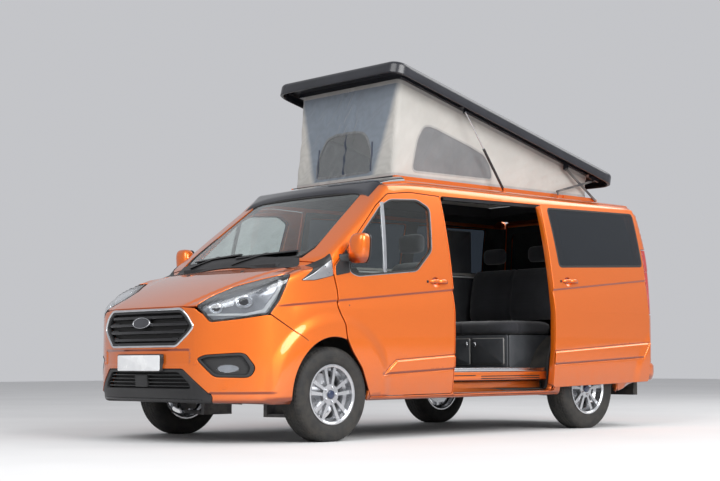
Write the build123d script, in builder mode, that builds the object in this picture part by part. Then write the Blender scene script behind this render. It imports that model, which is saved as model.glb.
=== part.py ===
"""Camper van with a lifting roof: a short panel van with its side door slid open and its tent up."""
from build123d import *
from functools import cache
import math
import os

os.makedirs("parts", exist_ok=True)

# Overall sizes of the van, in millimetres
NOSE_X = 2487.0
TAIL_X = -2447.0
HALF_WIDTH = 993.0
SILL_Z = 262.0
ROOF_Z = 2010.0
WALL = 55.0
SKIN = 12.0
SHUT_GAP = 6.0
PANEL_FIT = 0.3
WINDOW_CORNER = 35.0
GLASS_INSET = 8.0
GLASS_THICKNESS = 6.0
GLASS_FIT = 0.3

# Axles and wheels
FRONT_AXLE_X = 1478.5
REAR_AXLE_X = -1454.5
WHEEL_Z = 335.0
FRONT_WHEEL_Y = 868.0
REAR_WHEEL_Y = 860.0
TYRE_RADIUS = 343.0
TYRE_WIDTH = 215.0
RIM_RADIUS = 216.0
RIM_SEAT_RADIUS = 203.0
RIM_WIDTH = 190.0
SPINDLE_RADIUS = 32.0
RUNNING_GAP = 0.3
TYRE_FIT = 0.3
DISC_RADIUS = 150.0
DISC_THICKNESS = 24.0
DISC_OFFSET = 42.0
SPOKE_PAIRS = 5

# Steering axis: from the lower ball joint up to the strut's top mount
BALL_JOINT_Y = 784.0
BALL_JOINT_Z = 190.0
STRUT_TOP_Y = 652.0
STRUT_TOP_Z = 870.0

# Wheel arches
ARCH_HALF_LENGTH = 372.0
ARCH_TOP_Z = 746.0
ARCH_CENTRE_Z = 335.0
REAR_ARCH_HALF_LENGTH = 385.0
HOUSING_HALF_LENGTH = 425.0
HOUSING_TOP_Z = 800.0
HOUSING_INNER_Y = 560.0
HOUSING_OUTER_Y = 932.0
REAR_HOUSING_INNER_Y = 655.0
HOUSING_SPAN = (REAR_AXLE_X - 440.0, REAR_AXLE_X + 440.0)
LINER = 8.0

# Floor and rails
FLOOR_Z = 510.0
FLOOR_THICKNESS = 50.0
FLOOR_FRONT_X = 1280.0
FLOOR_REAR_X = -2310.0
FLOOR_HALF_WIDTH = 884.0
RAIL_Y = 450.0
RAIL_WIDTH = 80.0
RAIL_DEPTH = 82.0
BULKHEAD_X = 1320.0
POST_OUTER_Y = 860.0
POST_TOP = 1080.0
TOW_X = -2260.0
TOW_SPACING = 150.0
TOW_HOLE_RADIUS = 6.5
TOW_HOLE_DEPTH = 45.0

# Windscreen, on the centre line
SCREEN_BASE_X = 1650.0
SCREEN_BASE_Z = 1320.0
SCREEN_TOP_X = 868.0
SCREEN_TOP_Z = 1921.0
SCREEN_BOW = 100.0
SCREEN_FOOT = 40.0
BONNET_CROWN = 50.0
CROWN_OVERRUN = 4.0

# Side door opening and the door itself, which stands slid back
OPENING_FRONT_X = 215.0
OPENING_REAR_X = -1085.0
OPENING_SILL_Z = 315.0
OPENING_TOP_FRONT_Z = 1866.0
OPENING_TOP_REAR_Z = 1884.0
TOP_RAIL_DEPTH = 26.0
TOP_RAIL_Y = 798.0
TOP_RAIL_WIDTH = 34.0
RAIL_LIP = 4.0
SILL_BOX_Y = 805.0
LOW_RAIL_WIDTH = 34.0
LOW_RAIL_Z = 430.0
MIDDLE_RAIL_Y = 976.0
MIDDLE_RAIL_Z = 1212.0
ROLLER_X = -945.0
SLIDE_BACK = 1112.0
MIDDLE_RAIL_LENGTH = SLIDE_BACK + 18
CARRIAGE_SETBACK = 12.0
SLIDE_OUT = 84.0
SLIDE_UP = 30.0

# Roof aperture, frame and lifting roof
APERTURE_FRONT_X = 470.0
APERTURE_REAR_X = -1960.0
APERTURE_HALF_WIDTH = 585.0
FRAME_WIDTH = 40.0
FRAME_TOP_Z = 2028.0
ROOF_EDGE_Z = 1962.0
COWL_HALF_WIDTH = 715.0
COWL_TOP_Z = 2026.0
COWL_LIP = 25.0
COWL_BOW = 40.0
LID_ANGLE = 14.0
LID_FRONT_X = 600.0
LID_FRONT_Z = 2838.0
LID_LENGTH = 2860.0
LID_HALF_WIDTH = 735.0
LID_DEPTH = 96.0
LID_WALL = 12.0
CANVAS_HALF_WIDTH = 596.0
CANVAS_THICKNESS = 6.0
CANVAS_FRONT_X = 500.0
CANVAS_REAR_X = -1945.0
CANVAS_BASE_Z = FRAME_TOP_Z + 0.4

# Roof linkage, both sides: lifting arm, crossing link, short post and gas strut, given in X and Z
ARM_Y = 633.0
LINK_Y = 645.0
STRUT_Y = 690.0
LINK_TRACK_Y = 676.0
ARM_FOOT = (-2010.0, 2006.0)
ARM_HEAD = (-1602.0, 2258.0)
ARM_HEAD_DOWN_X = -1530.0
ARM_NOTCH = 8.0
LINK_FOOT = (-1455.0, 2048.0)
LINK_HEAD = (-1950.0, 2176.0)
LINK_CROSSING = (-1798.28, 2136.77)
POST_FOOT = (-1454.2, 2000.0)
ROLLER_RADIUS = 8.0
STRUT_FOOT = (-700.0, 2002.0)
STRUT_HEAD = (-245.0, 2600.0)
STRUT_RADIUS = 11.0
STRUT_ROD_RADIUS = 5.0
STRUT_TUBE_LENGTH = 400.0
STRUT_ROD_LENGTH = 390.0
STRUT_EYE_PLAY = 1.0
LID_CORNER = 110.0
LID_EDGE = 34.0
TENT_FRONT_RAIL = 176.0
TENT_REAR_RAIL = 2640.0
TENT_RAIL_Z = 20.0
CLOTH_GAP = 0.4

# Front and rear trim
SCUTTLE_REAR_X = 1560.0
SCUTTLE_FRONT_X = 1675.0
SCUTTLE_LOW_Z = 1200.0
SCUTTLE_INSET = 4.0
WIPER_PIVOTS = (-535.0, 45.0)
WIPER_HEIGHT = 12.0
SCUTTLE_TOP_Z = 1333.0
GRILLE_FRAME = 22.0
GRILLE_SLATS = 6
GRILLE_PITCH = 42.0
GRILLE_SLAT_HEIGHT = 20.0
GRILLE_BOTTOM_Z = 700.0
REAR_BUMPER_LOW_Z = 300.0
REAR_BUMPER_TOP_Z = 545.0
PLATE_HALF = 260.0
PLATE_LOW_Z = 800.0
PLATE_TOP_Z = 911.0

# Under the floor
FRONT_BEAM_X = 2330.0
LINER_OUTER_Y = 880.0
LINER_LOW_Z = 345.0
SUBFRAME_TOP_Z = 350.0
ENGINE_REAR_X = 1520.0
ENGINE_FRONT_X = 2120.0
ENGINE_HALF = 375.0
ENGINE_TOP_Z = 900.0
RADIATOR_GAP = 70.0
ARM_LOW_Z = 164.0
BALL_RADIUS = 20.0
HOUSING_ROOF_DROP = 100.0
REAR_BEAM_Y = 740.0
SPINDLE_REACH = 50.0
EXHAUST_Y = 200.0
EXHAUST_Z = 415.0

# Cab
STEERING_CENTRE = (985.0, -420.0, 1120.0)
STEERING_AXIS = (-0.88, 0.0, 0.475)
STEERING_COLUMN = 180.0
SEAT_Y = 430.0
SEAT_WIDTH = 500.0

# Door mirrors
MIRROR_ARM_Y = 925.0
MIRROR_INNER_Y = 975.0
MIRROR_OUTER_Y = 1136.0
MIRROR_LOW_Z = 1275.0
MIRROR_TOP_Z = 1500.0
MIRROR_ROUNDING = 32.0

SIDES = (("left", 1), ("right", -1))


def block(x0, x1, y0, y1, z0, z1, mode=Mode.ADD):
    """A box between two corners."""
    with Locations(((x0 + x1) / 2, (y0 + y1) / 2, (z0 + z1) / 2)):
        Box(abs(x1 - x0), abs(y1 - y0), abs(z1 - z0), mode=mode)


def side_prism(outline, y0, y1, mode=Mode.ADD, rounding=0.0, grow=0.0):
    """An outline seen from the side, given in X and Z, carried across from y0 to y1."""
    with BuildSketch(Plane.XZ.offset(-y0)) as face:
        with BuildLine():
            Polyline(*outline, close=True)
        make_face()
        if rounding:
            fillet(face.vertices(), rounding)
        if grow:
            offset(amount=grow, kind=Kind.INTERSECTION)
    extrude(face.sketch, amount=-(y1 - y0), mode=mode)


def front_prism(outline, x0, x1, mode=Mode.ADD, rounding=0.0, grow=0.0):
    """An outline seen from the front, given in Y and Z, carried along from x0 to x1."""
    with BuildSketch(Plane.YZ.offset(x0)) as face:
        with BuildLine():
            Polyline(*outline, close=True)
        make_face()
        if rounding:
            fillet(face.vertices(), rounding)
        if grow:
            offset(amount=grow, kind=Kind.INTERSECTION)
    extrude(face.sketch, amount=x1 - x0, mode=mode)


def plan_prism(outline, z0, z1, mode=Mode.ADD, rounding=0.0):
    """An outline seen from above, given in X and Y, carried up from z0 to z1."""
    with BuildSketch(Plane.XY.offset(z0)) as face:
        with BuildLine():
            Polyline(*outline, close=True)
        make_face()
        if rounding:
            fillet(face.vertices(), rounding)
    extrude(face.sketch, amount=z1 - z0, mode=mode)


def bar(start, end, radius, mode=Mode.ADD):
    """A round bar between two points."""
    run = Vector(*end) - Vector(*start)
    with BuildSketch(Plane(origin=start, z_dir=tuple(run))) as face:
        Circle(radius)
    extrude(face.sketch, amount=run.length, mode=mode)


def pin(place, radius, y0, y1, mode=Mode.ADD):
    """A round pin across the van at a pivot, given in X and Z."""
    with BuildSketch(Plane.XZ.offset(-y0)) as face:
        with Locations(place):
            Circle(radius)
    extrude(face.sketch, amount=-(y1 - y0), mode=mode)


def both(y0, y1, hand):
    """The two Y limits of a piece on one side, in rising order."""
    return sorted((hand * y0, hand * y1))


def mirrored(outline):
    """The same outline on the other side of the centre plane."""
    return [(-y, z) for y, z in outline]


def save(part, name):
    part.label = name
    export_step(part, f"parts/{name}.step")


def bonnet_circle():
    """Centre and radius of the circle that the bonnet's centre line follows."""
    (ax, az), (bx, bz), (cx, cz) = (2433, 960), (2120, 1115), (1700, 1262)
    twice = 2 * (ax * (bz - cz) + bx * (cz - az) + cx * (az - bz))
    a, b, c = ax * ax + az * az, bx * bx + bz * bz, cx * cx + cz * cz
    x = (a * (bz - cz) + b * (cz - az) + c * (az - bz)) / twice
    z = (a * (cx - bx) + b * (ax - cx) + c * (bx - ax)) / twice
    return Vector(x, 0, z), math.hypot(ax - x, az - z)


# Body outline from the front: sill, sides leaning in above the waist, rounded roof edge, arched roof
@cache
def body_volume(inset):
    """The whole van as one closed form, every face moved in by inset."""
    shrink_y = 1 - inset / HALF_WIDTH
    shrink_z = 1 - 2 * inset / (ROOF_Z - SILL_Z)

    def at(y, z):
        """A point of the section, moved in by the inset."""
        return (y * shrink_y, SILL_Z + inset + (z - SILL_Z) * shrink_z)

    with BuildPart() as volume:
        with BuildSketch(Plane.YZ.offset(TAIL_X - 100)) as section:
            with BuildLine():
                Line(at(0, SILL_Z), at(905, SILL_Z))
                Line(at(905, SILL_Z), at(945, 300))
                ThreePointArc(at(945, 300), at(982, 620), at(HALF_WIDTH, 950))
                Line(at(HALF_WIDTH, 950), at(957, 1215))
                ThreePointArc(at(957, 1215), at(905, 1530), at(815, 1905))
                ThreePointArc(at(815, 1905), at(765, 1957), at(640, 1985))
                ThreePointArc(at(640, 1985), at(322, 2004), at(0, ROOF_Z))
                Line(at(0, ROOF_Z), at(0, SILL_Z))
            make_face()
            mirror(about=Plane.YZ)
        extrude(amount=NOSE_X - TAIL_X + 200)
        with BuildSketch(Plane.XY.offset(SILL_Z - 50)) as plan:
            with BuildLine():
                Line((TAIL_X, 0), (TAIL_X, 760))
                ThreePointArc((TAIL_X, 760), (TAIL_X + 35, 905), (TAIL_X + 140, 1000))
                Line((TAIL_X + 140, 1000), (1450, 1000))
                ThreePointArc((1450, 1000), (1780, 978), (2010, 930))
                ThreePointArc((2010, 930), (2280, 750), (2400, 550))
                ThreePointArc((2400, 550), (2465, 275), (NOSE_X, 0))
                Line((NOSE_X, 0), (TAIL_X, 0))
            make_face()
            mirror(about=Plane.XZ)
            if inset:
                offset(amount=-inset, kind=Kind.INTERSECTION)
        extrude(amount=ROOF_Z + 100, mode=Mode.INTERSECT)
        with BuildSketch(Plane.XZ.offset(-HALF_WIDTH - 50)) as profile:
            with BuildLine():
                Line((TAIL_X + 10, SILL_Z - 20), (2430, SILL_Z - 20))
                Line((2430, SILL_Z - 20), (2455, 320))
                ThreePointArc((2455, 320), (NOSE_X, 540), (2433, 960))
                ThreePointArc((2433, 960), (2120, 1115), (1700, 1262))
                Line((1700, 1262), (SCREEN_BASE_X, SCREEN_BASE_Z))
                Line((SCREEN_BASE_X, SCREEN_BASE_Z), (SCREEN_TOP_X, SCREEN_TOP_Z))
                ThreePointArc((SCREEN_TOP_X, SCREEN_TOP_Z), (300, 1993), (-500, ROOF_Z + 1))
                Line((-500, ROOF_Z + 1), (-2200, ROOF_Z - 8))
                ThreePointArc((-2200, ROOF_Z - 8), (-2320, ROOF_Z - 40), (-2380, ROOF_Z - 110))
                Line((-2380, ROOF_Z - 110), (TAIL_X, 1150))
                Line((TAIL_X, 1150), (TAIL_X + 10, SILL_Z - 20))
            make_face()
            if inset:
                offset(amount=-inset, kind=Kind.INTERSECTION)
        extrude(amount=2 * HALF_WIDTH + 100, mode=Mode.INTERSECT)
        # The windscreen bows forward in the middle, so its sides are cut back by an arc
        base = Vector(SCREEN_BASE_X, 0, SCREEN_BASE_Z)
        rake = (Vector(SCREEN_TOP_X, 0, SCREEN_TOP_Z) - base).normalized()
        inward = rake.cross(Vector(0, 1, 0))
        foot = base + inward * inset - rake * SCREEN_FOOT
        screen = Plane(origin=tuple(foot), x_dir=(0, 1, 0), z_dir=tuple(rake))
        with BuildSketch(screen):
            with BuildLine():
                ThreePointArc((-HALF_WIDTH, SCREEN_BOW), (0, 0), (HALF_WIDTH, SCREEN_BOW))
                Line((HALF_WIDTH, SCREEN_BOW), (HALF_WIDTH, -300))
                Line((HALF_WIDTH, -300), (-HALF_WIDTH, -300))
                Line((-HALF_WIDTH, -300), (-HALF_WIDTH, SCREEN_BOW))
            make_face()
        extrude(amount=1200, mode=Mode.SUBTRACT)
        # The bonnet is crowned: its sides are cut back by an arc carried round the bonnet's own curve
        front, rear = Vector(2433, 0, 960), Vector(1700, 0, 1262)
        centre, radius = bonnet_circle()
        start = (front - centre).normalized().rotate(Axis.Y, CROWN_OVERRUN)
        sweep = CROWN_OVERRUN + (front - centre).get_angle(rear - centre)
        section = Plane(origin=centre, x_dir=(0, 1, 0), z_dir=(start.Z, 0, -start.X))
        reach = HALF_WIDTH + 60
        top = radius - inset
        with BuildSketch(section) as crown:
            with BuildLine():
                ThreePointArc((-reach, top - BONNET_CROWN), (0, top), (reach, top - BONNET_CROWN))
                Line((reach, top - BONNET_CROWN), (reach, top + 400))
                Line((reach, top + 400), (-reach, top + 400))
                Line((-reach, top + 400), (-reach, top - BONNET_CROWN))
            make_face()
        revolve(crown.sketch, axis=Axis(centre, (0, -1, 0)), revolution_arc=sweep, mode=Mode.SUBTRACT)
    return volume.part


# Hinges: round pins in eyes, each given where its axis runs
HINGE_PIN = 5.0
BONNET_REAR_X = 1690.0
BONNET_EDGE_Y = 800.0
BONNET_HINGE = (1700.0, 1250.0)
BONNET_TOP_Z = 1264.0
BONNET_SWEEP = 14.0
WING_THICKNESS = 14.0
DOOR_HINGE_X = 1320.0
DOOR_HINGE_Y = 964.0
DOOR_HINGE_Z = (815.0, 960.0)
DOOR_HINGE_EYE = 10.0
DOOR_HINGE_HALF = 20.0
DOOR_POCKET_REAR = 25.0
TAILGATE_HINGE = (-2368.0, 1925.0)
TAILGATE_HINGE_Y = 450.0
TAILGATE_BARREL = 8.0
TAILGATE_BARREL_HALF = 30.0
TAILGATE_EAR = 8.0

# Outlines seen from the side
FRONT_DOOR = [
    (1452, 1186), (1430, 1083), (1424, 956), (1370, 837), (1353, 729), (1300, 640), (1200, 520), (1112, 335),
    (1100, 316), (221, 324), (221, 1860), (560, 1868), (800, 1838), (940, 1738), (1300, 1392), (1440, 1262),
]
FRONT_WINDOW = [
    (1290, 1357), (1290, 1224), (1222, 1200), (606, 1261), (420, 1423), (370, 1753), (485, 1809), (780, 1790), (900, 1730),
]
SIDE_OPENING = [
    (OPENING_FRONT_X, OPENING_SILL_Z), (OPENING_FRONT_X, OPENING_TOP_FRONT_Z), (OPENING_REAR_X, OPENING_TOP_REAR_Z),
    (OPENING_REAR_X, 820), (OPENING_REAR_X + 75, 600), (OPENING_REAR_X + 85, OPENING_SILL_Z + 10),
]
SIDE_DOOR_WINDOW = [(98, 1322), (128, 1812), (-1046, 1836), (-1050, 1372)]
SLIDING_DOOR = [(209, 322), (209, 1850), (-1079, 1884), (-1079, 356)]
REAR_SIDE_WINDOW = [(-1200, 1392), (-1200, 1838), (-2150, 1852), (-2200, 1425)]
MIDDLE_SIDE_WINDOW = [(98, 1322), (128, 1812), (-1046, 1836), (-1050, 1372)]
SIDE_PANEL = [
    (TAIL_X - 20, 250), (1118, 250), (1118, 420), (1240, 700), (1400, 1100), (1458, 1194), (1560, 1290), (1690, 1345),
    (905, 1960), (905, 2030), (TAIL_X - 20, 2030),
]
WING = [
    (1460, 1194), (1438, 1083), (1432, 956), (1378, 837), (1364, 729), (1364, 500), (1866, 500), (1866, 800),
    (2085, 862), (2085, 1300), (1702, 1345), (1566, 1284),
]
SCREEN_PILLAR = [(905, 1600), (905, 1980), (1730, 1346), (1560, 1290), (1452, 1192), (1300, 1340)]
POST_X = (165, 275)
POST_TOP_Z = 1850
DOOR_POST = [(POST_X[0], 292), (POST_X[0], 1912), (POST_X[1], 1912), (POST_X[1], 292)]

DASHBOARD = [
    (BULKHEAD_X - 12, 700), (BULKHEAD_X - 12, 1183), (1548, 1234), (1532, 1260), (1180, 1190), (1075, 1130), (1040, 1010),
    (1110, 860), (1230, 700),
]

# Outlines seen from the front, left half of the van
GRILLE = [(-534, 818), (-413, 947), (413, 947), (534, 818), (401, 673), (-401, 673)]
LOWER_INTAKE = [
    (-460, 529), (-270, 529), (-264, 503), (264, 503), (270, 529), (460, 529), (648, 345), (600, 304), (-600, 304),
    (-648, 345),
]
HEADLAMP = [(548, 946), (618, 851), (850, 873), (945, 892), (945, 1186), (890, 1188), (740, 1066)]
FOG_LAMP = [(600, 596), (800, 634), (885, 528), (850, 459), (680, 468)]
TAILGATE = [(-800, 560), (800, 560), (842, 1150), (800, 1500), (742, 1925), (-742, 1925), (-800, 1500), (-842, 1150)]
TAILGATE_WINDOW = [(-715, 1290), (715, 1290), (640, 1800), (-640, 1800)]
TAIL_LAMP = [(858, 980), (1000, 980), (1000, 1560), (812, 1560)]
SCREEN = [(-700, 1335), (700, 1335), (735, 1400), (622, 1885), (-622, 1885), (-735, 1400)]

# Outlines seen from above
BONNET = [
    (BONNET_REAR_X, -BONNET_EDGE_Y), (BONNET_REAR_X, BONNET_EDGE_Y), (1900, 800), (2120, 735), (2335, 560), (2420, 420), (2500, 300), (2500, -300),
    (2420, -420), (2335, -560), (2120, -735), (1900, -800),
]

# Where the body's pieces part
BONNET_LIP_Z = 953.0
BONNET_THICKNESS = 28.0
BUMPER_REAR_X = 1866.0
SIDE_INNER_Y = 745.0
PILLAR_INNER_Y = 560.0
ROOF_SIDE_Z = 1780.0
LAMP_DEPTH = 90.0
TAIL_LAMP_FRONT_X = -2325.0
TAIL_LAMP_DEPTH = 50.0
DOOR_SEAL = 6.0
DOOR_RETURN = 24.0


def arch(centre_x, half_length, y0, y1):
    """A wheel arch through the side: a flattened round top over the axle, open below."""
    with BuildSketch(Plane.XZ.offset(-y0)) as face:
        with Locations((centre_x, ARCH_CENTRE_Z)):
            Ellipse(half_length, ARCH_TOP_Z - ARCH_CENTRE_Z)
        with Locations((centre_x, ARCH_CENTRE_Z - 200)):
            Rectangle(2 * half_length, 400)
    extrude(face.sketch, amount=-(y1 - y0), mode=Mode.SUBTRACT)


def wheel_housing(centre_x, y0, y1, top_z, half_length, mode=Mode.SUBTRACT):
    """The space round a wheel inside the body: an arched tunnel open below."""
    with BuildSketch(Plane.XZ.offset(-y0)) as face:
        with Locations((centre_x, ARCH_CENTRE_Z)):
            Ellipse(half_length, top_z - ARCH_CENTRE_Z)
        with Locations((centre_x, ARCH_CENTRE_Z - 200)):
            Rectangle(2 * half_length, 400)
    extrude(face.sketch, amount=-(y1 - y0), mode=mode)


def clear_wheels():
    """Cuts both arches and the space behind them on both sides."""
    for _, hand in SIDES:
        lip = sorted((hand * HOUSING_OUTER_Y, hand * (HALF_WIDTH + 40)))
        arch(FRONT_AXLE_X, ARCH_HALF_LENGTH, *lip)
        arch(REAR_AXLE_X, REAR_ARCH_HALF_LENGTH, *lip)
        front = sorted((hand * HOUSING_INNER_Y, hand * HOUSING_OUTER_Y))
        wheel_housing(FRONT_AXLE_X, *front, HOUSING_TOP_Z, HOUSING_HALF_LENGTH)
        rear = sorted((hand * REAR_HOUSING_INNER_Y, hand * HOUSING_OUTER_Y))
        wheel_housing(REAR_AXLE_X, *rear, HOUSING_TOP_Z, HOUSING_HALF_LENGTH)


@cache
def layer(outer_inset, inner_inset):
    """The body's shell between two insets."""
    with BuildPart() as shell:
        add(body_volume(outer_inset))
        add(body_volume(inner_inset), mode=Mode.SUBTRACT)
    return shell.part


wall = layer(0, WALL)
skin = layer(0, SKIN)
lining = layer(SKIN, WALL)
glazing = layer(GLASS_INSET, GLASS_INSET + GLASS_THICKNESS)
post_layer = layer(WALL + DOOR_SEAL, WALL + DOOR_SEAL + 40)


def glass_pane(outline, hand):
    """A side window: the part of the glass layer inside the window's outline."""
    with BuildPart() as pane:
        add(glazing)
        side_prism(outline, *both(500, 1010, hand), mode=Mode.INTERSECT, rounding=WINDOW_CORNER, grow=-GLASS_FIT)
    return pane.part


# Body sides, with the door openings, window openings and the pillars behind the shut lines
for name, hand in SIDES:
    with BuildPart() as pillar:
        add(wall)
        side_prism(SCREEN_PILLAR, *both(PILLAR_INNER_Y, SIDE_INNER_Y, hand), mode=Mode.INTERSECT)
    with BuildPart() as post:
        add(post_layer)
        side_prism(DOOR_POST, *both(SIDE_INNER_Y, HALF_WIDTH, hand), mode=Mode.INTERSECT)
    with BuildPart() as end_space:
        block(*POST_X, *both(SIDE_INNER_Y, HALF_WIDTH, hand), SILL_Z + WALL - 5, SILL_Z + WALL + 15)
        block(*POST_X, *both(SIDE_INNER_Y, HALF_WIDTH, hand), POST_TOP_Z, POST_TOP_Z + 50)
    with BuildPart() as post_ends:
        add(layer(WALL - 5, WALL + DOOR_SEAL + 40))
        add(end_space.part, mode=Mode.INTERSECT)
    with BuildPart() as side:
        add(wall)
        y0, y1 = both(SIDE_INNER_Y, HALF_WIDTH + 20, hand)
        side_prism(SIDE_PANEL, y0, y1, mode=Mode.INTERSECT)
        add(pillar.part)
        side_prism(FRONT_DOOR, y0, y1, mode=Mode.SUBTRACT, grow=SHUT_GAP)
        front_prism(SCREEN, 780, 1760, mode=Mode.SUBTRACT, grow=1.0)
        if hand > 0:
            side_prism(SIDE_OPENING, y0, y1, mode=Mode.SUBTRACT)
        else:
            side_prism(MIDDLE_SIDE_WINDOW, y0, y1, mode=Mode.SUBTRACT, rounding=WINDOW_CORNER)
        side_prism(REAR_SIDE_WINDOW, y0, y1, mode=Mode.SUBTRACT, rounding=WINDOW_CORNER)
        front_prism(TAILGATE, TAIL_X - 50, TAIL_X + 250, mode=Mode.SUBTRACT, grow=SHUT_GAP)
        lamp = TAIL_LAMP if hand > 0 else mirrored(TAIL_LAMP)
        front_prism(lamp, TAIL_X - 50, TAIL_LAMP_FRONT_X, mode=Mode.SUBTRACT)
        clear_wheels()
        add(post.part)
        add(post_ends.part)
    save(side.part, f"side_{name}")

# Roof with the aperture under the lifting lid and the raised frame round it
with BuildPart() as roof_panel:
    add(wall)
    block(TAIL_X - 20, 905, -SIDE_INNER_Y + 0.5, SIDE_INNER_Y - 0.5, ROOF_SIDE_Z, ROOF_Z + 20, mode=Mode.INTERSECT)
    front_prism(SCREEN, 780, 1760, mode=Mode.SUBTRACT, grow=1.0)
    front_prism(TAILGATE, TAIL_X - 50, TAIL_X + 250, mode=Mode.SUBTRACT, grow=SHUT_GAP)
    frame_x = (APERTURE_REAR_X - FRAME_WIDTH, APERTURE_FRONT_X + FRAME_WIDTH)
    frame_y = APERTURE_HALF_WIDTH + FRAME_WIDTH
    block(*frame_x, -frame_y, frame_y, 1968, FRAME_TOP_Z)
    aperture = (APERTURE_REAR_X, APERTURE_FRONT_X, -APERTURE_HALF_WIDTH, APERTURE_HALF_WIDTH)
    block(*aperture, 1850, FRAME_TOP_Z + 20, mode=Mode.SUBTRACT)
    for _, hand in SIDES:
        block(ARM_FOOT[0] - 25, ARM_FOOT[0] + 25, *both(frame_y - 30, ARM_Y - 1, hand), ROOF_EDGE_Z, ARM_FOOT[1] + 12)
        pin(ARM_FOOT, 5, *both(ARM_Y - 2, ARM_Y + 8, hand))
        notch = both(frame_y - ARM_NOTCH, frame_y + 1, hand)
        block(ARM_HEAD_DOWN_X - 45, ARM_HEAD_DOWN_X + 45, *notch, 1985, FRAME_TOP_Z + 1, mode=Mode.SUBTRACT)
        block(POST_FOOT[0] - 16, POST_FOOT[0] + 16, *both(LINK_Y + 16, LINK_Y + 24, hand), ROOF_EDGE_Z, POST_FOOT[1] + 10)
        pin(POST_FOOT, 5, *both(LINK_Y + 9, LINK_Y + 17, hand))
        foot_y = both(STRUT_Y + 13, STRUT_Y + 20, hand)
        block(STRUT_FOOT[0] - 16, STRUT_FOOT[0] + 16, *foot_y, ROOF_EDGE_Z - 10, STRUT_FOOT[1] + 10)
        pin(STRUT_FOOT, 4, *both(STRUT_Y - 5, STRUT_Y + 14, hand))
        y0, y1 = both(TAILGATE_HINGE_Y - TAILGATE_BARREL_HALF, TAILGATE_HINGE_Y + TAILGATE_BARREL_HALF, hand)
        pin(TAILGATE_HINGE, TAILGATE_BARREL + 3, y0 - 1, y1 + 1, mode=Mode.SUBTRACT)
        for ear in (y0 - TAILGATE_EAR, y1 + 1):
            pin(TAILGATE_HINGE, TAILGATE_BARREL + 1, ear, ear + TAILGATE_EAR - 1)
            hinge_x, hinge_z = TAILGATE_HINGE
            block(hinge_x, hinge_x + TAILGATE_BARREL + 1, ear, ear + TAILGATE_EAR - 1, hinge_z, hinge_z + 20)
        pin(TAILGATE_HINGE, HINGE_PIN, y0 - 2, y1 + 2)
save(roof_panel.part, "roof_panel")

# Cowl that closes the front of the lifting roof, following the top of the windscreen
with BuildPart() as roof_cowl:
    with BuildSketch(Plane.XY.offset(1850)) as cowl_plan:
        with BuildLine():
            Line((frame_x[1], -COWL_HALF_WIDTH), (frame_x[1], COWL_HALF_WIDTH))
            Line((frame_x[1], COWL_HALF_WIDTH), (SCREEN_TOP_X - COWL_BOW, COWL_HALF_WIDTH))
            ThreePointArc(
                (SCREEN_TOP_X - COWL_BOW, COWL_HALF_WIDTH), (SCREEN_TOP_X + COWL_LIP, 0),
                (SCREEN_TOP_X - COWL_BOW, -COWL_HALF_WIDTH),
            )
            Line((SCREEN_TOP_X - COWL_BOW, -COWL_HALF_WIDTH), (frame_x[1], -COWL_HALF_WIDTH))
        make_face()
        fillet(cowl_plan.vertices().group_by(Axis.X)[-1], 60)
    extrude(amount=200)
    cowl_side = [
        (frame_x[1], 1850), (frame_x[1], COWL_TOP_Z), (frame_x[1] + 90, COWL_TOP_Z), (760, 2000),
        (SCREEN_TOP_X + COWL_LIP, 1930), (SCREEN_TOP_X + COWL_LIP, 1850),
    ]
    side_prism(cowl_side, -COWL_HALF_WIDTH, COWL_HALF_WIDTH, mode=Mode.INTERSECT)
    cowl_front = [
        (-COWL_HALF_WIDTH, 1850), (-COWL_HALF_WIDTH, 1962), (-COWL_HALF_WIDTH + 90, COWL_TOP_Z - 4),
        (COWL_HALF_WIDTH - 90, COWL_TOP_Z - 4), (COWL_HALF_WIDTH, 1962), (COWL_HALF_WIDTH, 1850),
    ]
    front_prism(cowl_front, frame_x[1], 950, mode=Mode.INTERSECT)
    add(body_volume(0), mode=Mode.SUBTRACT)
save(roof_cowl.part, "roof_cowl")

# Windscreen
with BuildPart() as windscreen:
    add(glazing)
    front_prism(SCREEN, 780, 1760, mode=Mode.INTERSECT)
save(windscreen.part, "windscreen")

# Front wings, bonnet and bumper
with BuildPart() as wing_space:
    side_prism(WING, PILLAR_INNER_Y, HALF_WIDTH + 20)
    side_prism(WING, -HALF_WIDTH - 20, -PILLAR_INNER_Y)
bonnet_hole = [(x - BONNET_SWEEP if x == BONNET_REAR_X else x, y + math.copysign(4, y)) for x, y in BONNET]
with BuildPart() as wings:
    add(layer(0, WING_THICKNESS))
    add(wing_space.part, mode=Mode.INTERSECT)
    plan_prism(bonnet_hole, BONNET_LIP_Z, 1500, mode=Mode.SUBTRACT)
    for _, hand in SIDES:
        hinge_x, hinge_z = BONNET_HINGE
        boss = both(BONNET_EDGE_Y + 5, BONNET_EDGE_Y + 30, hand)
        block(hinge_x - 12, hinge_x + 12, *boss, hinge_z - 14, hinge_z + 8)
        pin(BONNET_HINGE, HINGE_PIN, *both(BONNET_EDGE_Y - 14, BONNET_EDGE_Y + 6, hand))
    front_prism(HEADLAMP, 1740, 2500, mode=Mode.SUBTRACT, grow=PANEL_FIT)
    front_prism(mirrored(HEADLAMP), 1740, 2500, mode=Mode.SUBTRACT, grow=PANEL_FIT)
    clear_wheels()
save(wings.part, "wings")

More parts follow.
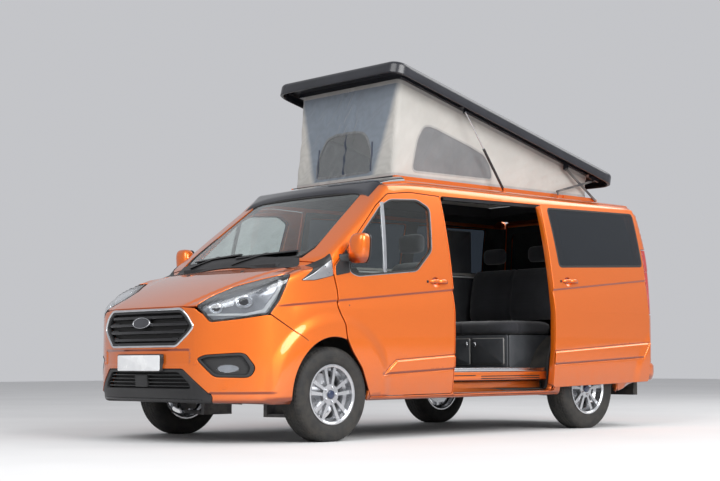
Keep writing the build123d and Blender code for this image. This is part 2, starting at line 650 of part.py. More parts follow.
with BuildPart() as bonnet_space:
    plan_prism(BONNET, BONNET_LIP_Z + 4, BONNET_TOP_Z)
with BuildPart() as bonnet:
    add(layer(0, BONNET_THICKNESS))
    add(bonnet_space.part, mode=Mode.INTERSECT)
    for _, hand in SIDES:
        pin(BONNET_HINGE, HINGE_PIN + RUNNING_GAP, *both(BONNET_EDGE_Y - 15, BONNET_EDGE_Y + 1, hand), mode=Mode.SUBTRACT)
    front_prism(HEADLAMP, 1740, 2500, mode=Mode.SUBTRACT, grow=4.0)
    front_prism(mirrored(HEADLAMP), 1740, 2500, mode=Mode.SUBTRACT, grow=4.0)
save(bonnet.part, "bonnet")

with BuildPart() as front_bumper:
    add(wall)
    block(BUMPER_REAR_X, NOSE_X + 50, -HALF_WIDTH - 20, HALF_WIDTH + 20, SILL_Z - 10, BONNET_LIP_Z, mode=Mode.INTERSECT)
    side_prism(WING, -HALF_WIDTH - 20, HALF_WIDTH + 20, mode=Mode.SUBTRACT, grow=PANEL_FIT)
    for lamp in (HEADLAMP, mirrored(HEADLAMP), FOG_LAMP, mirrored(FOG_LAMP)):
        front_prism(lamp, 1740, 2500, mode=Mode.SUBTRACT, grow=PANEL_FIT)
    front_prism(GRILLE, 2000, 2500, mode=Mode.SUBTRACT, grow=PANEL_FIT)
    front_prism(LOWER_INTAKE, 2000, 2500, mode=Mode.SUBTRACT, grow=PANEL_FIT)
    clear_wheels()
    block(NOSE_X - 15, NOSE_X + 2, -260, 260, 508, 619)
save(front_bumper.part, "front_bumper")

# Scuttle between the bonnet and the windscreen
with BuildPart() as scuttle:
    add(layer(SCUTTLE_INSET, 30))
    scuttle_outline = [
        (SCUTTLE_REAR_X, SCUTTLE_TOP_Z), (SCUTTLE_FRONT_X, SCUTTLE_TOP_Z), (SCUTTLE_FRONT_X, SCUTTLE_LOW_Z),
        (SCUTTLE_REAR_X, SCUTTLE_LOW_Z),
    ]
    side_prism(scuttle_outline, -PILLAR_INNER_Y + PANEL_FIT, PILLAR_INNER_Y - PANEL_FIT, mode=Mode.INTERSECT)
save(scuttle.part, "scuttle")

# Wipers: a blade along the glass and an arm from a pivot on the scuttle, the same for both
with BuildPart() as blade_space:
    for pivot_y in WIPER_PIVOTS:
        front_prism([(pivot_y - 20, 1350), (pivot_y + 560, 1378), (pivot_y + 560, 1390), (pivot_y - 20, 1362)], 1000, 1760)
with BuildPart() as arm_space:
    for pivot_y in WIPER_PIVOTS:
        front_prism([(pivot_y - 14, 1304), (pivot_y + 14, 1300), (pivot_y + 290, 1374), (pivot_y + 284, 1384)], 1000, 1760)
with BuildPart() as wiper_arms:
    add(layer(-WIPER_HEIGHT, SCUTTLE_INSET - PANEL_FIT))
    add(arm_space.part, mode=Mode.INTERSECT)
with BuildPart() as wipers:
    add(layer(-WIPER_HEIGHT, GLASS_INSET - PANEL_FIT))
    add(blade_space.part, mode=Mode.INTERSECT)
    add(wiper_arms.part)
save(wipers.part, "wipers")

# Grille: bright frame, level slats and a backing sheet
with BuildPart() as rows:
    for row in range(GRILLE_SLATS):
        z = GRILLE_BOTTOM_Z + GRILLE_PITCH * row
        block(2000, 2500, -520, 520, z, z + GRILLE_SLAT_HEIGHT)
with BuildPart() as slats:
    add(layer(10, 34))
    add(rows.part, mode=Mode.INTERSECT)
    front_prism(GRILLE, 2000, 2500, mode=Mode.INTERSECT, grow=-GRILLE_FRAME + 1)
with BuildPart() as backing:
    add(layer(33, 40))
    front_prism(GRILLE, 2000, 2500, mode=Mode.INTERSECT, grow=-1.0)
with BuildPart() as grille:
    add(layer(2, 40))
    front_prism(GRILLE, 2000, 2500, mode=Mode.INTERSECT)
    front_prism(GRILLE, 2000, 2500, mode=Mode.SUBTRACT, grow=-GRILLE_FRAME)
    add(slats.part)
    add(backing.part)
save(grille.part, "grille")

with BuildPart() as lower_intake:
    add(layer(6, 40))
    front_prism(LOWER_INTAKE, 2000, 2500, mode=Mode.INTERSECT)
save(lower_intake.part, "lower_intake")

with BuildPart() as fog_space:
    front_prism(FOG_LAMP, 1740, 2500)
    front_prism(mirrored(FOG_LAMP), 1740, 2500)
with BuildPart() as fog_lamps:
    add(layer(4, 34))
    add(fog_space.part, mode=Mode.INTERSECT)
save(fog_lamps.part, "fog_lamps")

with BuildPart() as lamp_space:
    front_prism(HEADLAMP, 1740, 2500)
    front_prism(mirrored(HEADLAMP), 1740, 2500)
with BuildPart() as headlamps:
    add(layer(2, LAMP_DEPTH))
    add(lamp_space.part, mode=Mode.INTERSECT)
save(headlamps.part, "headlamps")

with BuildPart() as tail_space:
    front_prism(TAIL_LAMP, TAIL_X - 50, TAIL_LAMP_FRONT_X - 1, grow=-1.0)
    front_prism(mirrored(TAIL_LAMP), TAIL_X - 50, TAIL_LAMP_FRONT_X - 1, grow=-1.0)
with BuildPart() as tail_lamps:
    add(layer(1, TAIL_LAMP_DEPTH))
    add(tail_space.part, mode=Mode.INTERSECT)
save(tail_lamps.part, "tail_lamps")

# Tailgate, hinged along its top edge, with a blank plate
PLATE_OUTLINE = [(-PLATE_HALF, PLATE_LOW_Z), (PLATE_HALF, PLATE_LOW_Z), (PLATE_HALF, PLATE_TOP_Z), (-PLATE_HALF, PLATE_TOP_Z)]
with BuildPart() as plate_layer:
    add(layer(-3, 2))
    front_prism(PLATE_OUTLINE, TAIL_X - 50, TAIL_X + 250, mode=Mode.INTERSECT)
with BuildPart() as tailgate:
    add(wall)
    front_prism(TAILGATE, TAIL_X - 50, TAIL_X + 250, mode=Mode.INTERSECT)
    front_prism(TAILGATE_WINDOW, TAIL_X - 50, TAIL_X + 250, mode=Mode.SUBTRACT, rounding=50)
    for y in (-TAILGATE_HINGE_Y, TAILGATE_HINGE_Y):
        y0, y1 = y - TAILGATE_BARREL_HALF, y + TAILGATE_BARREL_HALF
        pin(TAILGATE_HINGE, TAILGATE_BARREL, y0, y1)
        for ear in (y0 - TAILGATE_EAR - 1, y1):
            pin(TAILGATE_HINGE, 2 * TAILGATE_BARREL, ear, ear + TAILGATE_EAR + 1, mode=Mode.SUBTRACT)
        pin(TAILGATE_HINGE, HINGE_PIN + RUNNING_GAP, y0 - 1, y1 + 1, mode=Mode.SUBTRACT)
    add(plate_layer.part)
save(tailgate.part, "tailgate")

with BuildPart() as tailgate_glass:
    add(glazing)
    front_prism(TAILGATE_WINDOW, TAIL_X - 50, TAIL_X + 250, mode=Mode.INTERSECT, rounding=50, grow=-GLASS_FIT)
save(tailgate_glass.part, "tailgate_glass")

with BuildPart() as rear_bumper:
    with BuildSketch(Plane.XY.offset(REAR_BUMPER_LOW_Z)):
        with BuildLine():
            Line((-NOSE_X, 0), (-NOSE_X, 745))
            ThreePointArc((-NOSE_X, 745), (-NOSE_X + 42, 908), (-NOSE_X + 185, 1003))
            Line((-NOSE_X + 185, 1003), (-NOSE_X + 280, 1003))
            Line((-NOSE_X + 280, 1003), (-NOSE_X + 280, 0))
            Line((-NOSE_X + 280, 0), (-NOSE_X, 0))
        make_face()
        mirror(about=Plane.XZ)
    extrude(amount=REAR_BUMPER_TOP_Z - REAR_BUMPER_LOW_Z)
    add(body_volume(-1), mode=Mode.SUBTRACT)
save(rear_bumper.part, "rear_bumper")

# Doors: an outer skin to the shut line, an inner box set back from it, and pockets for the hinges
for name, hand in SIDES:
    y0, y1 = both(600, HALF_WIDTH + 20, hand)
    with BuildPart() as mirror_head:
        block(1245, 1360, *both(MIRROR_INNER_Y, MIRROR_OUTER_Y, hand), MIRROR_LOW_Z, MIRROR_TOP_Z)
        fillet(mirror_head.edges(), MIRROR_ROUNDING)
    with BuildPart() as inner_box:
        add(lining)
        side_prism(FRONT_DOOR, y0, y1, mode=Mode.INTERSECT, grow=-DOOR_RETURN)
    with BuildPart() as door:
        add(skin)
        side_prism(FRONT_DOOR, y0, y1, mode=Mode.INTERSECT)
        add(inner_box.part)
        side_prism(FRONT_WINDOW, y0, y1, mode=Mode.SUBTRACT, rounding=WINDOW_CORNER)
        clear_wheels()
        for z in DOOR_HINGE_Z:
            pocket = both(800, DOOR_HINGE_Y + DOOR_HINGE_EYE + 1, hand)
            z0, z1 = z - DOOR_HINGE_HALF - 1, z + DOOR_HINGE_HALF + 1
            block(DOOR_HINGE_X - DOOR_POCKET_REAR, FRONT_AXLE_X, *pocket, z0, z1, mode=Mode.SUBTRACT)
            axis_point = (DOOR_HINGE_X, hand * DOOR_HINGE_Y)
            bar((*axis_point, z0 - 6), (*axis_point, z1 + 6), HINGE_PIN)
        # Mirror: an arm from the window's front corner and a deep rounded head
        arm = both(MIRROR_ARM_Y, MIRROR_INNER_Y + 40, hand)
        block(1302, 1350, *arm, 1285, 1325)
        add(mirror_head.part)
    save(door.part, f"door_{name}")
    save(glass_pane(FRONT_WINDOW, hand), f"door_{name}_glass")

with BuildPart() as slide_lining:
    add(lining)
    side_prism(SLIDING_DOOR, 600, HALF_WIDTH + 20, mode=Mode.INTERSECT, grow=-DOOR_RETURN)
with BuildPart() as sliding_door:
    add(skin)
    side_prism(SLIDING_DOOR, 600, HALF_WIDTH + 20, mode=Mode.INTERSECT)
    add(slide_lining.part)
    side_prism(SIDE_DOOR_WINDOW, 600, HALF_WIDTH + 20, mode=Mode.SUBTRACT, rounding=WINDOW_CORNER)
    # Roller arms: into the channel at the top, on the quarter panel's rail, and under the sill's strip
    rollers_x = ROLLER_X + SLIDE_BACK
    top_y = TOP_RAIL_Y - SLIDE_OUT
    channel_top = OPENING_TOP_FRONT_Z - SLIDE_UP + (OPENING_FRONT_X - ROLLER_X) * (
        (OPENING_TOP_REAR_Z - OPENING_TOP_FRONT_Z) / (OPENING_FRONT_X - OPENING_REAR_X)
    ) - RAIL_LIP
    block(rollers_x - 15, rollers_x + 15, top_y - 12, top_y + 90, channel_top - 36, channel_top - 28)
    roller = TOP_RAIL_WIDTH / 2 - RAIL_LIP - RUNNING_GAP
    bar((rollers_x, top_y, channel_top - 30), (rollers_x, top_y, channel_top - 16), 5)
    bar((rollers_x, top_y, channel_top - 18), (rollers_x, top_y, channel_top - 4), roller)
    low_y = SILL_BOX_Y + LOW_RAIL_WIDTH / 2 - SLIDE_OUT
    low_z = LOW_RAIL_Z - SLIDE_UP
    arm = [
        (rollers_x + 15, low_y + 190), (rollers_x - 20, low_y + 190), (rollers_x - 62, low_y - 14),
        (rollers_x - 28, low_y - 14),
    ]
    plan_prism(arm, low_z - 24, low_z - 14)
    bar((rollers_x - 45, low_y, low_z - 16), (rollers_x - 45, low_y, low_z - RUNNING_GAP), 14)
    rear_x = OPENING_REAR_X + CARRIAGE_SETBACK
    carriage_y = MIDDLE_RAIL_Y + RUNNING_GAP - SLIDE_OUT
    block(rear_x, rear_x + 60, carriage_y, carriage_y + 30, MIDDLE_RAIL_Z - SLIDE_UP - 12, MIDDLE_RAIL_Z - SLIDE_UP + 12)
open_place = Location((-SLIDE_BACK, SLIDE_OUT, SLIDE_UP))
save(sliding_door.part.moved(open_place), "sliding_door")
save(glass_pane(SIDE_DOOR_WINDOW, 1).moved(open_place), "sliding_door_glass")

with BuildPart() as side_glass:
    add(glass_pane(REAR_SIDE_WINDOW, 1))
    add(glass_pane(REAR_SIDE_WINDOW, -1))
    add(glass_pane(MIDDLE_SIDE_WINDOW, -1))
save(side_glass.part, "side_glass")

# The open door's rails: a channel over the opening, a strip on the sill and one along the quarter panel
with BuildPart() as door_track:
    rail_end = OPENING_REAR_X - 20
    block(rail_end - MIDDLE_RAIL_LENGTH, rail_end, 900, MIDDLE_RAIL_Y, MIDDLE_RAIL_Z - 14, MIDDLE_RAIL_Z + 14)
    add(body_volume(0), mode=Mode.SUBTRACT)
    top_rail = [
        (OPENING_FRONT_X, OPENING_TOP_FRONT_Z), (OPENING_REAR_X, OPENING_TOP_REAR_Z),
        (OPENING_REAR_X, OPENING_TOP_REAR_Z - TOP_RAIL_DEPTH), (OPENING_FRONT_X, OPENING_TOP_FRONT_Z - TOP_RAIL_DEPTH),
    ]
    channel = [(x, z - RAIL_LIP) for x, z in top_rail]
    half_width = TOP_RAIL_WIDTH / 2
    side_prism(top_rail, TOP_RAIL_Y - half_width, TOP_RAIL_Y + half_width)
    half_width -= RAIL_LIP
    side_prism(channel, TOP_RAIL_Y - half_width, TOP_RAIL_Y + half_width, mode=Mode.SUBTRACT)
    block(POST_X[0] - 3, OPENING_FRONT_X + 1, 700, 900, 1800, 1900, mode=Mode.SUBTRACT)
    low_rail_x = (REAR_AXLE_X + HOUSING_HALF_LENGTH + LINER + 10, POST_X[0] - 3)
    block(*low_rail_x, SILL_BOX_Y, SILL_BOX_Y + LOW_RAIL_WIDTH, LOW_RAIL_Z, LOW_RAIL_Z + RAIL_LIP)
save(door_track.part, "door_track")

# Floor, rails, bulkhead, wheel liners, rear panel and the arms that carry the front doors
with BuildPart() as rear_panel:
    add(wall)
    rear_half = SIDE_INNER_Y - 0.5
    block(TAIL_X - 20, TAIL_X + 70, -rear_half, rear_half, SILL_Z, 553, mode=Mode.INTERSECT)
with BuildPart() as liners:
    for _, hand in SIDES:
        front = both(HOUSING_INNER_Y - LINER, LINER_OUTER_Y, hand)
        wheel_housing(FRONT_AXLE_X, *front, HOUSING_TOP_Z + LINER, HOUSING_HALF_LENGTH + LINER, Mode.ADD)
        rear = both(REAR_HOUSING_INNER_Y - LINER, LINER_OUTER_Y, hand)
        wheel_housing(REAR_AXLE_X, *rear, HOUSING_TOP_Z + LINER, HOUSING_HALF_LENGTH + LINER, Mode.ADD)
    block(-3000, 3000, -1200, 1200, -200, LINER_LOW_Z, mode=Mode.SUBTRACT)
with BuildPart() as underbody:
    block(FLOOR_REAR_X, FLOOR_FRONT_X, -FLOOR_HALF_WIDTH, FLOOR_HALF_WIDTH, FLOOR_Z - FLOOR_THICKNESS, FLOOR_Z)
    block(TAIL_X + 50, FLOOR_REAR_X + 5, -740, 740, FLOOR_Z - FLOOR_THICKNESS, FLOOR_Z)
    block(FLOOR_FRONT_X - 10, BULKHEAD_X, -820, 820, FLOOR_Z - 25, FLOOR_Z)
    for _, hand in SIDES:
        rail = both(RAIL_Y - RAIL_WIDTH / 2, RAIL_Y + RAIL_WIDTH / 2, hand)
        block(TAIL_X + 50, FLOOR_FRONT_X, *rail, FLOOR_Z - FLOOR_THICKNESS - RAIL_DEPTH, FLOOR_Z - FLOOR_THICKNESS)
        block(FLOOR_FRONT_X - 60, FRONT_BEAM_X, *rail, FLOOR_Z - 30, FLOOR_Z - 30 + RAIL_DEPTH)
        sill_box = both(SIDE_INNER_Y + 5, SILL_BOX_Y, hand)
        block(REAR_AXLE_X + 440, FRONT_AXLE_X - 440, *sill_box, SILL_Z + WALL, FLOOR_Z - FLOOR_THICKNESS)
        post = both(POST_OUTER_Y - 60, POST_OUTER_Y, hand)
        block(BULKHEAD_X - 70, BULKHEAD_X, *post, FLOOR_Z, POST_TOP)
    block(FRONT_BEAM_X - 60, FRONT_BEAM_X, -500, 500, FLOOR_Z - 30, FLOOR_Z + 90)
    block(FRONT_BEAM_X, NOSE_X - WALL - 6, -40, 40, FLOOR_Z, FLOOR_Z + 60)
    block(BULKHEAD_X - 12, BULKHEAD_X, -820, 820, FLOOR_Z - 25, 1180)
    add(rear_panel.part)
    add(liners.part)
    for _, hand in SIDES:
        axle_slot = both(REAR_HOUSING_INNER_Y - LINER - 5, REAR_HOUSING_INNER_Y + 5, hand)
        block(REAR_AXLE_X - 75, REAR_AXLE_X + 75, *axle_slot, 250, FLOOR_Z - FLOOR_THICKNESS, mode=Mode.SUBTRACT)
        notch = both(850, FLOOR_HALF_WIDTH + 5, hand)
        block(POST_X[0] - 3, POST_X[1] + 3, *notch, FLOOR_Z - FLOOR_THICKNESS - 1, FLOOR_Z + 1, mode=Mode.SUBTRACT)
        post_foot = both(SIDE_INNER_Y, SIDE_INNER_Y + 65, hand)
        block(POST_X[0] - 3, POST_X[1] + 3, *post_foot, SILL_Z + WALL - 1, SILL_Z + WALL + 50, mode=Mode.SUBTRACT)
        for z in DOOR_HINGE_Z:
            arm = both(POST_OUTER_Y - 20, DOOR_HINGE_Y, hand)
            z0, z1 = z - DOOR_HINGE_HALF, z + DOOR_HINGE_HALF
            block(DOOR_HINGE_X - DOOR_HINGE_EYE, DOOR_HINGE_X + DOOR_HINGE_EYE, *arm, z0, z1)
            axis_point = (DOOR_HINGE_X, hand * DOOR_HINGE_Y)
            bar((*axis_point, z0), (*axis_point, z1), DOOR_HINGE_EYE)
            bar((*axis_point, z0 - 1), (*axis_point, z1 + 1), HINGE_PIN + RUNNING_GAP, mode=Mode.SUBTRACT)
    clear_wheels()
    with Locations((TOW_X, 0, FLOOR_Z - FLOOR_THICKNESS - RAIL_DEPTH)):
        with GridLocations(TOW_SPACING, 2 * RAIL_Y, 2, 2):
            Cylinder(TOW_HOLE_RADIUS, TOW_HOLE_DEPTH, align=(Align.CENTER, Align.CENTER, Align.MIN), mode=Mode.SUBTRACT)
save(underbody.part, "underbody")

# Engine as one block on its subframe, and the parts under the floor
with BuildPart() as engine:
    block(ENGINE_REAR_X, ENGINE_FRONT_X, -ENGINE_HALF, ENGINE_HALF, SUBFRAME_TOP_Z, ENGINE_TOP_Z)
    radiator_x = ENGINE_FRONT_X + RADIATOR_GAP
    block(radiator_x, radiator_x + 50, 15 - ENGINE_HALF, ENGINE_HALF - 15, 500, ENGINE_TOP_Z)
    block(ENGINE_FRONT_X - 10, radiator_x + 10, -60, 60, 600, 700)
save(engine.part, "engine")

with BuildPart() as subframe:
    block(1300, 1800, -400, 400, SUBFRAME_TOP_Z - 60, SUBFRAME_TOP_Z)
    for _, hand in SIDES:
        arm = [(1350, hand * 380), (1620, hand * 380), (1505, hand * 770), (1452, hand * 770)]
        plan_prism(arm, ARM_LOW_Z, ARM_LOW_Z + 24)
        pillar = both(360, 400, hand)
        block(1350, 1620, *pillar, ARM_LOW_Z, SUBFRAME_TOP_Z - 30)
        with Locations((FRONT_AXLE_X, hand * BALL_JOINT_Y, BALL_JOINT_Z)):
            Sphere(BALL_RADIUS)
        bar((FRONT_AXLE_X, hand * BALL_JOINT_Y, ARM_LOW_Z + 2), (FRONT_AXLE_X, hand * BALL_JOINT_Y, BALL_JOINT_Z), 9)
        bar((FRONT_AXLE_X, hand * 760, ARM_LOW_Z + 12), (FRONT_AXLE_X, hand * BALL_JOINT_Y, ARM_LOW_Z + 12), 12)
        tie = both(378, RAIL_Y + 35, hand)
        block(1300, 1350, *tie, SUBFRAME_TOP_Z - 60, FLOOR_Z - 30)
        block(1740, 1800, *both(378, RAIL_Y + 35, hand), SUBFRAME_TOP_Z - 60, FLOOR_Z - 30)
save(subframe.part, "subframe")

with BuildPart() as rear_axle:
    bar((REAR_AXLE_X, -REAR_BEAM_Y, WHEEL_Z), (REAR_AXLE_X, REAR_BEAM_Y, WHEEL_Z), 38)
    for _, hand in SIDES:
        bar(
            (REAR_AXLE_X, hand * REAR_BEAM_Y, WHEEL_Z),
            (REAR_AXLE_X, hand * (REAR_WHEEL_Y + SPINDLE_REACH), WHEEL_Z), SPINDLE_RADIUS,
        )
        y0, y1 = both(560, 620, hand)
        with BuildSketch(Plane.XZ.offset(-y0)) as leaf:
            with BuildLine():
                ThreePointArc((-820, 372), (REAR_AXLE_X, 297), (-2090, 372))
                Line((-2090, 372), (-2090, 352))
                ThreePointArc((-2090, 352), (REAR_AXLE_X, 270), (-820, 352))
                Line((-820, 352), (-820, 372))
            make_face()
        extrude(leaf.sketch, amount=-(y1 - y0))
        for x in (-820, -2090):
            block(x - 22, x + 22, y0, y1, 340, FLOOR_Z - FLOOR_THICKNESS)
save(rear_axle.part, "rear_axle")

with BuildPart() as fuel_tank:
    block(-300, 700, -400, 60, 300, FLOOR_Z - FLOOR_THICKNESS)
    fillet(fuel_tank.edges().filter_by(Axis.Z), 60)
    fillet(fuel_tank.edges().group_by(Axis.Z)[0], 25)
save(fuel_tank.part, "fuel_tank")

with BuildPart() as exhaust:
    bar((1310, EXHAUST_Y, EXHAUST_Z), (-2300, EXHAUST_Y, EXHAUST_Z), 27)
    bar((-150, EXHAUST_Y, EXHAUST_Z - 36), (-800, EXHAUST_Y, EXHAUST_Z - 36), 80)
    for x in (900, -1200, -2100):
        block(x - 10, x + 10, EXHAUST_Y - 8, EXHAUST_Y + 8, EXHAUST_Z, FLOOR_Z - FLOOR_THICKNESS)
save(exhaust.part, "exhaust")

# Steering knuckles with their struts: they turn on the line from the ball joint to the strut's top
for name, hand in SIDES:
    foot = (FRONT_AXLE_X, hand * BALL_JOINT_Y, BALL_JOINT_Z)
    lean = (STRUT_TOP_Y - BALL_JOINT_Y) / (STRUT_TOP_Z - BALL_JOINT_Z)
    top_z = STRUT_TOP_Z - HOUSING_ROOF_DROP
    top = (FRONT_AXLE_X, hand * (BALL_JOINT_Y + lean * (top_z - BALL_JOINT_Z)), top_z)
    with BuildPart() as socket:
        with Locations(foot):
            Sphere(BALL_RADIUS + RUNNING_GAP)
    with BuildPart() as knuckle:
        block(FRONT_AXLE_X - 55, FRONT_AXLE_X + 55, *both(722, 784, hand), 200, 460)
        block(FRONT_AXLE_X - 30, FRONT_AXLE_X + 30, *both(690, 740, hand), 420, 520)
        with Locations(foot):
            Sphere(BALL_RADIUS + 12)
        block(FRONT_AXLE_X - 40, FRONT_AXLE_X + 40, *both(740, 830, hand), 100, 200, mode=Mode.SUBTRACT)
        block(FRONT_AXLE_X - 40, FRONT_AXLE_X + 40, *both(800, 830, hand), 100, 290, mode=Mode.SUBTRACT)
        bar(
            (FRONT_AXLE_X, hand * 770, WHEEL_Z), (FRONT_AXLE_X, hand * (FRONT_WHEEL_Y + SPINDLE_REACH), WHEEL_Z),
            SPINDLE_RADIUS,
        )
        low = (FRONT_AXLE_X, hand * (BALL_JOINT_Y + lean * (440 - BALL_JOINT_Z)), 440)
        bar(low, top, 24)
        coil = (FRONT_AXLE_X, hand * (BALL_JOINT_Y + lean * (640 - BALL_JOINT_Z)), 640)
        bar(coil, top, 52)
        add(socket.part, mode=Mode.SUBTRACT)
    save(knuckle.part, f"knuckle_{name}")

# Wheels, made about the Y axis with the outer face towards +Y
with BuildPart() as rim:
    with BuildSketch(Plane.XY) as barrel:
        with BuildLine():
            Polyline(
                (RIM_RADIUS, -95), (RIM_RADIUS, -88), (RIM_SEAT_RADIUS, -85), (RIM_SEAT_RADIUS, -50), (183, -38),
                (183, 18), (RIM_SEAT_RADIUS, 34), (RIM_SEAT_RADIUS, 85), (RIM_RADIUS, 88), (RIM_RADIUS, 95), (206, 95),
                (195, 88), (192, 30), (174, 14), (174, -34), (193, -50), (196, -90), (206, -95), close=True,
            )
        make_face()
    revolve(axis=Axis.Y)
    with BuildSketch(Plane.XZ.offset(-46)) as spokes:
        with PolarLocations(0, SPOKE_PAIRS, start_angle=90):
            Polygon((50, 6), (189, 30), (189, 60), (50, 26), align=None)
            Polygon((50, -6), (50, -26), (189, -60), (189, -30), align=None)
    extrude(spokes.sketch, amount=-26)
    with BuildSketch(Plane.XZ.offset(62)) as disc:
        Circle(DISC_RADIUS)
    extrude(disc.sketch, amount=-DISC_THICKNESS)
    with BuildSketch(Plane.XZ.offset(62)) as hub:
        Circle(74)
    extrude(hub.sketch, amount=-136)
    with BuildSketch(Plane.XZ.offset(70)) as bore:
        Circle(SPINDLE_RADIUS + RUNNING_GAP)
    extrude(bore.sketch, amount=-(70 + SPINDLE_REACH + 1), mode=Mode.SUBTRACT)
with BuildPart() as tyre:
    with BuildSketch(Plane.XY) as casing:
        with BuildLine():
            Polyline(
                (RIM_SEAT_RADIUS + TYRE_FIT, -84), (RIM_RADIUS + 1, -84), (RIM_RADIUS + 8, -98), (250, -106),
                (280, -TYRE_WIDTH / 2), (308, -105), (330, -97), (340, -86), (TYRE_RADIUS, -60), (TYRE_RADIUS, 60),
                (340, 86), (330, 97), (308, 105), (280, TYRE_WIDTH / 2), (250, 106), (RIM_RADIUS + 8, 98),
                (RIM_RADIUS + 1, 84), (RIM_SEAT_RADIUS + TYRE_FIT, 84), close=True,
            )
        make_face()
    revolve(axis=Axis.Y)
for end, axle_x, track_y in (("front", FRONT_AXLE_X, FRONT_WHEEL_Y), ("rear", REAR_AXLE_X, REAR_WHEEL_Y)):
    for name, hand in SIDES:
        place = Location((axle_x, hand * track_y, WHEEL_Z))
        for label, piece in (("rim", rim.part), ("tyre", tyre.part)):
            turned = piece if hand > 0 else piece.mirror(Plane.XZ)
            save(turned.moved(place), f"{label}_{end}_{name}")

# Cab and living space
with BuildPart() as dashboard:
    side_prism(DASHBOARD, -780, 780)
    fillet(dashboard.edges().filter_by(Axis.Y).group_by(Axis.X)[0], 20)
    for _, hand in SIDES:
        tunnel = both(HOUSING_INNER_Y - LINER - 1, 900, hand)
        wheel_housing(FRONT_AXLE_X, *tunnel, HOUSING_TOP_Z + LINER + 1, HOUSING_HALF_LENGTH + LINER + 1)
    with BuildSketch(Plane(origin=STEERING_CENTRE, z_dir=STEERING_AXIS).offset(-STEERING_COLUMN - 1)) as column_hole:
        Circle(24 + RUNNING_GAP)
    extrude(column_hole.sketch, amount=STEERING_COLUMN, mode=Mode.SUBTRACT)
save(dashboard.part, "dashboard")

with BuildPart() as steering_wheel:
    wheel_plane = Plane(origin=STEERING_CENTRE, x_dir=(0, 1, 0), z_dir=STEERING_AXIS)
    rim_plane = Plane(origin=wheel_plane.from_local_coords((190, 0, 0)), x_dir=(0, 1, 0), z_dir=wheel_plane.y_dir)
    with BuildSketch(rim_plane) as grip:
        Circle(16)
    revolve(grip.sketch, axis=Axis(STEERING_CENTRE, STEERING_AXIS))
    with BuildSketch(wheel_plane.offset(-12)) as spokes:
        Circle(62)
        for turn in (0, 180, 90):
            with Locations(Location((0, 0, 0), (0, 0, turn))):
                with Locations((115, 0)):
                    Rectangle(140, 34)
    extrude(spokes.sketch, amount=24)
    with BuildSketch(wheel_plane.offset(-STEERING_COLUMN)) as column:
        Circle(24)
    extrude(column.sketch, amount=STEERING_COLUMN)
save(steering_wheel.part, "steering_wheel")

with BuildPart() as front_seats:
    for _, hand in SIDES:
        y0, y1 = both(SEAT_Y - SEAT_WIDTH / 2, SEAT_Y + SEAT_WIDTH / 2, hand)
        block(330, 800, y0 + 40, y1 - 40, FLOOR_Z, FLOOR_Z + 230)
        side_prism([(270, 720), (850, 740), (860, 850), (280, 830)], y0, y1, rounding=25)
        side_prism([(330, 790), (200, 1410), (60, 1400), (190, 770)], y0, y1, rounding=25)
        side_prism([(185, 1395), (165, 1620), (85, 1610), (105, 1395)], y0 + 110, y1 - 110, rounding=20)
save(front_seats.part, "front_seats")

with BuildPart() as bench_seat:
    block(-1480, -800, -430, 640, FLOOR_Z, 790)
    side_prism([(-1500, 790), (-770, 790), (-765, 910), (-1500, 900)], -430, 640, rounding=25)
    side_prism([(-1390, 900), (-1480, 1430), (-1600, 1420), (-1500, 900)], -430, 640, rounding=25)
    for y in (-160, 370):
        side_prism([(-1485, 1420), (-1500, 1600), (-1590, 1600), (-1575, 1420)], y - 130, y + 130, rounding=20)
save(bench_seat.part, "bench_seat")

with BuildPart() as cabinet:
    block(-2300, -100, -845, -470, FLOOR_Z, 1380)
    block(*HOUSING_SPAN, -850, -REAR_HOUSING_INNER_Y + LINER + 12, FLOOR_Z - 1, HOUSING_TOP_Z + LINER + 2, mode=Mode.SUBTRACT)
save(cabinet.part, "cabinet")


# The lifting roof's own plane: X runs back along the lid's lower edge, Z up through it
lid_turn = math.radians(LID_ANGLE)
lid_plane = Plane(
    origin=(LID_FRONT_X, 0, LID_FRONT_Z),
    x_dir=(-math.cos(lid_turn), 0, -math.sin(lid_turn)),
    z_dir=(-math.sin(lid_turn), 0, math.cos(lid_turn)),
)


def lid_place(x, z):
    """The lid's own X and Z of a point of the van."""
    local = lid_plane.to_local_coords(Vector(x, 0, z))
    return local.X, local.Z


def lid_block(x0, x1, y0, y1, z0, z1, mode=Mode.ADD):
    """A box between two corners in the lid's own frame."""
    with BuildSketch(lid_plane.offset(z0)) as face:
        with Locations(((x0 + x1) / 2, (y0 + y1) / 2)):
            Rectangle(x1 - x0, y1 - y0)
    extrude(face.sketch, amount=z1 - z0, mode=mode)


def flat_link(start, end, width, y0, y1, mode=Mode.ADD):
    """A flat bar with round ends between two pivots, given in X and Z."""
    run = Vector(end[0] - start[0], end[1] - start[1])
    turn = math.degrees(math.atan2(run.Y, run.X))
    middle = ((start[0] + end[0]) / 2, (start[1] + end[1]) / 2)
    with BuildSketch(Plane.XZ.offset(-y0)) as face:
        with Locations(Location((middle[0], middle[1], 0), (0, 0, turn))):
            SlotCenterToCenter(run.length, width)
    extrude(face.sketch, amount=-(y1 - y0), mode=mode)


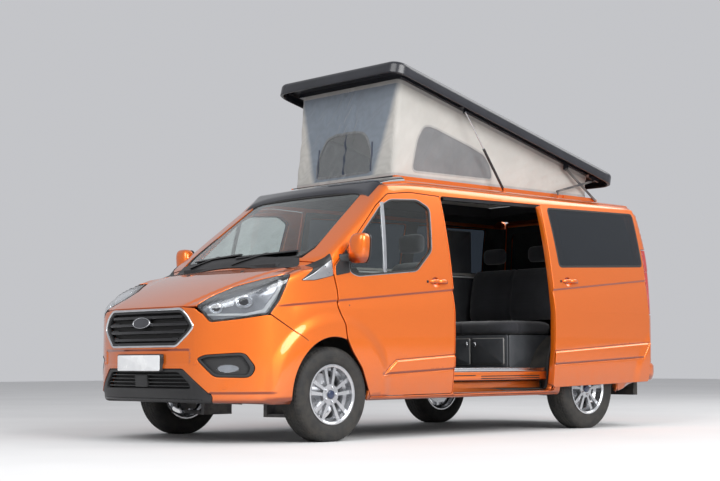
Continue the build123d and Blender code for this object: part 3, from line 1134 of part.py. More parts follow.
# Lifting roof: a shallow shell with a rounded edge, the rail the tent hangs from and the linkage's brackets
with BuildPart() as pop_roof:
    with BuildSketch(lid_plane) as lid_plan:
        with Locations((LID_LENGTH / 2, 0)):
            RectangleRounded(LID_LENGTH, 2 * LID_HALF_WIDTH, LID_CORNER)
    extrude(lid_plan.sketch, amount=LID_DEPTH)
    fillet(pop_roof.edges().group_by(Axis(lid_plane.origin, lid_plane.z_dir))[-1], LID_EDGE)
    with BuildSketch(lid_plane) as cavity:
        with Locations((LID_LENGTH / 2, 0)):
            RectangleRounded(LID_LENGTH - 2 * LID_WALL, 2 * (LID_HALF_WIDTH - LID_WALL), LID_CORNER - LID_WALL)
    extrude(cavity.sketch, amount=LID_DEPTH - LID_EDGE, taper=0, mode=Mode.SUBTRACT)
    rail_x = (TENT_FRONT_RAIL, TENT_REAR_RAIL)
    rail_y = CANVAS_HALF_WIDTH + 26
    lid_block(*rail_x, -rail_y, rail_y, TENT_RAIL_Z, LID_DEPTH - LID_EDGE + 1)
    lid_block(rail_x[0] + 40, rail_x[1] - 40, -rail_y + 40, rail_y - 40, 0, LID_DEPTH - LID_EDGE, mode=Mode.SUBTRACT)
    for _, hand in SIDES:
        plate = both(ARM_Y - 9, ARM_Y - 1, hand)
        local_x, local_z = lid_place(*ARM_HEAD)
        lid_block(local_x - 30, local_x + 30, *plate, local_z - 12, TENT_RAIL_Z + 20)
        lid_block(local_x - 30, local_x + 30, *both(rail_y - 10, ARM_Y - 1, hand), TENT_RAIL_Z, TENT_RAIL_Z + 20)
        pin(ARM_HEAD, 5, *both(ARM_Y - 2, ARM_Y + 8, hand))
        local_x, local_z = lid_place(*STRUT_HEAD)
        lid_block(local_x - 20, local_x + 20, *both(rail_y - 10, STRUT_Y + 4, hand), TENT_RAIL_Z, TENT_RAIL_Z + 20)
        lid_block(local_x - 14, local_x + 14, *both(STRUT_Y - 18, STRUT_Y - 12, hand), local_z - 10, TENT_RAIL_Z + 20)
        pin(STRUT_HEAD, 4, *both(STRUT_Y - 13, STRUT_Y + 6, hand))
        local_x, local_z = lid_place(*LINK_HEAD)
        track = (local_x - 60, local_x + 60)
        track_z = local_z + ROLLER_RADIUS + RUNNING_GAP
        lid_block(*track, *both(LINK_Y + 10, LINK_TRACK_Y, hand), track_z, TENT_RAIL_Z + 20)
        lid_block(*track, *both(rail_y - 10, LINK_TRACK_Y, hand), TENT_RAIL_Z, TENT_RAIL_Z + 20)
save(pop_roof.part, "pop_roof")

# Tent side: an open-ended wedge of cloth from the roof frame up to the lid's rail
rail_line = TENT_RAIL_Z - CLOTH_GAP
tent_top_front = lid_plane.from_local_coords(Vector(TENT_FRONT_RAIL + 8, 0, rail_line))
tent_top_rear = lid_plane.from_local_coords(Vector(TENT_REAR_RAIL - 8, 0, rail_line))
TENT_SIDE = [
    (CANVAS_FRONT_X, CANVAS_BASE_Z), (tent_top_front.X, tent_top_front.Z), (tent_top_rear.X, tent_top_rear.Z),
    (CANVAS_REAR_X, CANVAS_BASE_Z),
]
with BuildPart() as canvas:
    side_prism(TENT_SIDE, -CANVAS_HALF_WIDTH, CANVAS_HALF_WIDTH)
    shell_half = CANVAS_HALF_WIDTH - CANVAS_THICKNESS
    front, rear = CANVAS_THICKNESS, -CANVAS_THICKNESS
    inner_side = [
        (CANVAS_FRONT_X - front, CANVAS_BASE_Z - 50), (tent_top_front.X - front, tent_top_front.Z + 60),
        (tent_top_rear.X - rear, tent_top_rear.Z + 60), (CANVAS_REAR_X - rear, CANVAS_BASE_Z - 50),
    ]
    side_prism(inner_side, -shell_half, shell_half, mode=Mode.SUBTRACT)
save(canvas.part, "canvas")

# Linkage: arms on the roof's brackets, crossing links pinned to them, short posts and gas struts
with BuildPart() as roof_arms:
    for _, hand in SIDES:
        flat_link(ARM_FOOT, ARM_HEAD, 20, *both(ARM_Y, ARM_Y + 8, hand))
        for place in (ARM_FOOT, ARM_HEAD):
            pin(place, 5 + RUNNING_GAP, *both(ARM_Y - 1, ARM_Y + 9, hand), mode=Mode.SUBTRACT)
        pin(LINK_CROSSING, 6, *both(ARM_Y + 7, LINK_Y + 8, hand))
save(roof_arms.part, "roof_arms")

with BuildPart() as roof_links:
    for _, hand in SIDES:
        flat_link(LINK_FOOT, LINK_HEAD, 18, *both(LINK_Y, LINK_Y + 8, hand))
        pin(LINK_CROSSING, 6 + RUNNING_GAP, *both(LINK_Y - 1, LINK_Y + 9, hand), mode=Mode.SUBTRACT)
        pin(LINK_HEAD, ROLLER_RADIUS, *both(LINK_Y + 7, LINK_TRACK_Y - 2, hand))
        pin(LINK_FOOT, 8, *both(LINK_Y + 7, LINK_Y + 9 - RUNNING_GAP, hand))
save(roof_links.part, "roof_links")

with BuildPart() as roof_posts:
    for _, hand in SIDES:
        flat_link(POST_FOOT, LINK_FOOT, 16, *both(LINK_Y + 9, LINK_Y + 15, hand))
        pin(LINK_FOOT, 5, *both(LINK_Y + 8, LINK_Y + 16, hand), mode=Mode.SUBTRACT)
        pin(POST_FOOT, 5 + RUNNING_GAP, *both(LINK_Y + 8, LINK_Y + 16, hand), mode=Mode.SUBTRACT)
save(roof_posts.part, "roof_posts")

strut_run = (Vector(STRUT_HEAD[0], 0, STRUT_HEAD[1]) - Vector(STRUT_FOOT[0], 0, STRUT_FOOT[1])).normalized()
with BuildPart() as strut_tubes:
    for _, hand in SIDES:
        foot = Vector(STRUT_FOOT[0], hand * STRUT_Y, STRUT_FOOT[1])
        bar(tuple(foot + strut_run * 12), tuple(foot + strut_run * STRUT_TUBE_LENGTH), STRUT_RADIUS)
        bar(
            tuple(foot + strut_run * 30), tuple(foot + strut_run * (STRUT_TUBE_LENGTH + 1)),
            STRUT_ROD_RADIUS + RUNNING_GAP, mode=Mode.SUBTRACT,
        )
        pin(STRUT_FOOT, 13, *both(STRUT_Y - 5, STRUT_Y + 5, hand))
        pin(STRUT_FOOT, 4 + RUNNING_GAP, *both(STRUT_Y - 6, STRUT_Y + 6, hand), mode=Mode.SUBTRACT)
save(strut_tubes.part, "strut_tubes")

with BuildPart() as strut_rods:
    for _, hand in SIDES:
        head = Vector(STRUT_HEAD[0], hand * STRUT_Y, STRUT_HEAD[1])
        bar(tuple(head - strut_run * STRUT_ROD_LENGTH), tuple(head - strut_run * 8), STRUT_ROD_RADIUS)
        pin(STRUT_HEAD, 10, *both(STRUT_Y - 4, STRUT_Y + 4, hand))
        pin(STRUT_HEAD, 4 + STRUT_EYE_PLAY, *both(STRUT_Y - 6, STRUT_Y + 6, hand), mode=Mode.SUBTRACT)
save(strut_rods.part, "strut_rods")
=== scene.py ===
"""Camper van with a lifting roof: painted panels, glass, lamps, wheels, tent and cab over a fixed frame."""
import math

import bpy
import numpy as np
from mathutils import Matrix, Vector
from mathutils.geometry import delaunay_2d_cdt


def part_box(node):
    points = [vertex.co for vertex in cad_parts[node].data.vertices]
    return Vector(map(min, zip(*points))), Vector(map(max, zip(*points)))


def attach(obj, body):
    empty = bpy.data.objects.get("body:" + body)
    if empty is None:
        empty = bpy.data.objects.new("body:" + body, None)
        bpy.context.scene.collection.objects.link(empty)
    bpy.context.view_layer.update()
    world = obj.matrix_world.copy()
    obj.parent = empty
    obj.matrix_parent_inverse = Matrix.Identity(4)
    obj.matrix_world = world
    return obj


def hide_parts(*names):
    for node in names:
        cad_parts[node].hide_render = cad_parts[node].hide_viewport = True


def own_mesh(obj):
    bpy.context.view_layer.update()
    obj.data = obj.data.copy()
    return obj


bl_info = {
    "name": "Camper van",
    "version": (1, 0, 0),
    "blender": (4, 5, 0),
    "location": "View3D > Sidebar > Camper van",
    "description": "Builds the looks of a camper van over its packed frame",
    "category": "Object",
}

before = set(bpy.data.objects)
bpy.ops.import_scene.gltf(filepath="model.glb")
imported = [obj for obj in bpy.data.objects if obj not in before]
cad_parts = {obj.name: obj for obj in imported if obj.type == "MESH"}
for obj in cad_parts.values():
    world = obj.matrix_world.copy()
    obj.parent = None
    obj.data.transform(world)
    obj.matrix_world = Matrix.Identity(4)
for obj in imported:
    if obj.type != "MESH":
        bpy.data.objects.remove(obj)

HALF_WIDTH = 0.993
TAIL_X = -2.447
NOSE_X = 2.487
FRONT_AXLE = (1.4785, 0.335)
REAR_AXLE = (-1.4545, 0.335)
ARCH_HALF = {"front": 0.372, "rear": 0.385}
ARCH_TOP = 0.746
SLIDE = np.array([-1.112, 0.084, 0.030])
CORNER_SOFTNESS = 0.016
SCREEN_BOW = 0.100
EDGE = 0.003
GRID_STEP = 0.012
NORMAL_STEP = 0.0016
HANDS = (("left", 1), ("right", -1))
HANDLE_PLACES = ((0.403, 1.176), (0.012, 1.197))
CREASE_X, CREASE_Z, CREASE_FALL = 1.994, 0.954, 0.094
MOULDING_MIDDLE = 0.23
MOULDING_TOP, MOULDING_FOOT = (0.612, 0.062), (0.511, 0.047)
MOULDING_FRONT, MOULDING_REAR = (0.969, 0.473, 0.64, 0.77), (-0.985, 0.566, 0.85, 0.52)


def unit(vectors):
    """Each vector divided by its own length."""
    return vectors / np.maximum(np.linalg.norm(vectors, axis=-1, keepdims=True), 1e-12)


def smooth(t):
    """The cubic step: 0 below 0, 1 above 1, three t squared less two t cubed between."""
    t = np.clip(t, 0.0, 1.0)
    return t * t * (3 - 2 * t)


def turned_angles(count):
    """Angles evenly spaced round a circle."""
    return np.linspace(0, 2 * math.pi, count, endpoint=False)


def turned(count=44):
    """Evenly spaced points of a unit circle."""
    turn = turned_angles(count)
    return np.stack([np.cos(turn), np.sin(turn)], 1)


def squared(count, power):
    """Points of a unit circle with each coordinate's size raised to a power, which squares the circle's corners."""
    circle = turned(count)
    return np.sign(circle) * np.abs(circle) ** power


def arc(a, b, c, count=18):
    """Points evenly turned about the centre of the circle through a, b and c, from a to c."""
    (ax, ay), (bx, by), (cx, cy) = a, b, c
    twice = 2 * (ax * (by - cy) + bx * (cy - ay) + cx * (ay - by))
    squares = (ax * ax + ay * ay, bx * bx + by * by, cx * cx + cy * cy)
    centre_x = (squares[0] * (by - cy) + squares[1] * (cy - ay) + squares[2] * (ay - by)) / twice
    centre_y = (squares[0] * (cx - bx) + squares[1] * (ax - cx) + squares[2] * (bx - ax)) / twice
    radius = math.hypot(ax - centre_x, ay - centre_y)
    start = math.atan2(ay - centre_y, ax - centre_x)
    middle = (math.atan2(by - centre_y, bx - centre_x) - start) % (2 * math.pi)
    end = (math.atan2(cy - centre_y, cx - centre_x) - start) % (2 * math.pi)
    if middle > end:
        end -= 2 * math.pi
    turn = start + np.linspace(0, end, count)
    return np.stack([centre_x + radius * np.cos(turn), centre_y + radius * np.sin(turn)], 1)


def inside(points, loop):
    """True for points in a closed loop: an odd number of the loop's edges lies to their right."""
    x, y = points[:, 0], points[:, 1]
    odd = np.zeros(len(points), bool)
    for (ax, ay), (bx, by) in zip(loop, np.roll(loop, -1, 0)):
        if ay != by:
            odd ^= ((ay > y) != (by > y)) & (x < (bx - ax) * (y - ay) / (by - ay) + ax)
    return odd


def between(points, outline, holes):
    """True for points inside the outline and outside every hole."""
    kept = inside(points, outline)
    for hole in holes:
        kept &= ~inside(points, hole)
    return kept


def loop_edges(loops):
    """Each loop's edges as pairs of numbers that count through all the loops' points."""
    edges, first = [], 0
    for loop in loops:
        ids = first + np.arange(len(loop))
        edges.append(np.stack([ids, np.roll(ids, -1)], 1))
        first += len(loop)
    return edges


def doubled_area(loop):
    """Twice a loop's area, positive where the loop turns left."""
    return np.sum(loop[:, 0] * np.roll(loop[:, 1], -1) - np.roll(loop[:, 0], -1) * loop[:, 1])


def left_turning(loop):
    """The loop, reversed if it turns right."""
    loop = np.asarray(loop, float)
    return loop if doubled_area(loop) > 0 else loop[::-1]


def loop_distance(points, loop):
    """The least distance from each point to the edges of a closed loop."""
    best = np.full(len(points), np.inf)
    for a, b in zip(loop, np.roll(loop, -1, 0)):
        run = b - a
        along = np.clip(((points - a) @ run) / max(run @ run, 1e-12), 0, 1)
        best = np.minimum(best, np.linalg.norm(points - a - along[:, None] * run, axis=1))
    return best


class Field:
    """Signed distance to a closed outline on a square grid, negative inside, read by cubic interpolation."""

    def __init__(self, outline, low, high):
        self.low = np.array(low, float)
        counts = np.ceil((np.array(high) - self.low) / GRID_STEP).astype(int) + 1
        u, v = np.meshgrid(*(self.low[k] + GRID_STEP * np.arange(counts[k]) for k in (0, 1)), indexing="ij")
        points = np.stack([u.ravel(), v.ravel()], 1)
        distance = loop_distance(points, outline)
        self.values = np.where(inside(points, outline), -distance, distance).reshape(u.shape)

    def at(self, u, v):
        """The grid's values weighted by the cubic through the four nearest on each axis."""
        total = 0.0
        where = [(u - self.low[0]) / GRID_STEP, (v - self.low[1]) / GRID_STEP]
        cells, weights = [], []
        for k, w in enumerate(where):
            w = np.clip(w, 1, self.values.shape[k] - 2.001)
            cell = np.floor(w).astype(int)
            t = w - cell
            cells.append(cell)
            weights.append([
                -0.5 * t + t * t - 0.5 * t ** 3, 1 - 2.5 * t * t + 1.5 * t ** 3,
                0.5 * t + 2 * t * t - 1.5 * t ** 3, -0.5 * t * t + 0.5 * t ** 3,
            ])
        for i in range(4):
            row = sum(weights[1][j] * self.values[cells[0] + i - 1, cells[1] + j - 1] for j in range(4))
            total = total + weights[0][i] * row
        return total


def both_hands(half, mirror=(-1, 1)):
    """Half an outline joined to its mirror image, in which the first or the second coordinate changes sign."""
    half = np.asarray(half, float)
    return np.concatenate([half, half[::-1] * mirror])


def oblong(left, low, right, high):
    """The four corners of an oblong."""
    return [(left, low), (right, low), (right, high), (left, high)]


def body_fields():
    """The van's outline from the front, from above and from the side, drawn in arcs, each as a signed distance."""
    half = np.concatenate([
        [(0, 0.262), (0.905, 0.262)], arc((0.945, 0.300), (0.982, 0.620), (0.993, 0.950)),
        arc((0.957, 1.215), (0.905, 1.530), (0.815, 1.905)), arc((0.815, 1.905), (0.765, 1.957), (0.640, 1.985))[1:],
        arc((0.640, 1.985), (0.322, 2.004), (0, 2.010))[1:],
    ])
    section = both_hands(half)
    half = np.concatenate([
        [(TAIL_X, 0)], arc((TAIL_X, 0.760), (TAIL_X + 0.035, 0.905), (TAIL_X + 0.140, 1.000)),
        arc((1.450, 1.000), (1.780, 0.978), (2.010, 0.930)), arc((2.010, 0.930), (2.280, 0.750), (2.400, 0.550))[1:],
        arc((2.400, 0.550), (2.465, 0.275), (NOSE_X, 0))[1:],
    ])
    plan = both_hands(half, (1, -1))
    profile = np.concatenate([
        [(TAIL_X + 0.010, 0.242), (2.430, 0.242)], arc((2.455, 0.320), (NOSE_X, 0.540), (2.433, 0.960)),
        arc((2.433, 0.960), (2.120, 1.115), (1.700, 1.262))[1:], [(1.650, 1.320)],
        arc((0.868, 1.921), (0.300, 1.993), (-0.500, 2.011)), arc((-2.200, 2.002), (-2.320, 1.970), (-2.380, 1.900)),
        [(TAIL_X, 1.150)],
    ])
    return (
        Field(section, (-0.10, 0.0), (1.45, 2.5)), Field(plan, (-2.8, -0.10), (3.0, 1.45)),
        Field(profile, (-2.8, 0.0), (3.1, 2.5)),
    )


SECTION, PLAN, PROFILE = body_fields()


def crease_line(x):
    """Height of the crease, a line that rises to the rear at 94 mm a metre."""
    return CREASE_Z + CREASE_FALL * (CREASE_X - x)


def crease_height(x, z):
    """Height over the crease."""
    return z - CREASE_Z - CREASE_FALL * (CREASE_X - x)


def moulding_depth(x, z):
    """How far inside the raised moulding: it lies between two rising lines with slanted ends.

    Top and foot are given by their height at the middle and their fall; each end by a point and a direction."""
    (top, top_fall), (foot, foot_fall) = MOULDING_TOP, MOULDING_FOOT
    (ahead_x, ahead_z, ahead_a, ahead_b), (back_x, back_z, back_a, back_b) = MOULDING_FRONT, MOULDING_REAR
    upper = top - top_fall * (x - MOULDING_MIDDLE) - z
    lower = z - foot + foot_fall * (x - MOULDING_MIDDLE)
    front_end = (ahead_x - x) * ahead_a + (ahead_z - z) * ahead_b
    rear_end = (x - back_x) * back_a + (z - back_z) * back_b
    return np.minimum(np.minimum(upper, lower), np.minimum(front_end, rear_end))


def pressed_lines(flat, in_round=False):
    """Distance from places on the side to the nearest pressed line, where the panels' lattice is finer."""
    x, z = flat.T
    if in_round:
        foot = np.clip(x, *SPINE)
        x = foot + ROUND_REACH * np.tan(np.clip((x - foot) / TURN_LENGTH, -1.2, 1.2))
    lines = [np.abs(crease_height(x, z) + 0.008) - 0.022, np.abs(moulding_depth(x, z)) - 0.014]
    for place in HANDLE_PLACES:
        lines.append(np.abs(np.hypot(x - place[0], (z - place[1]) / 0.85) - 0.035) - 0.015)
    if in_round:
        lines.append(np.abs(z - 1.928) - 0.028)
    return np.min(lines, 0)


def meeting(first, second):
    """The point where two lines a x + b z = c cross."""
    (a, b, c), (d, e, f) = first, second
    return ((c * e - b * f) / (a * e - b * d), (a * f - c * d) / (a * e - b * d))


def pressed_points(in_round=False):
    """Points set in rows along the pressed lines, so that the panels' triangles follow them.

    The moulding's rows are its outline moved inward: each of its four lines a x + b z = c is shifted by the depth."""
    rows = []
    (top, top_fall), (foot, foot_fall) = MOULDING_TOP, MOULDING_FOOT
    (ahead_x, ahead_z, ahead_a, ahead_b), (back_x, back_z, back_a, back_b) = MOULDING_FRONT, MOULDING_REAR
    for order, rise in enumerate((-0.030, -0.020, -0.013, -0.008, -0.004, 0.0, 0.004, 0.008, 0.014)):
        x = np.arange(-2.36, 2.0, 0.018) + 0.009 * (order % 2)
        rows.append(np.stack([x, crease_line(x) + rise], 1))
    for depth in (-0.014, -0.011, -0.008, -0.005, -0.0025, 0.0, 0.0025, 0.005, 0.0075, 0.010, 0.014):
        upper = (top_fall, 1, top + top_fall * MOULDING_MIDDLE - depth)
        lower = (foot_fall, 1, foot + foot_fall * MOULDING_MIDDLE + depth)
        front_end = (ahead_a, ahead_b, ahead_x * ahead_a + ahead_z * ahead_b - depth)
        rear_end = (back_a, back_b, back_x * back_a + back_z * back_b + depth)
        corners = [meeting(upper, front_end), meeting(upper, rear_end), meeting(lower, rear_end),
                   meeting(lower, front_end)]
        rows.append(dense([*corners, corners[0]], 0.017)[:-1])
    turn = turned_angles(40)
    for place in HANDLE_PLACES:
        for reach in (0.018, 0.025, 0.032, 0.039, 0.046, 0.053):
            rows.append(np.stack([place[0] + reach * np.cos(turn), place[1] + 0.85 * reach * np.sin(turn)], 1))
    if in_round:
        for order, z in enumerate(np.arange(1.898, 1.956, 0.0065)):
            x = np.arange(-2.36, 0.95, 0.022) + 0.011 * (order % 2)
            rows.append(np.stack([x, np.full(len(x), z)], 1))
    points = np.concatenate(rows)
    if in_round:
        foot = np.clip(points[:, 0], *SPINE)
        points[:, 0] = foot + TURN_LENGTH * np.arctan((points[:, 0] - foot) / ROUND_REACH)
    return points


def relief(x, y, z):
    """How far the pressed features lie behind the plain body: each is a smooth step across its own edge line."""
    side = smooth((y - 0.70) / 0.12) * smooth((z - 0.28) / 0.05)
    # Below the crease the side is drawn in and swells out again
    crease = crease_height(x, z)
    fades = smooth((2.02 - x) / 0.20) * smooth((x + 2.42) / 0.10)
    depth = 0.016 * (0.5 - 0.5 * np.tanh(crease / 0.006)) * np.exp(np.minimum(crease, 0) / 0.085) * fades
    for axle in (FRONT_AXLE, REAR_AXLE):
        reach = np.hypot(x - axle[0], z - axle[1])
        depth -= 0.014 * (1 - smooth((reach - 0.50) / 0.10))
    edge = moulding_depth(x, z)
    depth += 0.006 * np.exp(-(((edge + 0.005) / 0.004) ** 2)) - 0.008 * smooth(edge / 0.011)
    # Dishes behind the door handles
    for place in HANDLE_PLACES:
        reach = np.hypot(x - place[0], (z - place[1]) / 0.85)
        depth += 0.012 * (1 - smooth((reach - 0.020) / 0.030))
    depth *= side
    # The front bumper turns in below a line over its foot, and is drawn in under the grille
    ahead = smooth((x - 1.96) / 0.08)
    depth += 0.014 * smooth((0.357 - z) / 0.012) * ahead
    depth += 0.008 * smooth((0.660 - z) / 0.012) * smooth((z - 0.545) / 0.02) * smooth((0.52 - y) / 0.02) * ahead
    # The bonnet stands proud between two ridges that run from the grille's corners to the pillars
    ridge = y - np.interp(x, (1.66, 2.43), (0.69, 0.42))
    top = smooth((x - 1.64) / 0.10) * smooth((z - 0.93) / 0.06)
    return depth + 0.010 * smooth(ridge / 0.035) * top * (1 - smooth((y - 0.84) / 0.08))


def outside(points, inset=0.0):
    """Distance out of the body: the log of the sum of exponentials of the three outlines' distances.

    The profile is read further ahead towards the sides, which bows screen and nose. The relief counts in full on the
    surface and fades out 12 mm under it."""
    x, y, z = points.T
    y = np.abs(y)
    bow = SCREEN_BOW * (y / HALF_WIDTH) ** 2 * np.interp(
        x, (0.3, 0.9, 1.62, 1.75, 2.2, 2.45), (0, 1.64, 1.64, 1.0, 1.0, 0.6)
    )
    parts = np.stack([SECTION.at(y, z), PLAN.at(x, y), PROFILE.at(x + bow, z)])
    most = parts.max(0)
    joined = most + CORNER_SOFTNESS * np.log(np.exp((parts - most) / CORNER_SOFTNESS).sum(0))
    return joined + relief(x, y, z) * min(1.0, max(0.0, 1 - inset / 0.012)) + inset


def trace(start, direction, inset=0.0):
    """Each start moved along direction to the body: steps of its distance, then Newton's steps along the line."""
    travel = np.zeros(len(start))
    for _ in range(14):
        travel += 0.95 * outside(start + direction * travel[:, None], inset)
    for _ in range(6):
        here = outside(start + direction * travel[:, None], inset)
        there = outside(start + direction * (travel[:, None] + 0.001), inset)
        slope = np.minimum((there - here) / 0.001, -0.08)
        travel -= np.clip(here / slope, -0.03, 0.03)
    return start + direction * travel[:, None]


def normals_at(points, inset):
    """The body's outward normals: central differences of the distance on the three axes."""
    steps = np.eye(3) * NORMAL_STEP
    slopes = [outside(points + step, inset) - outside(points - step, inset) for step in steps]
    return unit(np.stack(slopes, 1))


TILT = (-0.349, 0.937)
FRAMES = {
    "side": ((1, 0, 0), (0, 0, 1), (0, 1, 0), 1.15),
    "top": ((1, 0, 0), (0, 1, 0), (0, 0, 1), 2.20),
    "front": ((0, 1, 0), (0, 0, 1), (1, 0, 0), 2.60),
    "rear": ((0, 1, 0), (0, 0, 1), (-1, 0, 0), 2.60),
    "quarter": ((TILT[1], -TILT[0], 0), (0, 0, 1), (TILT[0], TILT[1], 0), 1.80),
    "shoulder": ((1, 0, 0), (0, -0.70711, 0.70711), (0, 0.70711, 0.70711), 1.70),
}
WRAP_X = 1.45
SPINE = (-1.60, 0.50)
BUMPER_FOOT = (0.70, 0.86, 0.95, 1.04, 1.20), (0.400, 0.398, 0.385, 0.352, 0.300)
TURN_LENGTH = 0.90
ROUND_REACH = 0.98
BACK = TURN_LENGTH * math.pi / 2 - SPINE[0]


def lift(flat, domain, hand=1, inset=0.0):
    """Flat points carried onto the body along their frame's third axis, or inward at an angle.

    The wrap's first coordinate is the angle about a vertical line behind the nose, so that it runs from one wheel
    arch round the front to the other. The round's is the distance along the side between the spine's ends, and past
    them an angle about the end times a length. Points and normals of the right hand are mirrored."""
    flat = np.asarray(flat, float)
    if callable(domain):
        return domain(flat, inset)
    if domain == "round":
        foot = np.clip(flat[:, 0], *SPINE)
        turn = (flat[:, 0] - foot) / TURN_LENGTH
        way = np.stack([np.sin(turn), np.cos(turn), np.zeros(len(flat))], 1)
        start = way * 2.2 + np.stack([foot, np.zeros(len(flat)), flat[:, 1]], 1)
    elif domain == "wrap":
        way = np.stack([np.cos(flat[:, 0]), np.sin(flat[:, 0]), np.zeros(len(flat))], 1)
        start = way * 1.35 + np.stack([np.full(len(flat), WRAP_X), np.zeros(len(flat)), flat[:, 1]], 1)
    else:
        first, second, way, far = (np.array(part, float) for part in FRAMES[domain])
        start = flat[:, :1] * first + flat[:, 1:] * second + way * far
        way = np.broadcast_to(way, start.shape)
    points = trace(start, -way, inset)
    normals = normals_at(points, inset)
    if hand < 0:
        points, normals = points * (1, -1, 1), normals * (1, -1, 1)
    return points, normals


def flatten(points, domain):
    """Points of the body in a frame's two flat coordinates."""
    if domain == "wrap":
        return np.stack([np.arctan2(points[:, 1], points[:, 0] - WRAP_X), points[:, 2]], 1)
    if domain == "round":
        foot = np.clip(points[:, 0], *SPINE)
        return np.stack([foot + TURN_LENGTH * np.arctan2(points[:, 0] - foot, points[:, 1]), points[:, 2]], 1)
    first, second = (np.array(part, float) for part in FRAMES[domain][:2])
    return np.stack([points @ first, points @ second], 1)


def dense(points, step=0.02):
    """An open polyline with points added so that none are further apart than step."""
    points = np.asarray(points, float)
    pieces = [
        a + (b - a) * np.linspace(0, 1, max(1, int(np.linalg.norm(b - a) / step)), endpoint=False)[:, None]
        for a, b in zip(points, points[1:])
    ]
    return np.concatenate([*pieces, points[-1:]])


def carried(outline, source, target, closed=True):
    """An outline drawn in one frame, given in another by way of the body."""
    outline = np.asarray(outline, float)
    if closed:
        outline = dense(np.concatenate([outline, outline[:1]]))[:-1]
    else:
        outline = dense(outline)
    return flatten(lift(outline, source)[0], target)


def region(outline, *cuts):
    """The outline less every cut, as its left-turning outer loop and then its holes.

    All edges go into one triangulation; the triangles in the outline and in no cut are kept, and the edges that only
    one of them uses are chained."""
    loops = [np.asarray(loop, float) for loop in (outline, *cuts)]
    edges = np.concatenate(loop_edges(loops)).tolist()
    found = delaunay_2d_cdt(list(map(Vector, np.concatenate(loops))), edges, [], 0, 1e-6)
    flat, faces = np.array([tuple(v) for v in found[0]]), np.array(found[2])
    keep = between(flat[faces].mean(1), loops[0], loops[1:])
    pairs = np.concatenate([faces[keep][:, [0, 1]], faces[keep][:, [1, 2]], faces[keep][:, [2, 0]]])
    there = set(map(tuple, pairs.tolist()))
    onward = {}
    for a, b in there:
        if (b, a) not in there:
            onward.setdefault(a, []).append(b)
    result = []
    while onward:
        start = next(iter(onward))
        chain, here = [start], start
        while True:
            following = onward[here].pop()
            if not onward[here]:
                del onward[here]
            if following == start:
                break
            chain.append(following)
            here = following
        loop = flat[chain]
        result.append((abs(doubled_area(loop)) / 2, loop))
    result.sort(key=lambda item: -item[0])
    return [loop for area, loop in result if area > 4e-5]


def rounded(corners, radius):
    """A closed outline with each corner replaced by a curve that leaves its edges at the given distance."""
    corners = np.array(corners, float)
    radii = np.broadcast_to(np.array(radius, float), len(corners))
    before, after = np.roll(corners, 1, 0) - corners, np.roll(corners, -1, 0) - corners
    reach = np.minimum(radii, 0.45 * np.minimum(np.linalg.norm(before, axis=1), np.linalg.norm(after, axis=1)))
    enter, leave = corners + unit(before) * reach[:, None], corners + unit(after) * reach[:, None]
    t = np.linspace(0, 1, 7)[None, :, None]
    curve = (1 - t) ** 2 * enter[:, None] + 2 * t * (1 - t) * corners[:, None] + t * t * leave[:, None]
    return curve.reshape(-1, 2)


def resample(loop, step):
    """A closed loop's points at even distances along it, about step apart, turning left."""
    loop = left_turning(loop)
    closed = np.concatenate([loop, loop[:1]])
    lengths = np.linalg.norm(np.diff(closed, axis=0), axis=1)
    kept = np.concatenate([[True], lengths > 1e-9])
    along = np.concatenate([[0], np.cumsum(lengths)])[kept]
    closed = closed[kept]
    count = max(8, int(math.ceil(along[-1] / step)))
    marks = np.unique(np.concatenate([np.linspace(0, along[-1], count, endpoint=False), along[:-1]]))
    gaps = np.diff(np.concatenate([marks, [along[-1]]]))
    marks = marks[gaps > step * 0.12]
    return np.stack([np.interp(marks, along, closed[:, k]) for k in (0, 1)], 1)


def outward(loop):
    """Unit normals of a left-turning loop in its own plane, pointing out of it."""
    run = unit(np.roll(loop, -1, 0) - loop) + unit(loop - np.roll(loop, 1, 0))
    return unit(np.stack([run[:, 1], -run[:, 0]], 1))


def lattice(low, high, step, skew):
    """Points of a triangular lattice whose rows lean by skew."""
    u, v = np.meshgrid(np.arange(low[0], high[0], step), np.arange(low[1] - 1.0, high[1] + 1.0, step * 0.87))
    u = u + (np.arange(u.shape[0]) % 2)[:, None] * step / 2
    return np.stack([u.ravel(), (v + skew * u).ravel()], 1)


def triangulate(loops, step, skew=0.0, detail=None):
    """Triangles of a flat region, the first loop less the others, filled with a lattice.

    Detail is a distance function and points: within its reach those points take the lattice's place."""
    outline, holes = loops[0], loops[1:]
    low, high = outline.min(0) - step, outline.max(0) + step
    grids = [(lattice(low, high, step, skew), step)]
    if detail is not None:
        reach, rows = detail
        grids = [(grids[0][0][reach(grids[0][0]) > 0.012], step), (rows, 0.008)]
    kept = []
    for grid, pitch in grids:
        grid = grid[between(grid, outline, holes)]
        for loop in loops:
            grid = grid[loop_distance(grid, loop) > pitch * 0.55]
        kept.append(grid)
    points = np.concatenate([*loops, *kept])
    edges = loop_edges(loops)
    found = delaunay_2d_cdt(list(map(Vector, points)), np.concatenate(edges).tolist(), [], 0, 1e-7)
    flat = np.array([tuple(v) for v in found[0]])
    faces = np.array(found[2])
    keep = between(flat[faces].mean(1), outline, holes)
    place = np.full(len(points), -1)
    for new, old in enumerate(found[3]):
        place[old] = new
    return flat, faces[keep], [place[e[:, 0]] for e in edges]


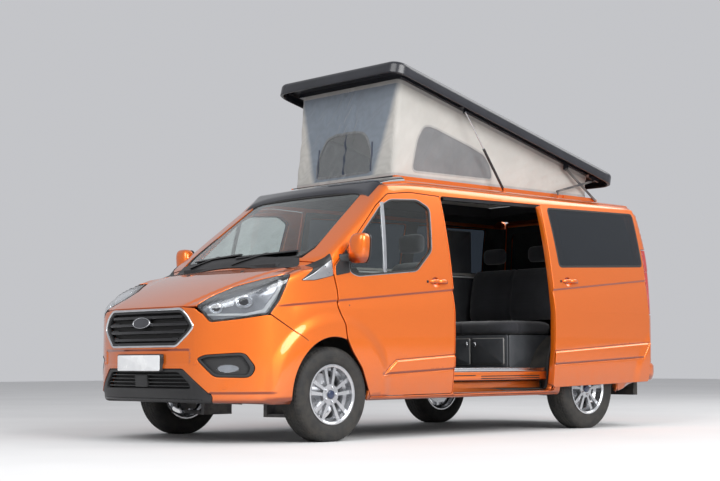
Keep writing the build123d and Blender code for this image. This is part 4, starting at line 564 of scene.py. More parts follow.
def build(name, points, faces, material, normals=None):
    """A mesh from whole arrays, smooth shaded, with its own normals where they are given."""
    mesh = bpy.data.meshes.new(name)
    mesh.from_pydata(np.asarray(points).tolist(), [], [list(map(int, f)) for f in faces])
    mesh.polygons.foreach_set("use_smooth", np.ones(len(mesh.polygons), bool))
    if normals is not None:
        mesh.normals_split_custom_set_from_vertices(unit(np.asarray(normals)).tolist())
    obj = bpy.data.objects.new(name, mesh)
    bpy.context.scene.collection.objects.link(obj)
    obj.data.materials.append(material)
    return obj


def settle(obj, body, slot, *nodes):
    """The piece rides on its body and stands for the CAD nodes that are named; slot is not used."""
    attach(obj, body)
    if nodes:
        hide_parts(*nodes)
    return obj


def sheet_mesh(loops, domain, hand, step, thick, inset, skew, moved, edge, detail):
    """A closed sheet of the body's surface: front and back faces joined round each loop by a rounded edge."""
    loops = [resample(loop, step * 0.6) for loop in loops]
    signs = [1] + [-1] * (len(loops) - 1)
    rings = [loop - sign * edge * outward(loop) for loop, sign in zip(loops, signs)]
    flat, faces, ring_ids = triangulate(rings, step, skew, detail)
    front, normals = lift(flat, domain, hand, inset)
    across = front[faces[:, 1]] - front[faces[:, 0]], front[faces[:, 2]] - front[faces[:, 0]]
    facing = np.einsum("ij,ij->i", np.cross(*across), normals[faces[:, 0]])
    faces = np.where((facing < 0)[:, None], faces[:, ::-1], faces)
    count = len(front)
    points = [front, front - normals * thick]
    vectors = [normals, -normals]
    tris = [faces, faces[:, ::-1] + count]
    quads, first = [], 2 * count
    for loop, ids, ring in zip(loops, ring_ids, rings):
        edge_points, edge_normals = lift(loop, domain, hand, inset)
        out = unit(edge_points - lift(ring, domain, hand, inset)[0])
        size = len(loop)
        points += [edge_points - edge_normals * edge * 0.5, edge_points - edge_normals * thick]
        vectors += [edge_normals * 0.35 + out, out]
        upper, lower = first + np.arange(size), first + size + np.arange(size)
        rows = [ids, upper, lower, ids + count]
        for a, b in zip(rows, rows[1:]):
            quads.append(np.stack([a, b, np.roll(b, -1), np.roll(a, -1)], 1))
        first += 2 * size
    points, vectors = np.concatenate(points), np.concatenate(vectors)
    quads = np.concatenate(quads)
    across = points[quads[:, 1]] - points[quads[:, 0]], points[quads[:, 3]] - points[quads[:, 0]]
    facing = np.einsum("ij,ij->i", np.cross(*across), vectors[quads[:, 1]])
    quads = np.where((facing < 0)[:, None], quads[:, ::-1], quads)
    if moved is not None:
        points = points + moved
    return points, [*np.concatenate(tris).tolist(), *quads.tolist()], vectors


def panel(name, outline, look, body="body", slot=None, holes=(), nodes=(), domain="side", hand=1, step=0.026,
          thick=0.010, inset=0.0, skew=0.0, moved=None, edge=EDGE, detail=None):
    """One pressed panel or pane cut from the body's surface by outlines in one frame; its look names its material."""
    loops = region(outline, *holes)
    points, faces, vectors = sheet_mesh(loops, domain, hand, step, thick, inset, skew, moved, edge, detail)
    return settle(build(name, points, faces, finish(look), vectors), body, slot or SLOTS[look], *nodes)


def shader(name):
    """A fresh node material: the material, its tree and its Principled node."""
    material = bpy.data.materials.new(name)
    material.use_nodes = True
    tree = material.node_tree
    return material, tree, tree.nodes["Principled BSDF"]


def connect(tree, made, inputs):
    """A node's inputs, by name or number, linked to sockets or set to values."""
    for socket, value in inputs.items():
        if isinstance(value, bpy.types.NodeSocket):
            tree.links.new(value, made.inputs[socket])
        else:
            made.inputs[socket].default_value = value


def node(tree, kind, inputs=(), output=0, **settings):
    """One output of a new shader node with its settings and inputs."""
    made = tree.nodes.new(f"ShaderNode{kind}")
    for setting, value in settings.items():
        setattr(made, setting, value)
    connect(tree, made, dict(inputs))
    return made.outputs[output]


def calculate(tree, operation, *values):
    """One mathematical operation on sockets and numbers."""
    return node(tree, "Math", enumerate(values), operation=operation)


def mixed(tree, factor, first, second, blend="MIX"):
    """Two colours mixed, or blended in another way, as far as the factor says."""
    return node(tree, "Mix", {"Factor": factor, 6: first, 7: second}, 2, data_type="RGBA", blend_type=blend)


def split(tree, vector):
    """A vector's X, Y and Z as three sockets."""
    return node(tree, "SeparateXYZ", {0: vector}).node.outputs


def coordinates(tree, scale=(1, 1, 1)):
    """Object coordinates, stretched by scale."""
    where = node(tree, "TexCoord", output="Object")
    return node(tree, "Mapping", {"Vector": where, "Scale": scale})


def noise(tree, vector, scale, detail=3.0):
    """Fractal noise on a vector."""
    return node(tree, "TexNoise", {"Vector": vector, "Scale": scale, "Detail": detail, "Roughness": 0.55}, "Fac")


def ramp(tree, factor, low, high, start=0.35, end=0.65):
    """Two colours blended by a factor between start and end."""
    colour = node(tree, "ValToRGB", {"Fac": factor}, "Color")
    first, last = colour.node.color_ramp.elements
    first.position, last.position = start, end
    first.color, last.color = (*low, 1), (*high, 1)
    return colour


def bump(tree, principled, height, strength, distance, socket="Normal"):
    """A bump from a height, for the Principled node's Normal or another of its sockets."""
    inputs = {"Strength": strength, "Distance": distance, "Height": height}
    connect(tree, principled, {socket: node(tree, "Bump", inputs, "Normal")})


def scalar(tree, factor, low, high, start=0.0, end=1.0):
    """A factor between start and end carried to between two values."""
    inputs = {"Value": factor, "From Min": start, "From Max": end, "To Min": low, "To Max": high}
    return node(tree, "MapRange", inputs, "Result")


def surface(name, low, high, roughness, metallic=0.0, grain=6.0, fine=260.0, depth=0.0006, strength=0.25, coat=0.0,
            stretch=(1, 1, 1)):
    """Two shades mottled at one scale, roughness varied with them, and a fine grain in relief."""
    material, tree, principled = shader(name)
    vector = coordinates(tree, stretch)
    mottle = noise(tree, vector, grain)
    connect(tree, principled, {
        "Base Color": ramp(tree, mottle, low, high), "Roughness": scalar(tree, mottle, *roughness),
        "Metallic": metallic, "Coat Weight": coat, "Coat Roughness": 0.03,
    })
    bump(tree, principled, noise(tree, vector, fine, 2.0), strength, depth)
    return material


def metallic_paint():
    """Orange flake paint: warm base, tiny flakes that turn the light under a clear coat, dust near the sills.

    Faces that look down are darkened and browned, a painted shade; the dust is a noise that fades out with height."""
    material, tree, principled = shader("Orange_paint")
    paint = tuple(bpy.context.scene.van_colours.paint)
    vector = coordinates(tree)
    flakes = node(tree, "TexVoronoi", {"Vector": vector, "Scale": 2600}, "Color")
    facing = node(tree, "LayerWeight", {"Blend": 0.42}, "Facing")
    warm = ramp(tree, facing, paint, tuple(0.55 * part for part in paint), 0.05, 0.95)
    tint = mixed(tree, 0.12, warm, flakes, "MULTIPLY")
    # Painted shade: faces that look down are darkened and browned by the height of their normal
    upward = split(tree, node(tree, "NewGeometry", output="Normal"))["Z"]
    under = ramp(tree, scalar(tree, upward, 0.0, 1.0, -0.40, -0.04), (0.38, 0.26, 0.20), (1, 1, 1), 0.0, 1.0)
    low_down = scalar(tree, split(tree, vector)["Z"], 0.0, 0.32, 0.62, 0.26)
    dust = calculate(tree, "MULTIPLY", low_down, noise(tree, vector, 9.0, 5.0))
    connect(tree, principled, {
        "Base Color": mixed(tree, dust, mixed(tree, 1.0, tint, under, "MULTIPLY"), (0.30, 0.24, 0.18, 1)),
        "Metallic": 0.62, "Roughness": scalar(tree, dust, 0.30, 0.75), "Coat Weight": 1.0, "Coat Roughness": 0.035,
    })
    bump(tree, principled, flakes.node.outputs["Distance"], 0.10, 0.0002)
    bump(tree, principled, noise(tree, vector, 3.2, 1.0), 0.02, 0.004, "Coat Normal")
    return material


def lined(material):
    """The same material with dark lining on every face that looks down or lies within the roof's opening."""
    tree = material.node_tree
    facing = split(tree, node(tree, "NewGeometry", output="True Normal"))["Z"]
    place = split(tree, node(tree, "TexCoord", output="Object"))
    across = calculate(tree, "ABSOLUTE", place["Y"])
    down, middle, low, flat = (
        calculate(tree, "LESS_THAN", value, limit)
        for value, limit in ((facing, -0.2), (across, 0.60), (place["Z"], 1.93), (facing, 0.5))
    )
    within = calculate(tree, "MULTIPLY", flat, middle)
    within = calculate(tree, "MAXIMUM", calculate(tree, "MAXIMUM", within, down), low)
    inner = node(tree, "BsdfPrincipled", {"Base Color": (0.030, 0.030, 0.032, 1), "Roughness": 0.85})
    principled = tree.nodes["Principled BSDF"].outputs[0]
    either = node(tree, "MixShader", {0: within, 1: principled, 2: inner})
    connect(tree, tree.nodes["Material Output"], {"Surface": either})
    return material


def glass_shader(name, tint, amount, roughness=0.01):
    """Glass: tinted, with faint waviness; amount is how much passes through."""
    material, tree, principled = shader(name)
    vector = coordinates(tree)
    haze = noise(tree, vector, 5.0)
    connect(tree, principled, {
        "Base Color": ramp(tree, haze, tint, tuple(0.92 * part for part in tint)),
        "Roughness": scalar(tree, haze, roughness, roughness + 0.012), "Transmission Weight": amount, "IOR": 1.45,
    })
    bump(tree, principled, noise(tree, vector, 2.2, 0.0), 0.02, 0.002)
    return material


def cloth_shader(name, low, high, threads=900.0, see_through=0.0, shaded=False):
    """Woven cloth: two crossed sets of threads in relief and tint, creased blotches, soft sheen.

    Shaded paints shade on the middle of the tent's front wall: a blue-grey painted shadow with a painted reflection of
    blue sky, between two lines that lean out to its top corners."""
    material, tree, principled = shader(name)
    vector = coordinates(tree)
    threads_across = [
        node(tree, "TexWave", {"Vector": vector, "Scale": threads / 20.0, "Distortion": 0.6, "Detail": 1.0}, "Fac",
             bands_direction=direction)
        for direction in ("X", "Z")
    ]
    weave = calculate(tree, "MULTIPLY", *threads_across)
    blotch = ramp(tree, noise(tree, vector, 4.5, 4.0), low, high, 0.30, 0.70)
    colour = mixed(tree, 0.25, blotch, ramp(tree, weave, (0.55, 0.55, 0.55), (1, 1, 1), 0.0, 0.6), "MULTIPLY")
    if shaded:
        # Painted shade: the front wall's middle is multiplied by a blue-grey for shadow and reflected blue sky
        place = split(tree, vector)
        lean = calculate(tree, "MULTIPLY_ADD", place["Z"], -0.30, calculate(tree, "ABSOLUTE", place["Y"]))
        ahead = calculate(tree, "MULTIPLY_ADD", place["Z"], TENT_LEAN, place["X"])
        middle = scalar(tree, lean, 1.0, 0.0, -0.285, -0.225)
        painted_front_shade = calculate(tree, "MULTIPLY", middle, scalar(tree, ahead, 0.0, 1.0, 0.662, 0.684))
        colour = mixed(tree, painted_front_shade, colour, (0.36, 0.44, 0.56, 1), "MULTIPLY")
    connect(tree, principled, {"Base Color": colour, "Roughness": 0.85, "Sheen Weight": 0.35})
    if see_through:
        connect(tree, principled, {"Alpha": scalar(tree, weave, 1.0 - 2 * see_through, 1.0)})
    bump(tree, principled, weave, 0.5, 0.0006)
    return material


FINISHES = {}


def finish(name):
    """The shared material of that name, made when first asked for."""
    if name not in FINISHES:
        FINISHES[name] = MAKERS[name]()
    return FINISHES[name]


MAKERS = {
    "paint": metallic_paint,
    "gloss": lambda: surface(
        "Gloss_black", (0.006, 0.007, 0.012), (0.009, 0.010, 0.017), (0.05, 0.09), coat=1.0, fine=3.0, depth=0.002,
        strength=0.02),
    "lid": lambda: surface(
        "Lid_gelcoat", (0.009, 0.010, 0.014), (0.014, 0.015, 0.021), (0.26, 0.36), coat=0.25, fine=260, depth=0.0004,
        strength=0.06),
    "roof": lambda: lined(metallic_paint()),
    "plastic": lambda: surface(
        "Black_plastic", (0.012, 0.012, 0.013), (0.022, 0.022, 0.023), (0.38, 0.55), fine=900, depth=0.0004,
        strength=0.4),
    "satin": lambda: surface(
        "Satin_black", (0.010, 0.010, 0.011), (0.016, 0.016, 0.018), (0.20, 0.30), fine=500, depth=0.0002,
        strength=0.2),
    "rubber": lambda: surface(
        "Black_rubber", (0.010, 0.010, 0.010), (0.020, 0.019, 0.018), (0.60, 0.80), fine=600, depth=0.0004,
        strength=0.4),
    "tread": lambda: surface(
        "Tyre_rubber", (0.013, 0.013, 0.013), (0.034, 0.031, 0.027), (0.62, 0.88), grain=14, fine=420, depth=0.0008,
        strength=0.5),
    "chrome": lambda: surface(
        "Chrome", (0.62, 0.63, 0.65), (0.74, 0.75, 0.77), (0.04, 0.09), metallic=1.0, fine=40, strength=0.03),
    "alloy": lambda: surface(
        "Silver_alloy", (0.50, 0.51, 0.53), (0.62, 0.63, 0.65), (0.22, 0.30), metallic=0.85, coat=0.7, fine=1400,
        depth=0.0002, strength=0.2),
    "steel": lambda: surface(
        "Dull_steel", (0.10, 0.10, 0.105), (0.22, 0.21, 0.20), (0.42, 0.65), metallic=0.8, grain=12, fine=240,
        depth=0.001, strength=0.4),
    "bright": lambda: surface(
        "Brushed_metal", (0.52, 0.53, 0.55), (0.66, 0.67, 0.69), (0.18, 0.34), metallic=1.0, stretch=(0.05, 1, 1),
        fine=900, depth=0.0003, strength=0.35),
    "white": lambda: surface(
        "White_plastic", (0.72, 0.73, 0.74), (0.82, 0.83, 0.83), (0.22, 0.32), fine=300, depth=0.0002, strength=0.1),
    "silver": lambda: surface(
        "Silver_paint", (0.30, 0.31, 0.33), (0.38, 0.39, 0.41), (0.25, 0.32), metallic=0.7, coat=0.8, fine=1500,
        depth=0.0002, strength=0.15),
    "board": lambda: surface(
        "Grey_laminate", (0.060, 0.064, 0.070), (0.082, 0.086, 0.092), (0.30, 0.42), fine=700, depth=0.0002,
        strength=0.2),
    "pale_board": lambda: surface(
        "Pale_laminate", (0.34, 0.33, 0.31), (0.42, 0.41, 0.385), (0.35, 0.45), grain=30, stretch=(0.2, 1, 1), fine=500,
        depth=0.0002, strength=0.2),
    "lining": lambda: surface(
        "Dark_lining", (0.022, 0.022, 0.024), (0.040, 0.040, 0.042), (0.75, 0.9), fine=1100, depth=0.0006,
        strength=0.5),
    "red": lambda: surface(
        "Red_lens", (0.30, 0.006, 0.005), (0.42, 0.012, 0.010), (0.05, 0.10), coat=1.0, fine=60, depth=0.001,
        strength=0.2),
    "underseal": lambda: surface(
        "Underseal", (0.012, 0.012, 0.012), (0.045, 0.040, 0.034), (0.55, 0.85), grain=8, fine=160, depth=0.002,
        strength=0.5),
    "clear": lambda: glass_shader("Clear_glass", (0.80, 0.87, 0.85), 1.0),
    "lens": lambda: glass_shader("Lamp_lens", (0.93, 0.95, 0.97), 1.0),
    "dark": lambda: glass_shader("Privacy_glass", (0.055, 0.070, 0.090), 0.85),
    "tent": lambda: cloth_shader(
        "Tent_cloth", tuple(0.9 * part for part in bpy.context.scene.van_colours.canvas),
        tuple(bpy.context.scene.van_colours.canvas), shaded=True),
    "tent_hem": lambda: cloth_shader("Tent_hem", (0.30, 0.295, 0.285), (0.38, 0.372, 0.355)),
    "webbing": lambda: cloth_shader("Dark_webbing", (0.020, 0.030, 0.055), (0.035, 0.045, 0.075), threads=1200),
    "mesh": lambda: cloth_shader(
        "Mesh_window", (0.16, 0.165, 0.17), (0.21, 0.215, 0.22), threads=1500, see_through=0.12),
    "vinyl": lambda: glass_shader("Tent_window", (0.72, 0.75, 0.76), 0.9, 0.08),
    "cap": lambda: surface(
        "Blank_cap", (0.012, 0.022, 0.060), (0.016, 0.028, 0.074), (0.12, 0.18), coat=0.8, fine=300, depth=0.0002,
        strength=0.05),
    "seat": lambda: cloth_shader("Dark_upholstery", (0.014, 0.015, 0.019), (0.030, 0.031, 0.038), threads=1400),
}
SLOTS = {
    "paint": "paint", "gloss": "black_paint", "chrome": "chrome", "clear": "clear_glass", "dark": "dark_glass",
    "lens": "lamp", "red": "red_lamp", "lid": "black_paint", "tread": "tyre", "cap": "alloy", "bright": "bright_metal",
    **dict.fromkeys(("lining", "board", "pale_board"), "board"),
    **dict.fromkeys(("rubber", "plastic", "satin", "silver", "white"), "trim"),
    **dict.fromkeys(("tent", "tent_hem", "mesh", "vinyl", "webbing"), "cloth"),
}

WINDOW_FRONT = [
    (1.290, 1.357), (1.290, 1.224), (1.222, 1.200), (0.606, 1.261), (0.420, 1.423), (0.370, 1.753), (0.485, 1.809),
    (0.780, 1.790), (0.900, 1.730),
]
DOOR_FRONT = [
    (1.452, 1.186), (1.430, 1.083), (1.424, 0.956), (1.370, 0.837), (1.353, 0.729), (1.300, 0.640), (1.200, 0.520),
    (1.112, 0.335), (1.100, 0.316), (0.221, 0.324), (0.221, 1.860), (0.560, 1.868), (0.800, 1.838), (0.940, 1.738),
    (1.300, 1.392), (1.440, 1.262),
]
SLIDING_OUTLINE = [(0.209, 0.322), (0.209, 1.850), (-1.079, 1.884), (-1.079, 0.356)]
SLIDING_WINDOW = [(0.098, 1.322), (0.128, 1.812), (-1.046, 1.836), (-1.050, 1.372)]
REAR_WINDOW = [(-1.200, 1.392), (-1.200, 1.838), (-2.150, 1.852), (-2.200, 1.425)]
SIDE_OPENING = [
    (0.215, 0.315), (0.215, 1.866), (-1.085, 1.884), (-1.085, 0.820), (-1.010, 0.600), (-1.000, 0.325),
]
GRILLE = [
    (-0.395, 0.672), (0.395, 0.672), (0.500, 0.757), (0.552, 0.815), (0.497, 0.898), (0.425, 0.952), (-0.425, 0.952),
    (-0.497, 0.898), (-0.552, 0.815), (-0.500, 0.757),
]
INTAKE = [
    (-0.640, 0.266), (0.640, 0.266), (0.668, 0.318), (0.655, 0.352), (0.559, 0.437), (0.452, 0.524), (-0.452, 0.524),
    (-0.559, 0.437), (-0.655, 0.352), (-0.668, 0.318),
]
INTAKE_MOUTH = [(-0.520, 0.385), (0.520, 0.385), (0.500, 0.425), (0.410, 0.500), (-0.410, 0.500), (-0.500, 0.425)]
HEADLAMP = [
    (0.545, 0.966), (0.660, 0.845), (0.812, 0.866), (0.924, 0.899), (0.943, 0.998), (0.950, 1.093), (0.870, 1.193),
    (0.732, 1.153), (0.596, 1.100), (0.546, 1.033),
]
LAMP_DEPTH = [2.375, 2.346, 2.217, 2.027, 1.953, 1.906, 1.822, 1.945, 2.092, 2.246]
FOG = [(0.564, 0.589), (0.618, 0.618), (0.841, 0.634), (0.884, 0.531), (0.864, 0.459), (0.687, 0.463)]
TAILGATE = [(0.800, 0.560), (0.842, 1.150), (0.800, 1.500), (0.742, 1.925)]
TAILGATE_WINDOW = [(-0.715, 1.290), (0.715, 1.290), (0.640, 1.800), (-0.640, 1.800)]
SCREEN = [
    (-0.740, 1.415), (-0.690, 1.335), (0.690, 1.335), (0.740, 1.415), (0.672, 1.826), (0.600, 1.866), (-0.600, 1.866),
    (-0.672, 1.826),
]


def grown(outline, distance):
    """A left-turning outline moved out by distance, corner by corner along its bisectors."""
    loop = left_turning(outline)
    before, after = unit(loop - np.roll(loop, 1, 0)), unit(np.roll(loop, -1, 0) - loop)
    out = unit(np.stack([before[:, 1] + after[:, 1], -before[:, 0] - after[:, 0]], 1))
    lean = np.maximum(np.einsum("ij,ij->i", out, np.stack([after[:, 1], -after[:, 0]], 1)), 0.35)
    return loop + out * (distance / lean)[:, None]


def arch_edge(axle, half):
    """A wheel arch seen from the side: the upper half of an ellipse over the axle, with straight feet."""
    turn = np.linspace(math.pi, 0, 48)
    top = np.stack([axle[0] + half * np.cos(turn), axle[1] + (ARCH_TOP - axle[1]) * np.sin(turn)], 1)
    return np.concatenate([[(axle[0] - half, 0.10)], top, [(axle[0] + half, 0.10)]])


def side_panels():
    """Quarter panels, sills and pillars of both sides, from the windscreen's edges round to the tailgate."""
    lower = carried([(-2.30, 0.430), (-1.885, 0.430), (-1.845, 0.298), (1.118, 0.284)], "side", "round", False)
    front = carried([
        (1.118, 0.420), (1.240, 0.700), (1.400, 1.100), (1.458, 1.194), (1.560, 1.290), (1.640, 1.330),
    ], "side", "round", False)
    screen = carried([(0.716, 1.326), (0.746, 1.400), (0.634, 1.885), (0.620, 1.893)], "front", "round", False)
    top = carried([(0.860, 0.640), (0.700, 0.735), (0.550, 0.758), (-2.290, 0.758)], "top", "round", False)
    gate = carried([(0.748, 1.925), (0.806, 1.500), (0.848, 1.150), (0.806, 0.560), (0.806, 0.430)], "rear",
                   "round", False)
    outline = np.concatenate([lower, front, screen, top, gate])
    lamp = np.concatenate([
        carried([(-2.319, 0.974), (-2.319, 1.566)], "side", "round", False),
        carried([(0.80, 1.566), (0.80, 0.974)], "rear", "round", False),
    ])
    for name, hand in HANDS:
        middle = SIDE_OPENING if hand > 0 else SLIDING_WINDOW
        cuts = [arch_edge(REAR_AXLE, ARCH_HALF["rear"]), rounded(grown(DOOR_FRONT, 0.005), 0.020),
                rounded(REAR_WINDOW, 0.040), rounded(middle, 0.040)]
        holes = [carried(loop, "side", "round") for loop in cuts] + [lamp]
        panel(f"side_panel_{name}", outline, "paint", holes=holes, nodes=(f"side_{name}",), domain="round",
              hand=hand, step=0.028, thick=0.020, skew=-0.09,
              detail=(lambda flat: pressed_lines(flat, True), pressed_points(True)))


def roof_skin():
    """The painted roof round the tent's frame, with a drain line between it and each side panel."""
    outline = [(-2.372, -0.700), (-2.330, -0.752), (0.560, -0.752), (0.560, 0.752), (-2.330, 0.752),
               (-2.372, 0.700)]
    frame_edge = oblong(-2.010, -0.640, 0.700, 0.640)
    panel("roof_skin", rounded(outline, 0.02), "paint", holes=[frame_edge], domain="top", step=0.030, thick=0.006,
          inset=-0.0015, edge=0.002)


def lamp_loop(grow):
    """The headlamp's outline in the wrap's angle and height, moved out by grow metres."""
    y, z = np.array(HEADLAMP).T
    radial = np.hypot(y, np.array(LAMP_DEPTH) - WRAP_X)
    loop = np.stack([np.arctan2(y, np.array(LAMP_DEPTH) - WRAP_X), z], 1) * (radial.mean(), 1)
    return rounded(grown(loop, grow), 0.022) / (radial.mean(), 1)


def front_body():
    """Wings, front bumper and bonnet: panels that meet along the bonnet's edge, the lamps and the arches."""
    rear = [
        (1.648, 1.326), (1.566, 1.284), (1.464, 1.190), (1.442, 1.083), (1.436, 0.956), (1.382, 0.837), (1.364, 0.729),
        (1.364, 0.500), (1.760, 0.500), (1.724, 0.716), (1.862, 0.801), (2.020, 0.900),
    ]
    lamp = flatten(lift(lamp_loop(0.003), "wrap")[0], "shoulder")
    across = carried([(2.060, 0.800), (1.678, 0.800)], "top", "shoulder", False)
    outline = np.concatenate([carried(rear, "side", "shoulder", False), across])
    arch = carried(arch_edge(FRONT_AXLE, ARCH_HALF["front"])[1:-1], "side", "shoulder", False)
    arch = np.concatenate([arch, [(arch[-1, 0], arch[-1, 1] - 0.5), (arch[0, 0], arch[0, 1] - 0.5)]])
    crease = carried([(x, crease_line(x)) for x in (1.340, 1.600, 1.800, 1.960)], "side", "shoulder", False)
    crease = np.concatenate([crease, crease[::-1]])
    x = np.arange(1.345, 1.975, 0.009)
    rows = [np.stack([x, crease_line(x) + rise], 1) for rise in np.arange(-0.026, 0.020, 0.004)]
    rows = flatten(lift(np.concatenate(rows), "side")[0], "shoulder")
    detail = (lambda flat: loop_distance(flat, crease) - 0.012, rows)
    for name, hand in HANDS:
        nodes = ("wings",) if hand > 0 else ()
        panel(f"wing_{name}", outline, "paint", holes=[arch, lamp], nodes=nodes, domain="shoulder", hand=hand,
              step=0.014, thick=0.012, detail=detail)
    end = carried([(1.705, 0.272), (1.705, 0.704), (1.860, 0.795), (2.018, 0.892)], "side", "wrap", False)
    top = carried([(0.600, 0.905), (0.543, 0.944), (0.440, 0.954), (0.0, 0.954)], "front", "wrap", False)
    half = np.concatenate([[(0.0, 0.272)], end, top])
    outline = both_hands(half)
    arch = carried(arch_edge(FRONT_AXLE, ARCH_HALF["front"])[1:-1], "side", "wrap", False)
    arch = np.concatenate([arch, [(arch[-1, 0], 0.1), (arch[0, 0], 0.1)]])
    cuts = [carried(loop, "front", "wrap") for loop in (rounded(GRILLE, 0.03), rounded(INTAKE, 0.02))]
    fog = carried(rounded(FOG, 0.03), "front", "wrap")
    for loop in (fog, arch, lamp_loop(0.003)):
        cuts += [loop, loop * (-1, 1)]
    panel("bumper_front", outline, "paint", holes=cuts, nodes=("front_bumper",), domain="wrap", step=0.015,
          thick=0.012)
    half = np.concatenate([
        [(1.690, 0.794), (2.060, 0.794), (2.200, 0.700), (2.335, 0.560)],
        carried([(0.548, 0.960), (0.440, 0.960), (0.0, 0.960)], "front", "top", False),
    ])
    outline = both_hands(half, (1, -1))
    lamp = flatten(lift(lamp_loop(0.004), "wrap")[0], "top")
    panel("bonnet_skin", outline, "paint", "bonnet", holes=[lamp, lamp * (1, -1)], nodes=("bonnet",), domain="top",
          step=0.022, thick=0.014)


def pane(name, outline, body, look, cad_node, domain="side", hand=1, corner=0.035, moved=None, flush=0.0):
    """A window: its glass a little inside its opening, and a dark rubber frame round it."""
    rim = 0.012
    loop = rounded(outline, corner)
    panel(name, grown(loop, -0.001), look, body, nodes=(cad_node,) if cad_node else (), domain=domain, hand=hand,
          step=0.05, thick=0.005, inset=0.006 - flush, moved=moved, edge=0.001)
    panel(f"{name}_seal", grown(loop, rim), "rubber", body, holes=[grown(loop, -rim * 0.6)], domain=domain,
          hand=hand, step=0.030, thick=0.010, inset=-0.001, moved=moved, edge=0.004)


def glazing():
    """Windscreen with its printed band, side panes and the tailgate's pane."""
    screen = rounded(SCREEN, 0.060)
    panel("windscreen_pane", grown(screen, -0.002), "clear", nodes=("windscreen",), domain="front", step=0.05,
          thick=0.006, inset=0.007, edge=0.001)
    panel("windscreen_band", grown(screen, -0.003), "satin", holes=[grown(screen, -0.040)], domain="front",
          step=0.03, thick=0.002, inset=0.0145, edge=0.0006)
    panel("windscreen_seal", grown(screen, 0.006), "rubber", holes=[grown(screen, -0.008)], domain="front",
          step=0.03, thick=0.012, inset=0.001, edge=0.004)
    pane("door_left_pane", WINDOW_FRONT, "door_left", "clear", "door_left_glass")
    pane("door_right_pane", WINDOW_FRONT, "door_right", "clear", "door_right_glass", hand=-1)
    pane("quarter_left_pane", REAR_WINDOW, "body", "dark", "side_glass")
    pane("quarter_right_pane", REAR_WINDOW, "body", "dark", None, hand=-1)
    pane("middle_right_pane", SLIDING_WINDOW, "body", "dark", None, hand=-1)
    pane("sliding_pane", SLIDING_WINDOW, "body", "dark", "sliding_door_glass", moved=SLIDE, flush=0.005)
    pane("tailgate_pane", TAILGATE_WINDOW, "tailgate", "dark", "tailgate_glass", domain="rear", corner=0.05)


def doors():
    """Front doors and the open sliding door: painted skins, inner pressings set back, seals and cards."""
    skin, window = rounded(DOOR_FRONT, 0.022), rounded(WINDOW_FRONT, 0.035)
    bar = [(0.894, 1.771), (0.856, 1.774), (0.921, 1.231), (0.955, 1.228)]
    card = [
        (1.330, 1.180), (1.300, 0.800), (1.190, 0.620), (1.080, 0.420), (0.270, 0.420), (0.270, 1.235), (0.600, 1.225),
        (1.200, 1.175),
    ]
    for name, hand in HANDS:
        body = f"door_{name}"
        panel(f"{body}_skin", skin, "paint", body, holes=[window], nodes=(body,), hand=hand, step=0.024,
              thick=0.012, skew=-0.09, detail=(pressed_lines, pressed_points()))
        panel(f"{body}_pressing", grown(skin, -0.026), "paint", body, holes=[grown(window, 0.004)], hand=hand,
              step=0.05, thick=0.022, inset=0.019)
        panel(f"{body}_window_bar", bar, "silver", body, hand=hand, step=0.03, thick=0.010, inset=-0.0015,
              edge=0.003)
        panel(f"{body}_window_line", grown(window, 0.013), "silver", body, holes=[grown(window, 0.008)], hand=hand,
              step=0.03, thick=0.006, inset=-0.0025, edge=0.001)
        panel(f"{body}_card", rounded(card, 0.05), "plastic", body, hand=hand, step=0.05, thick=0.014, inset=0.041,
              edge=0.006)
    skin, window = rounded(SLIDING_OUTLINE, 0.030), rounded(SLIDING_WINDOW, 0.035)
    panel("sliding_skin", skin, "paint", holes=[window], nodes=("sliding_door",), step=0.024, thick=0.012,
          skew=-0.09, moved=SLIDE, detail=(pressed_lines, pressed_points()))
    panel("sliding_pressing", grown(skin, -0.026), "paint", holes=[grown(window, 0.004)], step=0.05, thick=0.024,
          inset=0.019, moved=SLIDE)
    panel("sliding_return", grown(skin, -0.010), "paint", holes=[grown(skin, -0.048)], step=0.03, thick=0.044,
          inset=0.019, moved=SLIDE, edge=0.004)
    panel("sliding_door_seal", grown(skin, -0.020), "rubber", holes=[grown(skin, -0.034)], step=0.03, thick=0.010,
          inset=0.0620, moved=SLIDE, edge=0.004)
    panel("sliding_card", rounded([(0.15, 0.42), (0.15, 1.24), (-1.03, 1.29), (-1.03, 0.45)], 0.05), "lining",
          step=0.05, thick=0.014, inset=0.043, moved=SLIDE, edge=0.006)


def bumper_swell(flat):
    """How far the rear bumper stands off the body: most across the back, with a rounded top and a drawn-in foot."""
    along, z = np.abs(flat[:, 0]), flat[:, 1]
    foot = np.interp(along, BUMPER_FOOT[0], BUMPER_FOOT[1])
    out = 0.005 + 0.043 * smooth((1.12 - along) / 0.70)
    high = 0.016 * np.clip((z - 0.520) / 0.025, 0, 1) ** 2
    low = 0.020 * np.clip((foot + 0.060 - z) / 0.060, 0, 1) ** 2
    return out - (high + low) * smooth((1.14 - along) / 0.10)


def bumper_surface(flat, inset=0.0):
    """The rear bumper's surface from one arch round the back to the other.

    The first coordinate is the round frame's, counted from the van's middle and signed; the point is the body's,
    moved out by the swell, and its normal is the cross product of two short steps along the surface."""
    def place(flat):
        points, normals = lift(np.stack([np.abs(flat[:, 0]) - BACK, flat[:, 1]], 1), "round")
        points = points + normals * (bumper_swell(flat) - inset)[:, None]
        return points * np.stack([np.ones(len(flat)), np.where(flat[:, 0] < 0, -1, 1), np.ones(len(flat))], 1)
    points = place(flat)
    along, up = place(flat + (0.002, 0)) - points, place(flat + (0, 0.002)) - points
    return points, unit(np.cross(up, along))


